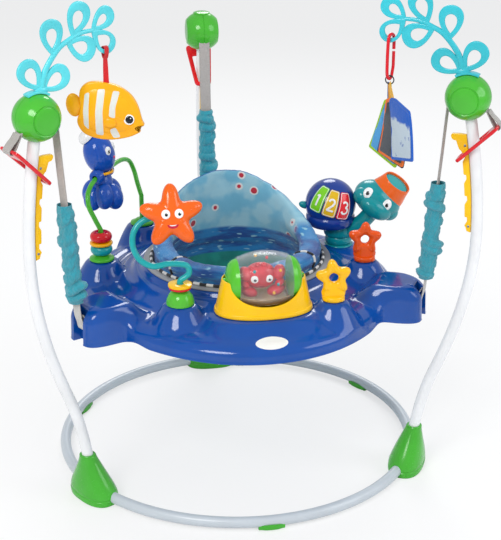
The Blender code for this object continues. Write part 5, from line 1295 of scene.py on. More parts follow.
# The octopus arch: a green nylon tube between two flanges on the tray's left mounds, leaning away
# from the seat. Three beads spin on its front leg.
ARCH_FOOT = (-0.275, 0.035)
ARCH_END = (-0.17, 0.24)
ARCH_RISE = 0.158
ARCH_STRAIGHT = 0.064
ARCH_TUBE = 0.01
ARCH_BULGE = 0.01
ARCH_LEAN = 0.026
FLANGE_HEIGHT = 0.012
FLANGE_RADIUS = 0.0255
ARCH_GREEN = "#4AB52F"
BEAD_COLOURS = {"teal": "#14A0A6", "yellow": "#FFB800", "red": "#DB1426"}


def arch_line(count):
    """The arch's centre line: straight legs and a flat crown."""
    foot, end = Vector((*ARCH_FOOT, 0)), Vector((*ARCH_END, 0))
    span = (end - foot).length
    along = (end - foot) / span
    out = Vector((-along.y, along.x, 0))
    side = [(0, ARCH_STRAIGHT, 0), (-0.55 * ARCH_BULGE, 0.57 * ARCH_RISE, 0.4),
        (-ARCH_BULGE, 0.74 * ARCH_RISE, 0.75), (0.02 * span, 0.9 * ARCH_RISE, 0.95),
        (0.2 * span, 0.985 * ARCH_RISE, 1)]
    knots = side + [(span / 2, ARCH_RISE, 1)] + [(span - x, z, lean) for x, z, lean in reversed(side)]
    knots = [(0, FLANGE_HEIGHT / 3, 0), *flowing(knots, count), (span, FLANGE_HEIGHT / 3, 0)]
    return [foot + along * x + out * ARCH_LEAN * lean + UPWARDS * (MOUNT_TOP + z) for x, z, lean in knots]


def fused(*shapes):
    """Several shapes in one, each with its material's number if it comes as a pair."""
    whole = bmesh.new()
    for entry in shapes:
        shape, number = entry if isinstance(entry, tuple) else (entry, 0)
        for face in shape.faces:
            face.material_index = number
        part = meshed("part", shape)
        whole.from_mesh(part)
        bpy.data.meshes.remove(part)
    return whole


def placed(shape, matrix):
    bmesh.ops.transform(shape, matrix=matrix, verts=shape.verts)
    return shape


def ball(size, centre=(0, 0, 0), turn=(0, 0, 0), rings=20, sides=32):
    """An egg of a size, turned in degrees about X, then Y, then Z."""
    shape = bmesh.new()
    bmesh.ops.create_uvsphere(shape, u_segments=sides, v_segments=rings, radius=0.5)
    bmesh.ops.scale(shape, vec=size, verts=shape.verts)
    turned = turn_about("Z", turn[2]) @ turn_about("Y", turn[1]) @ turn_about("X", turn[0])
    return placed(shape, Matrix.Translation(centre) @ turned)


GREEN_TUBE = moulded("arch_green", ARCH_GREEN, 0.16, 0.45)
flange = [(0, 0.0003), (FLANGE_RADIUS - 0.0012, 0.0003), (FLANGE_RADIUS, 0.0014), (FLANGE_RADIUS, 0.004),
    (FLANGE_RADIUS - 0.0008, 0.0052), (FLANGE_RADIUS - 0.004, 0.0066), (0.0165, 0.0088), (0.014, 0.0108),
    (0.0122, 0.012), (0, 0.0123)]
feet = [placed(spun(flange, 56), moved(*spot, MOUNT_TOP)) for spot in (ARCH_FOOT, ARCH_END)]
arch = swept(arch_line(110), circle(ARCH_TUBE / 2, 20), first_side=(1, 0, 0))
piece("octopus_arch", fused(arch, *feet), GREEN_TUBE, "tray", "arch_tube", on_tray())
low = MOUNT_TOP + FLANGE_HEIGHT + 0.0006
for name, radius, height, soft in (("teal", 0.0225, 0.02, 0.0092), ("yellow", 0.0235, 0.007, 0.0033),
        ("red", 0.0225, 0.02, 0.0092)):
    side = [(0.0062, 0.0022), (0.0072, 0.0006), (0.0095, 0)]
    side += [(radius - soft + soft * sin(bend), height / 2 - height / 2 * cos(bend))
        for bend in fan(0, 180, 17)]
    side += [(0.0095, height), (0.0072, height - 0.0006), (0.0062, height - 0.0022)]
    piece(f"arch_bead_{name}", spun(side, 48), moulded(f"bead_{name}", BEAD_COLOURS[name], 0.13, 0.5),
        f"bead_{name}", f"bead_{name}", on_tray(*ARCH_FOOT, low))
    low += height + 0.0003


# The octopus: a glossy blue blow-moulded toy that rocks on the arch, held at its two short ribbed
# arms. It has a white knob on top, a yellow collar and six rounded lobes below.
OCTOPUS_BLUE = "#1450B4"
COLLAR_YELLOW = "#FFB300"
EYE_WHITE = "#F4F5F6"
PUPIL_BLACK = "#14151A"
MOUTH_PINK = "#E8305A"


def button(place, facing_way, radius, rise, tall=1, up=UPWARDS, sides=36):
    """A shallow dome on a surface, facing away from it, sunk a little at its edge."""
    shape = spun([(0, rise), (radius * 0.3, rise * 0.965), (radius * 0.55, rise * 0.86),
        (radius * 0.76, rise * 0.66), (radius * 0.9, rise * 0.4), (radius * 0.97, rise * 0.18), (radius, 0),
        (radius, -0.0035), (0, -0.0035)], sides)
    bmesh.ops.scale(shape, vec=(1, tall, 1), verts=shape.verts)
    ahead = Vector(facing_way).normalized()
    across = Vector(up).cross(ahead).normalized()
    turn = Matrix((across, ahead.cross(across), ahead)).transposed().to_4x4()
    return placed(shape, Matrix.Translation(place) @ turn)


def eye_of(place, facing_way, radius, glance=(0, 0), tall=1.15, up=UPWARDS, pupil=0.55):
    """A white dome with a black pupil and a small glint: three shapes with their materials' numbers."""
    ahead = Vector(facing_way).normalized()
    across = Vector(up).cross(ahead).normalized()
    lift = ahead.cross(across)
    place = Vector(place)
    spot = place + across * glance[0] * radius + lift * glance[1] * radius + ahead * radius * 0.1
    glint = spot + (across * 0.18 + lift * 0.2 + ahead * 0.13) * radius
    return [(button(place, ahead, radius, radius * 0.3, tall, up), 0),
        (button(spot, ahead, radius * pupil, radius * 0.26, tall * 0.98, up), 1),
        (button(glint, ahead, radius * 0.15, radius * 0.17, 1, up, 16), 0)]


EYE_GLOSS = moulded("eye_white", EYE_WHITE, 0.1, 0.6, 0.00001)
PUPIL_GLOSS = moulded("pupil_black", PUPIL_BLACK, 0.08, 0.7, 0.00001)
OCTOPUS_PLASTIC = moulded("octopus_plastic", OCTOPUS_BLUE, 0.13, 0.6)
line = arch_line(21)
octopus_place = line[10]
octopus_turn = degrees(atan2(line[11].y - line[9].y, line[11].x - line[9].x))
octopus_body = []
for number in range(6):
    turn = 60 * number + 30
    x, y = cos(radians(turn)), sin(radians(turn))
    octopus_body.append(ball((0.041, 0.041, 0.056),
        (0.0235 * x, 0.0235 * y, -0.0475 + 0.006 * (number % 2)), (0, -16, turn)))
octopus_body.append(ball((0.052, 0.046, 0.07), (0, 0, -0.026)))
head_lean = moved(0, 0.004, 0.042) @ turn_about("X", -14) @ turn_about("Y", -6)
octopus_body.append(placed(ball((0.067, 0.064, 0.086)), head_lean))
for way in (-1, 1):
    profile = [(0.0052, 0), (0.0125, 0)]
    for rib in range(4):
        profile += [(0.014, 0.0012 + 0.0046 * rib), (0.0146, 0.0022 + 0.0046 * rib),
            (0.014, 0.0032 + 0.0046 * rib), (0.0129, 0.0042 + 0.0046 * rib)]
    profile += [(0.012, 0.02), (0.0085, 0.0216), (0.0058, 0.0218)]
    arm = spun(profile, 40)
    octopus_body.append(placed(arm, moved(way * 0.0155, 0, 0) @ turn_about("Y", 90 * way)))
rocking = on_tray(*octopus_place, octopus_turn)
piece("rocking_octopus", fused(*octopus_body), OCTOPUS_PLASTIC, "octopus", "octopus",
    rocking)
eyes = []
for way in (-1, 1):
    spot = head_lean @ Vector((way * 0.0135, -0.0288, 0.006))
    eyes += eye_of(spot, (way * 0.3, -1, 0.06), 0.0072, (-0.1, -0.12), 1.3)
piece("octopus_eyes", fused(*eyes), [EYE_GLOSS, PUPIL_GLOSS], "octopus", place=rocking)
mouth = moulded("mouth_pink", MOUTH_PINK, 0.2, 0.3)
piece("octopus_mouth", button(head_lean @ Vector((0, -0.03, -0.0125)), (0, -1, -0.15), 0.0042, 0.0018,
    0.75), mouth, "octopus", place=rocking)
collar = [Vector((0.0215 * x, 0.0205 * y - 0.0015, 0.0035 - 0.1 * 0.0205 * y)) for x, y in circle(1, 64)]
piece("octopus_collar", swept(collar, circle(0.003, 14), cyclic=True),
    moulded("collar_yellow", COLLAR_YELLOW, 0.2, 0.4), "octopus", place=rocking)
knob_side = [(0.019 * cos(turn)**0.8, 0.0148 * sin(turn)) for turn in fan(90, 0, 16)]
knob_side += [(0.0184, -0.003), (0, -0.004)]
cap_place = head_lean @ moved(-0.004, 0.012, 0.0405) @ turn_about("X", -24) @ turn_about("Y", -12)
piece("octopus_knob", spun(knob_side, 48), moulded("knob_white", "#E9EAEC", 0.22, 0.3), "octopus",
    place=rocking @ cap_place)


# The star on its stalk: a bent teal tube on a green dome, with a puffed orange star that turns on a
# pin at its end, and a double disc that spins on the dome.
STALK_PLACE = (-0.148, -0.223)
STALK_TUBE = 0.0115
STALK_SWAY = 0.085
STALK_RISE = 0.17
STAR_SPAN = 0.122
STAR_THICKNESS = 0.034
STAR_LEAN = 19
STAR_OFFSET = -0.013
STAR_POINTS = 140
STALK_TEAL = "#12A5A8"
STAR_ORANGE = "#F2640A"


def star_outline(span, waist=0.56):
    """A five-armed star with rounded tips and waists."""
    outline = []
    for step in range(STAR_POINTS):
        angle = 2 * pi * step / STAR_POINTS
        wave = 0.5 + 0.5 * cos(5 * angle)
        radius = span / 2 * blend(waist, 1, wave**1.15)
        outline.append((radius * cos(angle + pi / 2), radius * sin(angle + pi / 2)))
    return outline


def puffed(outline, thickness, steps=12):
    """An outline in XY blown up like a cushion on both sides."""
    rings = []
    for step in range(2 * steps + 1):
        bend = pi * step / (2 * steps)
        share = max(sin(bend), 0.012)**0.8
        rings.append([(x * share, y * share, -thickness / 2 * cos(bend)) for x, y in outline])
    return skin(rings)


def on_surface(tree, x, y, ahead=(0, 0, -1), start=0.3):
    """Where a line through (x, y) along ahead meets a surface, and the surface's direction there."""
    ahead = Vector(ahead)
    hit, normal = tree.ray_cast(Vector((x, y, 0)) - ahead * start, ahead, start * 2)[:2]
    return hit, normal


def middle_of(outline):
    """The mean of an outline's points."""
    return sum(x for x, y in outline) / len(outline), sum(y for x, y in outline) / len(outline)


def decal(tree, outline, lift=0.00025, rows=(1, 0.985, 0.8, 0.55, 0.3, 0.02)):
    """A thin printed patch laid on the +Z side of a surface, shrunk ring by ring to its middle."""
    middle_x, middle_y = middle_of(outline)
    rings = []
    for number, share in enumerate(rows):
        ring = []
        for x, y in outline:
            hit = on_surface(tree, middle_x + (x - middle_x) * share, middle_y + (y - middle_y) * share)[0]
            ring.append(hit + UPWARDS * (lift if number else -lift))
        rings.append(ring)
    return skin(rings)


STALK_PLASTIC = moulded("stalk_teal", STALK_TEAL, 0.13, 0.5)
DOME_GREEN = moulded("dome_green", "#56BF35", 0.13, 0.5)
ORANGE_PLASTIC = moulded("star_orange", STAR_ORANGE, 0.15, 0.55)
shares = ((0, 0, 0.27), (0.2, 0, 0.35), (0.14, 0, 0.45), (-0.235, 0, 0.48), (-0.588, 0.05, 0.46),
    (-0.87, 0.25, 0.54), (-1, 0.55, 0.69), (-0.94, 0.9, 0.85), (-0.66, 1.1, 0.96))
lean = radians(STAR_LEAN)
star_middle = Vector((STAR_OFFSET, 0, STALK_RISE + 0.005))
star_ahead = Vector((0, -cos(lean), sin(lean)))
star_back = STAR_THICKNESS / 2 + STALK_TUBE / 2 + 0.0016
behind = star_middle - star_ahead * star_back
knots = [(STALK_SWAY * x, star_back * y, STALK_RISE * z) for x, y, z in shares]
stalk_line = [Vector((0, 0, 0.015)), *flowing([*knots, behind], 120)]
pin = [behind, behind + star_ahead * 0.0115, behind + star_ahead * 0.0228]
stalk = fused(swept(stalk_line, circle(STALK_TUBE / 2, 24), first_side=(0, 1, 0)),
    swept(pin, circle(0.003, 16)), ball((STALK_TUBE * 1.04,) * 3, behind, rings=14, sides=20))
swivel = on_tray(*STALK_PLACE, MOUNT_TOP)
piece("star_stalk_tube", stalk, STALK_PLASTIC, "stalk", "star_stalk", swivel)
dome = [(0, 0.03), (0.0064, 0.03), (0.0095, 0.0297)]
dome += [(0.027 * cos(bend)**0.8, 0.0004 + 0.0286 * sin(bend)**1.05) for bend in fan(70, 5, 14)]
piece("stalk_dome", spun(dome + [(0.0266, 0.0002), (0, 0.0002)], 64), DOME_GREEN, "stalk",
    place=swivel)
for name, radius, low, height, colour in (("red", 0.0212, 0, 0.0048, BEAD_COLOURS["red"]),
        ("yellow", 0.023, 0.0048, 0.0052, "#FFC20A")):
    side = [(0.0066, low), (radius - 0.0014, low), (radius - 0.0004, low + 0.0006),
        (radius, low + height / 2), (radius - 0.0004, low + height - 0.0006),
        (radius - 0.0014, low + height), (0.0078, low + height), (0.0066, low + height - 0.001)]
    piece(f"spinning_disc_{name}", spun(side, 64), moulded(f"disc_{name}", colour, 0.14, 0.5), "stalk_disc",
        "stalk_disc" if name == "yellow" else (),
        on_tray(*STALK_PLACE, MOUNT_TOP + 0.0306))
star_place = swivel @ Matrix.Translation(star_middle) @ turn_about("X", 90 - STAR_LEAN)
star = puffed(star_outline(STAR_SPAN), STAR_THICKNESS)
star_tree = BVHTree.FromBMesh(star)
bumps = []
for arm in range(5):
    for along, across in ((0.36, 0), (0.42, 0.055), (0.42, -0.055), (0.31, 0.05), (0.31, -0.05)):
        turn = radians(90 + 72 * arm) + across
        spot, normal = on_surface(star_tree, along * STAR_SPAN * cos(turn) * 0.98,
            along * STAR_SPAN * sin(turn) * 0.98)
        bumps.append(button(spot, normal, 0.0017, 0.0007, up=(0, 1, 0.1), sides=14))
for way in (-1, 1):
    spot, normal = on_surface(star_tree, way * 0.0185, -0.0085)
    bumps.append(button(spot, normal, 0.0048, 0.0016, up=(0, 1, 0.1)))
piece("puffed_star", fused(star, *bumps), ORANGE_PLASTIC, "star", "star_rattle",
    star_place, 60)
eyes = []
for way in (-1, 1):
    spot, normal = on_surface(star_tree, way * 0.0122, 0.0042)
    eyes += eye_of(spot, normal + UPWARDS * 2, 0.0082, (0.08, -0.1), 1.08, (0, 1, 0), 0.5)
piece("star_eyes", fused(*eyes), [EYE_GLOSS, PUPIL_GLOSS], "star", place=star_place)
grin = [(0.0105 * cos(pi * step / 16), -0.015 - 0.0078 * sin(pi * step / 16)**0.9) for step in range(17)]
grin += [(0.0105 * (1 - step / 8), -0.015 - 0.0016 * sin(pi * step / 16)) for step in range(16, 0, -1)]
teeth = [(x * 0.62, -0.0158 + (y + 0.015) * 0.3) for x, y in grin]
piece("star_mouth", fused((decal(star_tree, grin, 0.0004), 0), (decal(star_tree, teeth, 0.0007), 1)),
    [moulded("mouth_red", "#C8123C", 0.2, 0.3), EYE_GLOSS], "star", place=star_place)


# The roller: a clear barrel between two green caps, turning in a yellow cradle clipped into the tray's
# front. A red crab and a bed of tan sand are fixed inside it, and six coloured beads on its wall.
BARREL_HALF = 0.051
BARREL_RADIUS = 0.054
BARREL_DROP = 0.0115
BARREL_WALL = 0.0022
CRADLE_LENGTH = 0.19
CRADLE_WIDTH = 0.118
CRADLE_BASE = -0.061
CRADLE_DIP = -0.0375
CRADLE_PEAK = 0.0045
CRADLE_NOTCH = 0.07
CRAB_MIDDLE = -0.006
SAND_HALF = 0.0445
SAND_ANGLES = (-36, -148)
CRADLE_YELLOW = "#FFC40A"
CRAB_RED = "#D51A30"
SAND_TAN = "#CBA572"
LOOSE_BEADS = ((-0.015, 0.003, 0.0463, "yellow"), (0.004, -0.01, 0.0458, "red"),
    (-0.024, -0.036, 0.0288, "teal"), (0.025, -0.036, 0.0284, "yellow"), (0.019, -0.0466, 0.005, "teal"),
    (0.011, -0.0466, -0.0117, "yellow"))


def barrel_radius(x):
    return BARREL_RADIUS - BARREL_DROP * (x / BARREL_HALF)**2


def cradle_ring(share, inset, lift=0):
    """One row of the cradle's oval shell, at a share of the way from its foot to its edge. The edge is
    low in front and behind and rises to a finger at either end."""
    ring = []
    for x, y in circle(1, 160):
        reach = (abs(x)**2.2 + abs(y)**2.2)**(-1 / 2.2)
        across = min(abs(x) * reach * CRADLE_LENGTH / 2 * 0.87 / CRADLE_NOTCH, 1)
        edge = blend(CRADLE_DIP, CRADLE_PEAK, 1 - sqrt(1 - across * across))
        height = blend(CRADLE_BASE, edge, share) + lift
        taper = 1 - 0.145 * (height - CRADLE_BASE) / (CRADLE_PEAK - CRADLE_BASE)
        ring.append((x * reach * (CRADLE_LENGTH / 2 * taper - inset),
            y * reach * (CRADLE_WIDTH / 2 * taper - inset), height))
    return ring


def barrel_shape():
    """The clear wall, fullest in the middle, with a bead round either end."""
    ends = between(-BARREL_HALF, BARREL_HALF, 35)
    outside = [(barrel_radius(x) + 0.0012 * max(1 - ((abs(x) - 0.047) / 0.003)**2, 0), x) for x in ends]
    inside = [(barrel_radius(x) - BARREL_WALL, x) for x in reversed(ends)]
    return placed(spun(outside + inside, 96), turn_about("Y", 90))


def cap_side(way):
    """A domed cap with a lip against the barrel, on a short axle."""
    side = [(0, 0.0785), (0.0048, 0.0785), (0.0056, 0.0775), (0.0056, 0.0728)]
    side += [(0.0404 * cos(bend)**0.8, 0.052 + 0.0206 * sin(bend)) for bend in fan(82, 4, 14)]
    side += [(0.041, 0.0516), (0.0412, 0.0508), (0.0404, 0.05), (0, 0.05)]
    return placed(spun(side, 72), turn_about("Y", 90 * way))


def sand_shape():
    """A strip along the bottom of the barrel, banked up in front."""
    rings = []
    front, back = SAND_ANGLES
    for x in between(-SAND_HALF, SAND_HALF, 23):
        outer = barrel_radius(x) - BARREL_WALL - 0.0003
        angles = fan(front, back, 27)
        ring = [(x, outer * cos(angle), outer * sin(angle)) for angle in angles]
        for angle in reversed(angles):
            depth = 0.0052 + 0.0011 * noise.noise(Vector((x * 90, angle * 5, 0)))
            share = (angle - radians(back)) / radians(front - back)
            inner = outer - depth * min(sin(share * pi) * 3 + 0.15, 1)
            ring.append((x, inner * cos(angle), inner * sin(angle)))
        rings.append(ring)
    return skin(rings)


def speckled(name, colour, speck, roughness, amount):
    """Plastic or sand with fine lighter grains in it."""
    finish = Finish(name, colour, roughness, coat_weight=0.2)
    here = finish.place()
    grains = finish.noise(here, 520, 2, 0.6).rises(0.56, 0.64)
    cloud = finish.noise(here, 40, 3)
    ground = finish.tones(cloud, 0.3, 0.7, 0.84, 1.1)
    finish.set("Base Color", finish.mix(grains * amount, ground, tint(speck)))
    finish.set("Roughness", grains * 0.2 + roughness)
    finish.bump(grains + cloud * 2, 0.00025)
    return finish.material


station = on_tray(*ROLLER_PLACE)
CRADLE_PLASTIC = moulded("cradle_yellow", CRADLE_YELLOW, 0.2, 0.35)
rows = [cradle_ring(0, 0.08, 0), cradle_ring(0, 0.003), cradle_ring(0, 0.0008, 0.0002),
    cradle_ring(0, 0, 0.0014), cradle_ring(0, 0, 0.0072), cradle_ring(0, 0.0004, 0.008),
    cradle_ring(0, 0.0016, 0.0084), cradle_ring(0, 0.0018, 0.0092)]
rows += [cradle_ring(share, 0.0018) for share in between(0.44, 0.97, 10)]
rows += [cradle_ring(0.99, 0.0021), cradle_ring(1, 0.003), cradle_ring(1, 0.004), cradle_ring(0.99, 0.0049)]
rows += [cradle_ring(share, 0.0052) for share in between(0.97, 0.3, 8)]
rows += [cradle_ring(0, 0.01, 0.0036), cradle_ring(0, 0.08, 0.0036)]
piece("roller_cradle_shell", skin(rows), CRADLE_PLASTIC, "tray", "roller_cradle", station)
CLEAR_WALL = Finish("clear_wall", "#DCE6EC", 0.04, coat_weight=1, coat_roughness=0.03)
glaze = CLEAR_WALL.node("ShaderNodeLayerWeight", {}, 0.42, output=1)
hazy = CLEAR_WALL.noise(CLEAR_WALL.place(), 60, 3).rises(0.55, 0.8)
CLEAR_WALL.set("Alpha", glaze * glaze * 0.55 + hazy * 0.03 + 0.05)
piece("roller_barrel", barrel_shape(), CLEAR_WALL.material, "roller", "roller_drum",
    station)
CAP_GREEN = moulded("cap_green", "#55BE2E", 0.13, 0.5)
piece("roller_caps_domed", fused(cap_side(1), cap_side(-1)), CAP_GREEN, "roller", "roller_caps",
    station)
crab = [ball((0.062, 0.046, 0.05), (CRAB_MIDDLE, 0.003, 0.006), rings=28, sides=40)]
crab += [ball(size, (-0.004 + way * x, y, z), (0, way * lean, 0)) for way in (-1, 1)
    for size, x, y, z, lean in (((0.024, 0.026, 0.03), 0.0325, -0.006, 0.0135, 18),
    ((0.036, 0.032, 0.02), 0.0265, -0.008, -0.0205, -20), ((0.02, 0.022, 0.014), 0.033, -0.01, -0.0055,
    -34))]
crab += [ball((0.011, 0.012, 0.009), (CRAB_MIDDLE + 0.024 * sin(turn), -0.004, 0.006 + 0.0245 * cos(turn)))
    for turn in (-0.75, -0.25, 0.25, 0.75)]
crab_shape = fused(*crab)
crab_tree = BVHTree.FromBMesh(crab_shape)
piece("sand_crab", crab_shape, speckled("crab_shell", CRAB_RED, "#F07078", 0.3, 0.18), "roller", "crab",
    station)
eyes = []
for way in (-1, 1):
    spot, normal = crab_tree.ray_cast(Vector((CRAB_MIDDLE + way * 0.0138, -0.2, 0.0055)),
        Vector((0, 1, 0)))[:2]
    eyes += eye_of(spot, normal + Vector((0, -2, 0.1)), 0.0074, (0.06, -0.12), 1, pupil=0.52)
piece("crab_eyes", fused(*eyes), [EYE_GLOSS, PUPIL_GLOSS], "roller", place=station)
spot, normal = crab_tree.ray_cast(Vector((CRAB_MIDDLE, -0.2, -0.0105)), Vector((0, 1, 0)))[:2]
smile = [Vector((spot.x + x, spot.y - 0.0004, spot.z + 0.002 - 0.003 * cos(x / 0.0048 * 1.3)))
    for x in between(-0.0048, 0.0048, 13)]
piece("crab_smile", swept(smile, circle(0.0008, 10), first_side=(0, -1, 0)),
    moulded("smile_dark", "#7A1420", 0.3), "roller", place=station)
piece("barrel_sand", sand_shape(), speckled("tan_sand", SAND_TAN, "#EBD9B4", 0.75, 0.6), "roller",
    place=station)
for colour in ("yellow", "red", "teal"):
    beads = [ball((0.0058, 0.0058, 0.0066), (x, y, z), rings=12, sides=16) for x, y, z, shade in LOOSE_BEADS
        if shade == colour]
    piece(f"barrel_beads_{colour}", fused(*beads), moulded(f"barrel_bead_{colour}", BEAD_COLOURS[colour],
        0.2, 0.3), "roller", place=station)


# The badge: a bare white oval stuck on the tray's front, below the roller. It follows the curve of
# the tray's side.
BADGE_SIZE = (0.0615, 0.031)
shell = skin(shell_rings + shell_rings[:1], closed=True)
spot, normal = on_surface(BVHTree.FromBMesh(shell), 0.168 - AXIS.x, 0.3915 - AXIS.y,
    (0.181, 0.8917, -0.4187), 2)
across = Vector((-normal.y, normal.x, 0)).normalized()
badge_frame = Matrix((across, normal.cross(across), normal)).transposed().to_4x4()
badge_frame.translation = spot
badge = decal(BVHTree.FromBMesh(placed(shell, badge_frame.inverted())),
    oval(BADGE_SIZE[0] / 2, BADGE_SIZE[1] / 2, 96), 0.0005, (1, 0.99, 0.9, 0.8, 0.7, 0.6, 0.5, 0.4, 0.3,
    0.2, 0.1, 0.01))
piece("tray_badge", badge, moulded("badge_white", "#E9E9E5", 0.25, 0.3), "tray", place=on_tray()
    @ badge_frame)


# The turtle: a glossy navy ball of a shell with three numbered keys, on a ribbed teal body that stands
# on the tray. A thick neck carries its plain rounded head and an orange cap.
SHELL_PLACE = (0.218, 0.09, 0.49)
SHELL_RADIUS = 0.054
KEY_RADIUS = 0.0565
KEY_FACING = -107
KEY_TILT = -16
KEY_SPREAD = 33
KEY_HALF = 14.9
KEY_LOW = -12
KEY_HIGH = 49
STROKE_RADIUS = 0.0572
STROKE_SCALE = 1.16
HEAD_OFFSET = (0.093, -0.034, 0.014)
SHELL_NAVY = "#10388F"
TURTLE_TEAL = "#0A8E96"
KEY_COLOURS = {1: "#7ED321", 2: "#E3B81E", 3: "#E3202C"}
STROKES = {1: (((-0.004, 0.0068), (0.0004, 0.0104)), ((0.0004, 0.0104), (0.0004, 0), (0.0004, -0.0104))),
    2: (((-0.0052, 0.0058), (-0.003, 0.0096), (0.0016, 0.0104), (0.005, 0.0072), (0.004, 0.0018),
    (-0.0008, -0.0046), (-0.0056, -0.0102)), ((-0.0056, -0.0102), (0.0002, -0.0102), (0.006, -0.0102))),
    3: (((-0.0052, 0.0082), (-0.0014, 0.0106), (0.0036, 0.009), (0.0044, 0.0042), (0.0006, 0.0008)),
    ((0.0006, 0.0008), (0.005, -0.0016), (0.0054, -0.0064), (0.0018, -0.0104), (-0.0028, -0.0104),
    (-0.006, -0.007)))}


def ball_point(across, up, radius):
    """A place over the shell, from its degrees across and up on the tilted face that bears the keys."""
    turn = radians(KEY_FACING)
    ahead = Vector((cos(turn), sin(turn), 0))
    right = (-ahead).cross(UPWARDS)
    across, up = radians(across), radians(up)
    flat = (ahead * cos(across) + right * sin(across)) * cos(up) + UPWARDS * sin(up)
    return Matrix.Rotation(radians(KEY_TILT), 3, ahead) @ flat * radius


def filled(outline, step):
    """An outline with more points wherever two of its points lie far apart."""
    whole = []
    for here, point in enumerate(outline):
        after = outline[(here + 1) % len(outline)]
        parts = max(ceil(dist(point, after) / step), 1)
        whole += [(blend(point[0], after[0], part / parts), blend(point[1], after[1], part / parts))
            for part in range(parts)]
    return whole


def key_outline(number):
    """A key's rounded outline in degrees across and up."""
    middle, high, low = KEY_SPREAD * (number - 2), KEY_HIGH, KEY_LOW
    corners = [(-KEY_HALF, low), (KEY_HALF, low), (KEY_HALF * 0.98, high), (-KEY_HALF * 0.98, high)]
    return [(middle + x, y) for x, y in filled(softened(corners, 5, 7), 3)]


def shrunk(outline, share):
    """An outline drawn in to its middle by the same margin on every side."""
    middle_x, middle_y = middle_of(outline)
    reach_x, reach_y = max(x - middle_x for x, y in outline), max(y - middle_y for x, y in outline)
    margin = reach_x * (1 - share)
    return [(middle_x + (x - middle_x) * share, middle_y + (y - middle_y) * (1 - margin / reach_y))
        for x, y in outline]


def on_ball(outline, radius):
    return [ball_point(x, y, radius) for x, y in outline]


shell_at = on_tray(*SHELL_PLACE)
side = [(0, SHELL_RADIUS)]
side += [(SHELL_RADIUS * cos(turn), SHELL_RADIUS * sin(turn)) for turn in fan(87, -21, 31)]
side += [(0.0492, -0.0212), (0.0496, -0.022), (0.0514, -0.0238), (0.0524, -0.0272), (0.0522, -0.0326),
    (0.0506, -0.0384), (0.0476, -0.0436), (0.044, -0.0462), (0.038, -0.047), (0, -0.047)]
SHELL_PLASTIC = moulded("shell_navy", SHELL_NAVY, 0.11, 0.7)
piece("turtle_shell_ball", spun(side, 96), SHELL_PLASTIC, "tray", "turtle_shell", shell_at)
TURTLE_PLASTIC = moulded("turtle_teal", TURTLE_TEAL, 0.16, 0.45)
ribs = [(0, -0.0466)]
for high, low, wide in ((-0.0472, -0.07, 0.0325), (-0.07, -0.088, 0.029)):
    for bend in fan(0, 180, 13):
        ribs.append((wide - 0.005 + 0.005 * sin(bend)**0.7, blend(high, low, 0.5 - 0.5 * cos(bend))))
ribs += [(0.03, -0.089), (0.031, -0.0915), (0, -0.0915)]
neck = flowing([(0.026, -0.01, -0.062), (0.042, -0.018, -0.052), (0.062, -0.028, -0.036),
    (0.08, -0.033, -0.014), (0.088, -0.034, 0.002)], 40)
head_frame = Matrix.Translation(HEAD_OFFSET) @ turn_about("Y", 33)
head = [placed(ball(size, spot, rings=28, sides=40), head_frame)
    for size, spot in (((0.106, 0.086, 0.076), (0, 0.002, 0)),
    ((0.076, 0.054, 0.044), (-0.004, -0.024, -0.014)), ((0.046, 0.04, 0.04), (-0.034, -0.01, -0.008)),
    ((0.046, 0.04, 0.04), (0.03, -0.01, -0.008)))]
tail = placed(ball((0.026, 0.016, 0.016)), moved(-0.054, 0.012, -0.004) @ turn_about("Y", 20))
turtle = fused(placed(spun(ribs, 64), moved(0.019, 0, 0)), swept(neck, circle(0.017, 28),
    first_side=(0, 1, 0)), tail, *head)
turtle_tree = BVHTree.FromBMesh(turtle)
piece("turtle_body_head", turtle, TURTLE_PLASTIC, "tray", "turtle_body", shell_at, 60)
eyes = []
looking = head_frame.to_3x3() @ Vector((-0.1, -1, 0.22))
for way in (-1, 1):
    start = head_frame @ Vector((-0.015 + way * 0.0225, -0.2, 0.006))
    spot, normal = turtle_tree.ray_cast(start, (head_frame.to_3x3() @ Vector((0, 1, 0))))[:2]
    eyes += eye_of(spot, normal + looking * 1.5, 0.01, (-0.05, -0.12), 1.18, head_frame.to_3x3() @ UPWARDS,
        0.52)
piece("turtle_eyes", fused(*eyes), [EYE_GLOSS, PUPIL_GLOSS], "tray", place=shell_at)
rings = []
for height, long, wide in ((0.017, 0.04, 0.034), (0.019, 0.0412, 0.0352), (0.03, 0.0396, 0.0338),
        (0.045, 0.0352, 0.03), (0.059, 0.0322, 0.0272), (0.0605, 0.0314, 0.0264), (0.0608, 0.0302, 0.0252),
        (0.06, 0.029, 0.024), (0.055, 0.0284, 0.0234)):
    rings.append([(0.01 + x, 0.006 + y, height) for x, y in oval(long, wide, 56)])
cap_frame = shell_at @ head_frame @ turn_about("X", 24) @ moved(0, 0.004, -0.004)
piece("turtle_cap", skin(rings), ORANGE_PLASTIC, "tray", place=cap_frame)
top = spun([(0, 0.0016), (0.6, 0.0014), (0.94, 0.0006), (1, -0.001), (0, -0.001)], 56)
bmesh.ops.scale(top, vec=(0.0288, 0.0238, 1), verts=top.verts)
piece("turtle_cap_top", top, STALK_PLASTIC, "tray", place=cap_frame @ moved(0.01,
    0.006, 0.0556))
KEY_WHITE = moulded("key_white", "#F2F3F1", 0.15, 0.4, 0.00001)
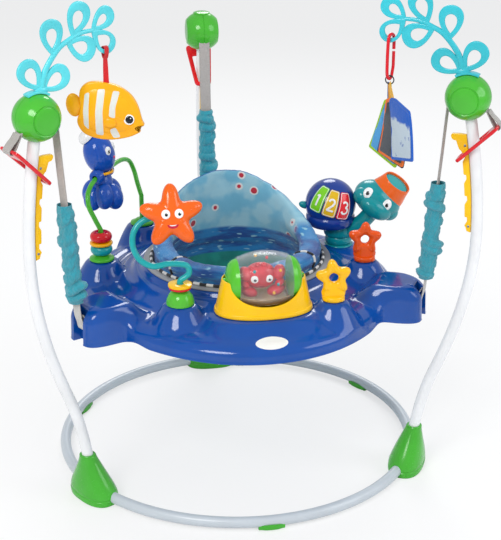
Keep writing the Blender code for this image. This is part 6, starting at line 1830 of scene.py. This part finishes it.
for number, colour in KEY_COLOURS.items():
    outline = key_outline(number)
    rows = [on_ball(outline, 0.0516), on_ball(outline, 0.0555), on_ball(shrunk(outline, 0.985), 0.0562),
        on_ball(shrunk(outline, 0.955), KEY_RADIUS)]
    rows += [on_ball(shrunk(outline, share), KEY_RADIUS) for share in (0.8, 0.62, 0.44, 0.26, 0.1, 0.01)]
    frame_line = [on_ball(shrunk(outline, share), radius) for share, radius in ((0.885, 0.05655),
        (0.875, 0.0569), (0.805, 0.0569), (0.795, 0.05655))]
    marks = [skin(frame_line + frame_line[:1], closed=True)]
    middle_x, middle_y = KEY_SPREAD * (number - 2), blend(KEY_LOW, KEY_HIGH, 0.44)
    for stroke in STROKES[number]:
        line = []
        for x, y, _ in flowing([(x, y, 0) for x, y in stroke], 20):
            line.append(ball_point(middle_x
                + degrees(x * STROKE_SCALE / KEY_RADIUS) / cos(radians(middle_y)),
                middle_y + degrees(y * STROKE_SCALE / KEY_RADIUS), STROKE_RADIUS))
        marks.append(swept(line, oval(0.0021, 0.0005, 14), first_side=line[0]))
    coat = moulded(f"key_{number}_colour", colour, 0.16, 0.5)
    piece(f"turtle_key_{number}", skin(rows), coat, f"key_{number}", f"key_{number}", place=shell_at)
    piece(f"key_numeral_{number}", fused(*marks), KEY_WHITE, f"key_{number}", place=shell_at)


# The star loops: a yellow and an orange star with a hole to grip, moulded with a thick stem and a
# collar that snaps into the tray.
LOOP_SPAN = 0.073
LOOP_THICKNESS = 0.018
LOOP_MIDDLE = 0.045
LOOP_HOLE = 0.018
LOOP_ORANGE = "#E8520A"


def loop_shape(lean):
    star = hoop(star_outline(LOOP_SPAN, 0.66), circle(LOOP_HOLE / 2, STAR_POINTS, start=pi / 2),
        LOOP_THICKNESS, 16, 0.8)
    bmesh.ops.scale(star, vec=(0.95, 1, 1), verts=star.verts)
    star = placed(star, moved(0, 0, LOOP_MIDDLE) @ turn_about("Y", lean) @ turn_about("X", 90))
    stem = skin([[(x, y, height) for x, y in oval(wide, deep, 48)]
        for height, wide, deep in ((0.008, 0.02, 0.011), (0.01, 0.0225, 0.0122), (0.016, 0.0232, 0.0112),
        (0.024, 0.0205, 0.0096), (0.032, 0.0165, 0.0084), (0.034, 0.015, 0.007))])
    collar = spun([(0, 0.0003), (0.0202, 0.0003), (0.0214, 0.0014), (0.022, 0.0046), (0.0217, 0.0082),
        (0.0204, 0.0098), (0.018, 0.0106), (0, 0.0106)], 56)
    tabs = [placed(rounded_box((0.005, 0.01, 0.006), 0.0012), facing_tab)
        for facing_tab in [turn_about("Z", turn) @ moved(0.0208, 0, 0.0046) for turn in (-140, -40, 40,
        140)]]
    bumps = []
    for arm in range(5):
        turn = radians(90 + 72 * arm)
        bumps.append(placed(button((0, 0, 0), (0, -1, 0), 0.0022, 0.0012, sides=16),
            moved(0, 0, LOOP_MIDDLE) @ turn_about("Y", lean) @ moved(0.0245 * cos(turn) * 0.95, -0.0084,
            0.0245 * sin(turn))))
    return fused(star, stem, collar, *tabs, *bumps)


for name, spot, colour, lean in (("yellow", (0.141, -0.256), "#FFC20A", -8), ("orange", (0.253, -0.064),
        LOOP_ORANGE, 2)):
    piece(f"gripping_star_{name}", loop_shape(lean), moulded(f"loop_{name}", colour, 0.17, 0.45), "tray",
        f"star_loop_{name}", on_tray(*spot, MOUNT_TOP, -9))


# The seaweed: two flat arched sprigs of cyan nylon, one on the left hub and one on the right, with a
# raised stem and open drop-shaped leaves. Each foot is screwed down beside a green knob.
WEED_REACH = 0.114
WEED_RISE = 0.094
WEED_STEM = 0.008
WEED_THICKNESS = 0.006
LEAF_LENGTH = 0.062
LEAF_WIDTH = 0.046
LEAF_RIM = 0.0065
LEAF_TURN = 48
SADDLE_RADIUS = 0.0458
WEED_LEAVES = ((0.03, -1, 1), (0, 1, 1), (0.37, -1, 1), (0.51, 1, 1), (0.67, -1, 1), (1, -0.7, 0.85),
    (1, 0.9, 0.95))
WEED_CYAN = {"left": "#5AD3DE", "right": "#38C1D0"}


def weed_stem(count):
    base, foot = HUB_HEIGHT + HUB_DIAMETER / 2 + 0.0003, HUB_RADIUS - 0.012
    shares = ((0, 0.03), (0.1, 0.39), (0.33, 0.73), (0.54, 0.88), (0.76, 0.98), (1, 1))
    return flowing([(foot - WEED_REACH * x, base + WEED_RISE * z, 0) for x, z in shares], count)


def flat_band(half_width, half_thickness, soft, steps=3):
    """The outline of a flat band, its corners softened by a share of its halves."""
    corners = softened([(-1, -1), (1, -1), (1, 1), (-1, 1)], soft, steps)
    return [(x * half_width, y * half_thickness) for x, y in corners]


def leaf_edges(share, side, size):
    """Edge and hole of a leaf that grows from the stem at a share of its length."""
    stem = weed_stem(10)
    here = min(round(share * 9), 8)
    along = (stem[here + 1] - stem[here]).normalized()
    turn = atan2(along.y, along.x) + radians(side * LEAF_TURN)
    base = stem[here + 1] - along * (WEED_STEM / 3) if share == 1 else stem[here]
    length, width = LEAF_LENGTH * size, LEAF_WIDTH * size
    edges = []
    holes = {True: (0.24, 1.6, 2), False: (0.22, 2.1, 3.1)}[share == 1 and side > 0]
    hole = (holes[0] * length, length - holes[1] * LEAF_RIM, width - holes[2] * LEAF_RIM)
    longer, wider = (1.01, 1.04) if share == 1 and side > 0 else (1.055, 1.16)
    for start, end, wide in ((0, length * longer, width * wider), hole):
        edge = []
        for step in range(72):
            angle = 2 * pi * step / 72
            x = blend(start, end, 0.5 - 0.5 * cos(angle))
            y = wide / 2 * sin(angle) * (1.12 * sin(angle / 2))**0.9
            edge.append((base.x + x * cos(turn) - y * sin(turn), base.y + x * sin(turn) + y * cos(turn)))
        edges.append(edge)
    if share == 1 and side > 0:
        low = min(edges[1], key=lambda point: point[1])
        edges[1] = [(blend(low[0], x, 0.94), blend(low[1], y, 0.94)) for x, y in edges[1]]
    return edges


def weed_shape():
    parts = [hoop(*leaf_edges(*leaf), WEED_THICKNESS - 0.0004 * (number % 3), 16, 0.42)
        for number, leaf in enumerate(WEED_LEAVES)]
    line = weed_stem(64)
    parts.append(swept(line, oval(0.0062, 0.0048, 20), swell=between(1, 0.62, 64)))
    parts.append(ball((0.0058, 0.0058, 0.0052), line[-1], rings=12, sides=18))
    saddle = [(HUB_RADIUS + SADDLE_RADIUS * cos(turn), HUB_HEIGHT + SADDLE_RADIUS * sin(turn), 0)
        for turn in fan(66, 123, 25)]
    parts.append(swept(saddle, [(y, x) for x, y in flat_band(0.0085, 0.0024, 0.28, 4)]))
    parts.append(ball((0.03, 0.016, 0.012), (HUB_RADIUS - 0.0135, HUB_HEIGHT + HUB_DIAMETER / 2 + 0.0035,
        0)))
    return fused(*parts)


for side in ("left", "right"):
    upright = facing(POST_AZIMUTHS[side]) @ turn_about("X", 90)
    WEED_PLASTIC = moulded(f"weed_cyan_{side}", WEED_CYAN[side], 0.2, 0.35)
    piece(f"seaweed_sprig_{side}", weed_shape(), WEED_PLASTIC, "frame", f"seaweed_{side}",
        upright, 50)
    crown = facing(POST_AZIMUTHS[side]) @ moved(HUB_RADIUS, 0, HUB_HEIGHT)
    front = -1 if side == "right" else 1
    knob = placed(spun([(0, 0.0052), (0.004, 0.005), (0.0066, 0.0036), (0.0074, 0.0012), (0.0074, -0.004),
        (0, -0.004)], 32), turn_about("Y", 8) @ turn_about("X", front * 16) @ moved(0, 0, 0.0425))
    piece(f"hub_knob_{side}", knob, HUB_PLASTIC, "frame", place=crown)
    screw = placed(spun([(0, 0.0006), (0.0012, 0.0004), (0.0014, 0.0016), (0.003, 0.0014), (0.0034, 0.0002),
        (0.0034, -0.004), (0, -0.004)], 24), turn_about("Y", -12) @ turn_about("X", front * 17) @ moved(0,
        0, 0.0438))
    piece(f"weed_screw_{side}", screw, SCREW_METAL.material, "frame", place=crown)


# The fish: a flat yellow moulding with raised fins and white stripes, swinging on a folded red ribbon
# that is looped over the rim of the left sprig's last leaf.
FISH_THICKNESS = 0.026
FISH_YAW = -10.5
FISH_DROP = 0.1128
FISH_SHIFT = -0.003
FISH_YELLOW = "#FDAE08"
RIBBON_RED = "#D8121E"
FISH_EDGE = ((69.7, -27.6), (66.2, -17.6), (59.3, 8.6), (48.8, 27.2), (31.4, 41.8), (13.9, 49.4),
    (-7, 53.2), (-24.4, 53.2), (-34.9, 49.4), (-43.6, 41), (-46.7, 28.6), (-46.2, 18), (-45.3, 12.4),
    (-47.1, -2.6), (-51.6, -13.9), (-51.6, -24.5), (-45.3, -37), (-34.9, -45.4), (-17.4, -51.6),
    (5.2, -54.4), (26.1, -52.6), (43.6, -48.6), (55.8, -43.6), (63, -38.4), (56.4, -33.4), (58, -31.4))
FISH_STRIPES = (((-36, 33), (-27, 36), (-30, 6), (-31, -35), (-40, -26), (-40.5, 0)),
    ((-12, 41.5), (1.5, 41.5), (-4.5, 0), (-4.5, -46), (-18.5, -43.5), (-18, 0)), ((15.6, 38.6), (28, 36.6),
    (19, 8), (18, -12.5), (6.5, -9), (8.5, 10)), ((17.6, -29), (22, -38), (26.4, -49), (13.5, -50.5),
    (8.5, -41), (7.5, -34)))


def both_sides(shape):
    """A shape and its mirror image on the far side of its plane."""
    other = shape.copy()
    bmesh.ops.scale(other, vec=(1, 1, -1), verts=other.verts)
    bmesh.ops.reverse_faces(other, faces=other.faces)
    return fused(shape, other)


def closed_line(points, count):
    """A smooth closed line of evenly spaced points through an outline's corners."""
    wrapped = [points[-2], points[-1], *points, points[0], points[1]]
    line = flowing([(x, y, 0) for x, y in wrapped], count * 3)
    start = min(range(len(line) // 2), key=lambda here: (line[here].xy - Vector(points[0])).length)
    end = min(range(len(line) // 2, len(line)), key=lambda here: (line[here].xy - Vector(points[0])).length)
    return [tuple(line[round(blend(start, end, step / count))].xy) for step in range(count)]


hang = min(leaf_edges(1, 0.9, 0.95)[1], key=lambda point: point[1])
left_rim = facing(POST_AZIMUTHS["left"]) @ moved(hang[0], 0, hang[1])
right_rim = facing(POST_AZIMUTHS["right"]) @ moved(hang[0], 0, hang[1])
fish_at = (Matrix.Translation(left_rim.translation - UPWARDS * FISH_DROP) @ turn_about("Z", FISH_YAW)
    @ moved(FISH_SHIFT, 0, 0) @ turn_about("X", 90))
edge = closed_line([(x / 1000, y / 1000) for x, y in FISH_EDGE], 150)
fins = slab(edge, 0.015, 0.003, 3)
bulge = puffed([(x * 0.895, y * 0.89 - 0.0004) for x, y in edge], FISH_THICKNESS + 0.001, steps=16)
fish_tree = BVHTree.FromBMesh(fused(fins.copy(), bulge.copy()))
fish_parts = [fins, bulge, ball((0.029, 0.044, 0.0125), (-0.0575, 0.01, 0), (0, 0, 6)),
    ball((0.018, 0.014, 0.01), (-0.048, 0.007, 0))]
for way in (-1, 1):
    fish_parts.append(ball((0.024, 0.0185, 0.006), (0.008, -0.0205, way * 0.0136), (0, 0, -8)))
piece("hanging_fish", fused(*fish_parts), moulded("fish_yellow", FISH_YELLOW, 0.3, 0.2), "fish", "toy_fish",
    fish_at, 50)
stripes = [both_sides(decal(fish_tree, filled(softened([(x / 1000, y / 1000) for x, y in stripe], 0.004, 6),
    0.002), 0.0003)) for stripe in FISH_STRIPES]
piece("fish_stripes", fused(*stripes), moulded("stripe_white", "#DCDDD7", 0.28, 0.2), "fish", place=fish_at)
spot, normal = on_surface(fish_tree, 0.043, -0.015)
rim = both_sides(button(spot, normal + UPWARDS * 2, 0.0096, 0.001, up=(0, 1, 0)))
iris = both_sides(button(spot + Vector((0.0006, 0, 0.0006)), normal + UPWARDS * 2, 0.0072, 0.0016,
    up=(0, 1, 0)))
glint = both_sides(button(spot + Vector((0.003, 0.0028, 0.0016)), normal + UPWARDS * 2, 0.0012, 0.0009,
    up=(0, 1, 0), sides=14))
piece("fish_eyes", fused((rim, 0), (iris, 1), (glint, 0)), [EYE_GLOSS, PUPIL_GLOSS], "fish", place=fish_at)
RIBBON_CLOTH = woven("red_ribbon", RIBBON_RED)
loop_line = flowing([(0, 0, -0.0178), (0, -0.003, -0.0142), (0, -0.0054, -0.006), (0, -0.0053, 0.001),
    (0, -0.0034, 0.0045), (0, 0, 0.0056), (0, 0.0034, 0.0045), (0, 0.0053, 0.001), (0, 0.0054, -0.006),
    (0, 0.003, -0.0142), (0, 0.0004, -0.0178)], 60)
loop = swept(loop_line, [(y, x) for x, y in flat_band(0.0045, 0.0005, 0.5)], first_side=(1, 0, 0))
tails = []
for way in (-1, 1):
    rings = []
    for step in range(25):
        share = step / 24
        turn = radians(blend(0, 139.5 - 180, smooth_step(share)))
        across = Vector((cos(turn), sin(turn), 0))
        ahead = Vector((-sin(turn), cos(turn), 0))
        wide = blend(0.004, 0.0052, share) * (0.72 if step == 1 else 1)
        middle = ahead * way * blend(0.0007, 0.0012, share) + UPWARDS * blend(-0.014, -0.064, share)
        rings.append([middle + across * x + ahead * y for x, y in flat_band(wide, 0.0005, 0.4)])
    tails.append(skin(rings))
knot = ball((0.0098, 0.0068, 0.005), (0, 0, -0.0155), rings=14, sides=22)
piece("fish_ribbon", fused(loop, *tails, knot), RIBBON_CLOTH, "fish", place=left_rim)


# The link and the cards: a long red link over the right sprig's last leaf, and four padded cloth cards
# that hang from it on a dark ring by bright tabs.
LINK_ROD = 0.0055
LINK_HEIGHT = 0.088
LINK_REST = 0.0022
LINK_GIRTH = 0.0031
RING_REACH = 0.008
RING_WIRE = 0.0012
LINK_RED = "#DB1426"
CARD_THICKNESS = 0.0042
CARD_PITCH = 0.0062
CARDS = (("front", -48, -6, 0.027, 0.0116, "#0A5CC4", "#0A5CC4", "#C6D6E2", "#F5B81A"),
    ("second", -42, 12.8, 0.007, 0.0188, "#F2731A", "#33373D", "#454A52", "#E8A014"),
    ("third", -38.5, 16.5, 0.004, 0.023, "#15213F", "#2A4C8C", "#3D6FC0", "#A8D81E"),
    ("back", -34, 24, -0.009, 0.0275, "#A0D016", "#1F8AD8", "#4FA8E6", "#1540A8"))


def card_cotton(name, face, lower):
    """Printed satin: a plain face, paler in its lower part, with soft dabs of both colours."""
    finish = Finish(name, face, 0.55, sheen_weight=0.3, sheen_roughness=0.4)
    here = finish.place()
    height = finish.axes(here)[2]
    cloud = finish.noise(here, 42, 4, 0.6)
    thread = (height * 6500).sine() * 0.5 + 0.5
    pale = (height + cloud * 0.03).rises(0.768, 0.76)
    colour = finish.mix(pale, finish.colour, tint(lower))
    colour = finish.mix(cloud.rises(0.6, 0.66) * pale * 0.6, colour, shaded(finish.colour, 0.8))
    finish.set("Base Color", finish.mix(thread * 0.1, colour, (0.02, 0.03, 0.05, 1)))
    finish.bump(thread * 0.3 + finish.noise(here, 60, 3) * 2, 0.0006)
    return finish.material


def card_shape(number, outline):
    """A card with a bound edge, bent a little as padded cloth hangs."""
    face = slab(shrunk(outline, 0.97), CARD_THICKNESS * 0.86, 0.0012)
    bound = hoop(outline, shrunk(outline, 0.86), CARD_THICKNESS, 14, 0.5)
    cloth = fused((face, 0), (bound, 1))
    for vert in cloth.verts:
        vert.co.z += 0.0032 * sin(vert.co.y * 21 + number * 0.2) * smooth_step(-vert.co.y / 0.05)
    return cloth


swivel_low = LINK_REST + LINK_ROD * 3 / 2 - LINK_HEIGHT
low, top = swivel_low, LINK_REST + LINK_GIRTH + 0.0014
link_line = flowing([(0, 0, low), (0, -0.0052, low + 0.0024), (0, -0.0092, low + 0.0105),
    (0, -0.01, low + 0.034), (0, -0.0096, top - 0.024), (0, -0.0084, top - 0.0085),
    (0, -0.0054, top - 0.0022), (0, 0, top), (0, 0.0062, top - 0.0026), (0, 0.009, top - 0.0105),
    (0, 0.0094, top - 0.029)], 100)
link_end = flowing([(0, 0, low), (0, 0.0046, low + 0.0036), (0, 0.0078, low + 0.015),
    (0, 0.0094, low + 0.023), (0, 0.0094, low + 0.034), (0, 0.0094, top - 0.0335)], 60)
link = fused(swept(link_line, circle(LINK_GIRTH, 22), first_side=(1, 0, 0)),
    swept(link_end, circle(LINK_GIRTH * 0.96, 22), first_side=(1, 0, 0)), ball((LINK_GIRTH * 1.96,) * 3,
    (0, 0, low), rings=12, sides=18))
piece("long_link", link, moulded("link_red", LINK_RED, 0.16, 0.45), "link", "toy_link",
    right_rim @ turn_about("Z", -22))
ring_at = right_rim @ moved(0, 0, swivel_low)
ring_middle = LINK_GIRTH + 0.0016 + RING_WIRE - RING_REACH
ring_line = [Vector((RING_REACH * x, 0, ring_middle + RING_REACH * z)) for x, z in circle(1, 48)]
piece("card_ring", swept(ring_line, circle(RING_WIRE, 12), cyclic=True), moulded("ring_dark", "#2A2C33",
    0.3, 0.1), "cards", place=ring_at)
page = [(-0.008, -0.012), (0, -0.007), (0.014, -0.007), (0.068, -0.024), (0.076, -0.117), (-0.006, -0.126)]
outline = filled(softened(page, 0.0045, 5), 0.006)
for number, (name, yaw, roll, slide, drop, border, colour, lower, tab_colour) in enumerate(CARDS):
    place = (ring_at @ moved(0, 0, ring_middle - RING_REACH) @ turn_about("Z", yaw) @ moved(slide,
        CARD_PITCH * (number - 1.5), -drop) @ turn_about("Y", roll) @ turn_about("X", 90))
    card = piece(f"cloth_card_{name}", card_shape(number, outline),
        [card_cotton(f"card_face_{name}", colour, lower), woven(f"card_border_{name}", border)], "cards",
        "toy_cards" if number == 0 else (), place)
    back = ring_at.inverted() @ place
    eye = Vector((0, 0, ring_middle - RING_REACH))
    held, deep = back @ Vector((0.004, -0.01, 0)), back @ Vector((0.006, -0.024, 0))
    line = flowing([eye + UPWARDS * (RING_WIRE * 2), eye + (held - eye) * 0.25, eye + (held - eye) * 0.65,
        held, deep], 24)
    tab = swept(line, flat_band(0.0052, 0.0007, 0.5), first_side=back.to_3x3() @ UPWARDS)
    piece(f"card_tab_{name}", tab, woven(f"tab_{name}", tab_colour), "cards",
        place=ring_at)
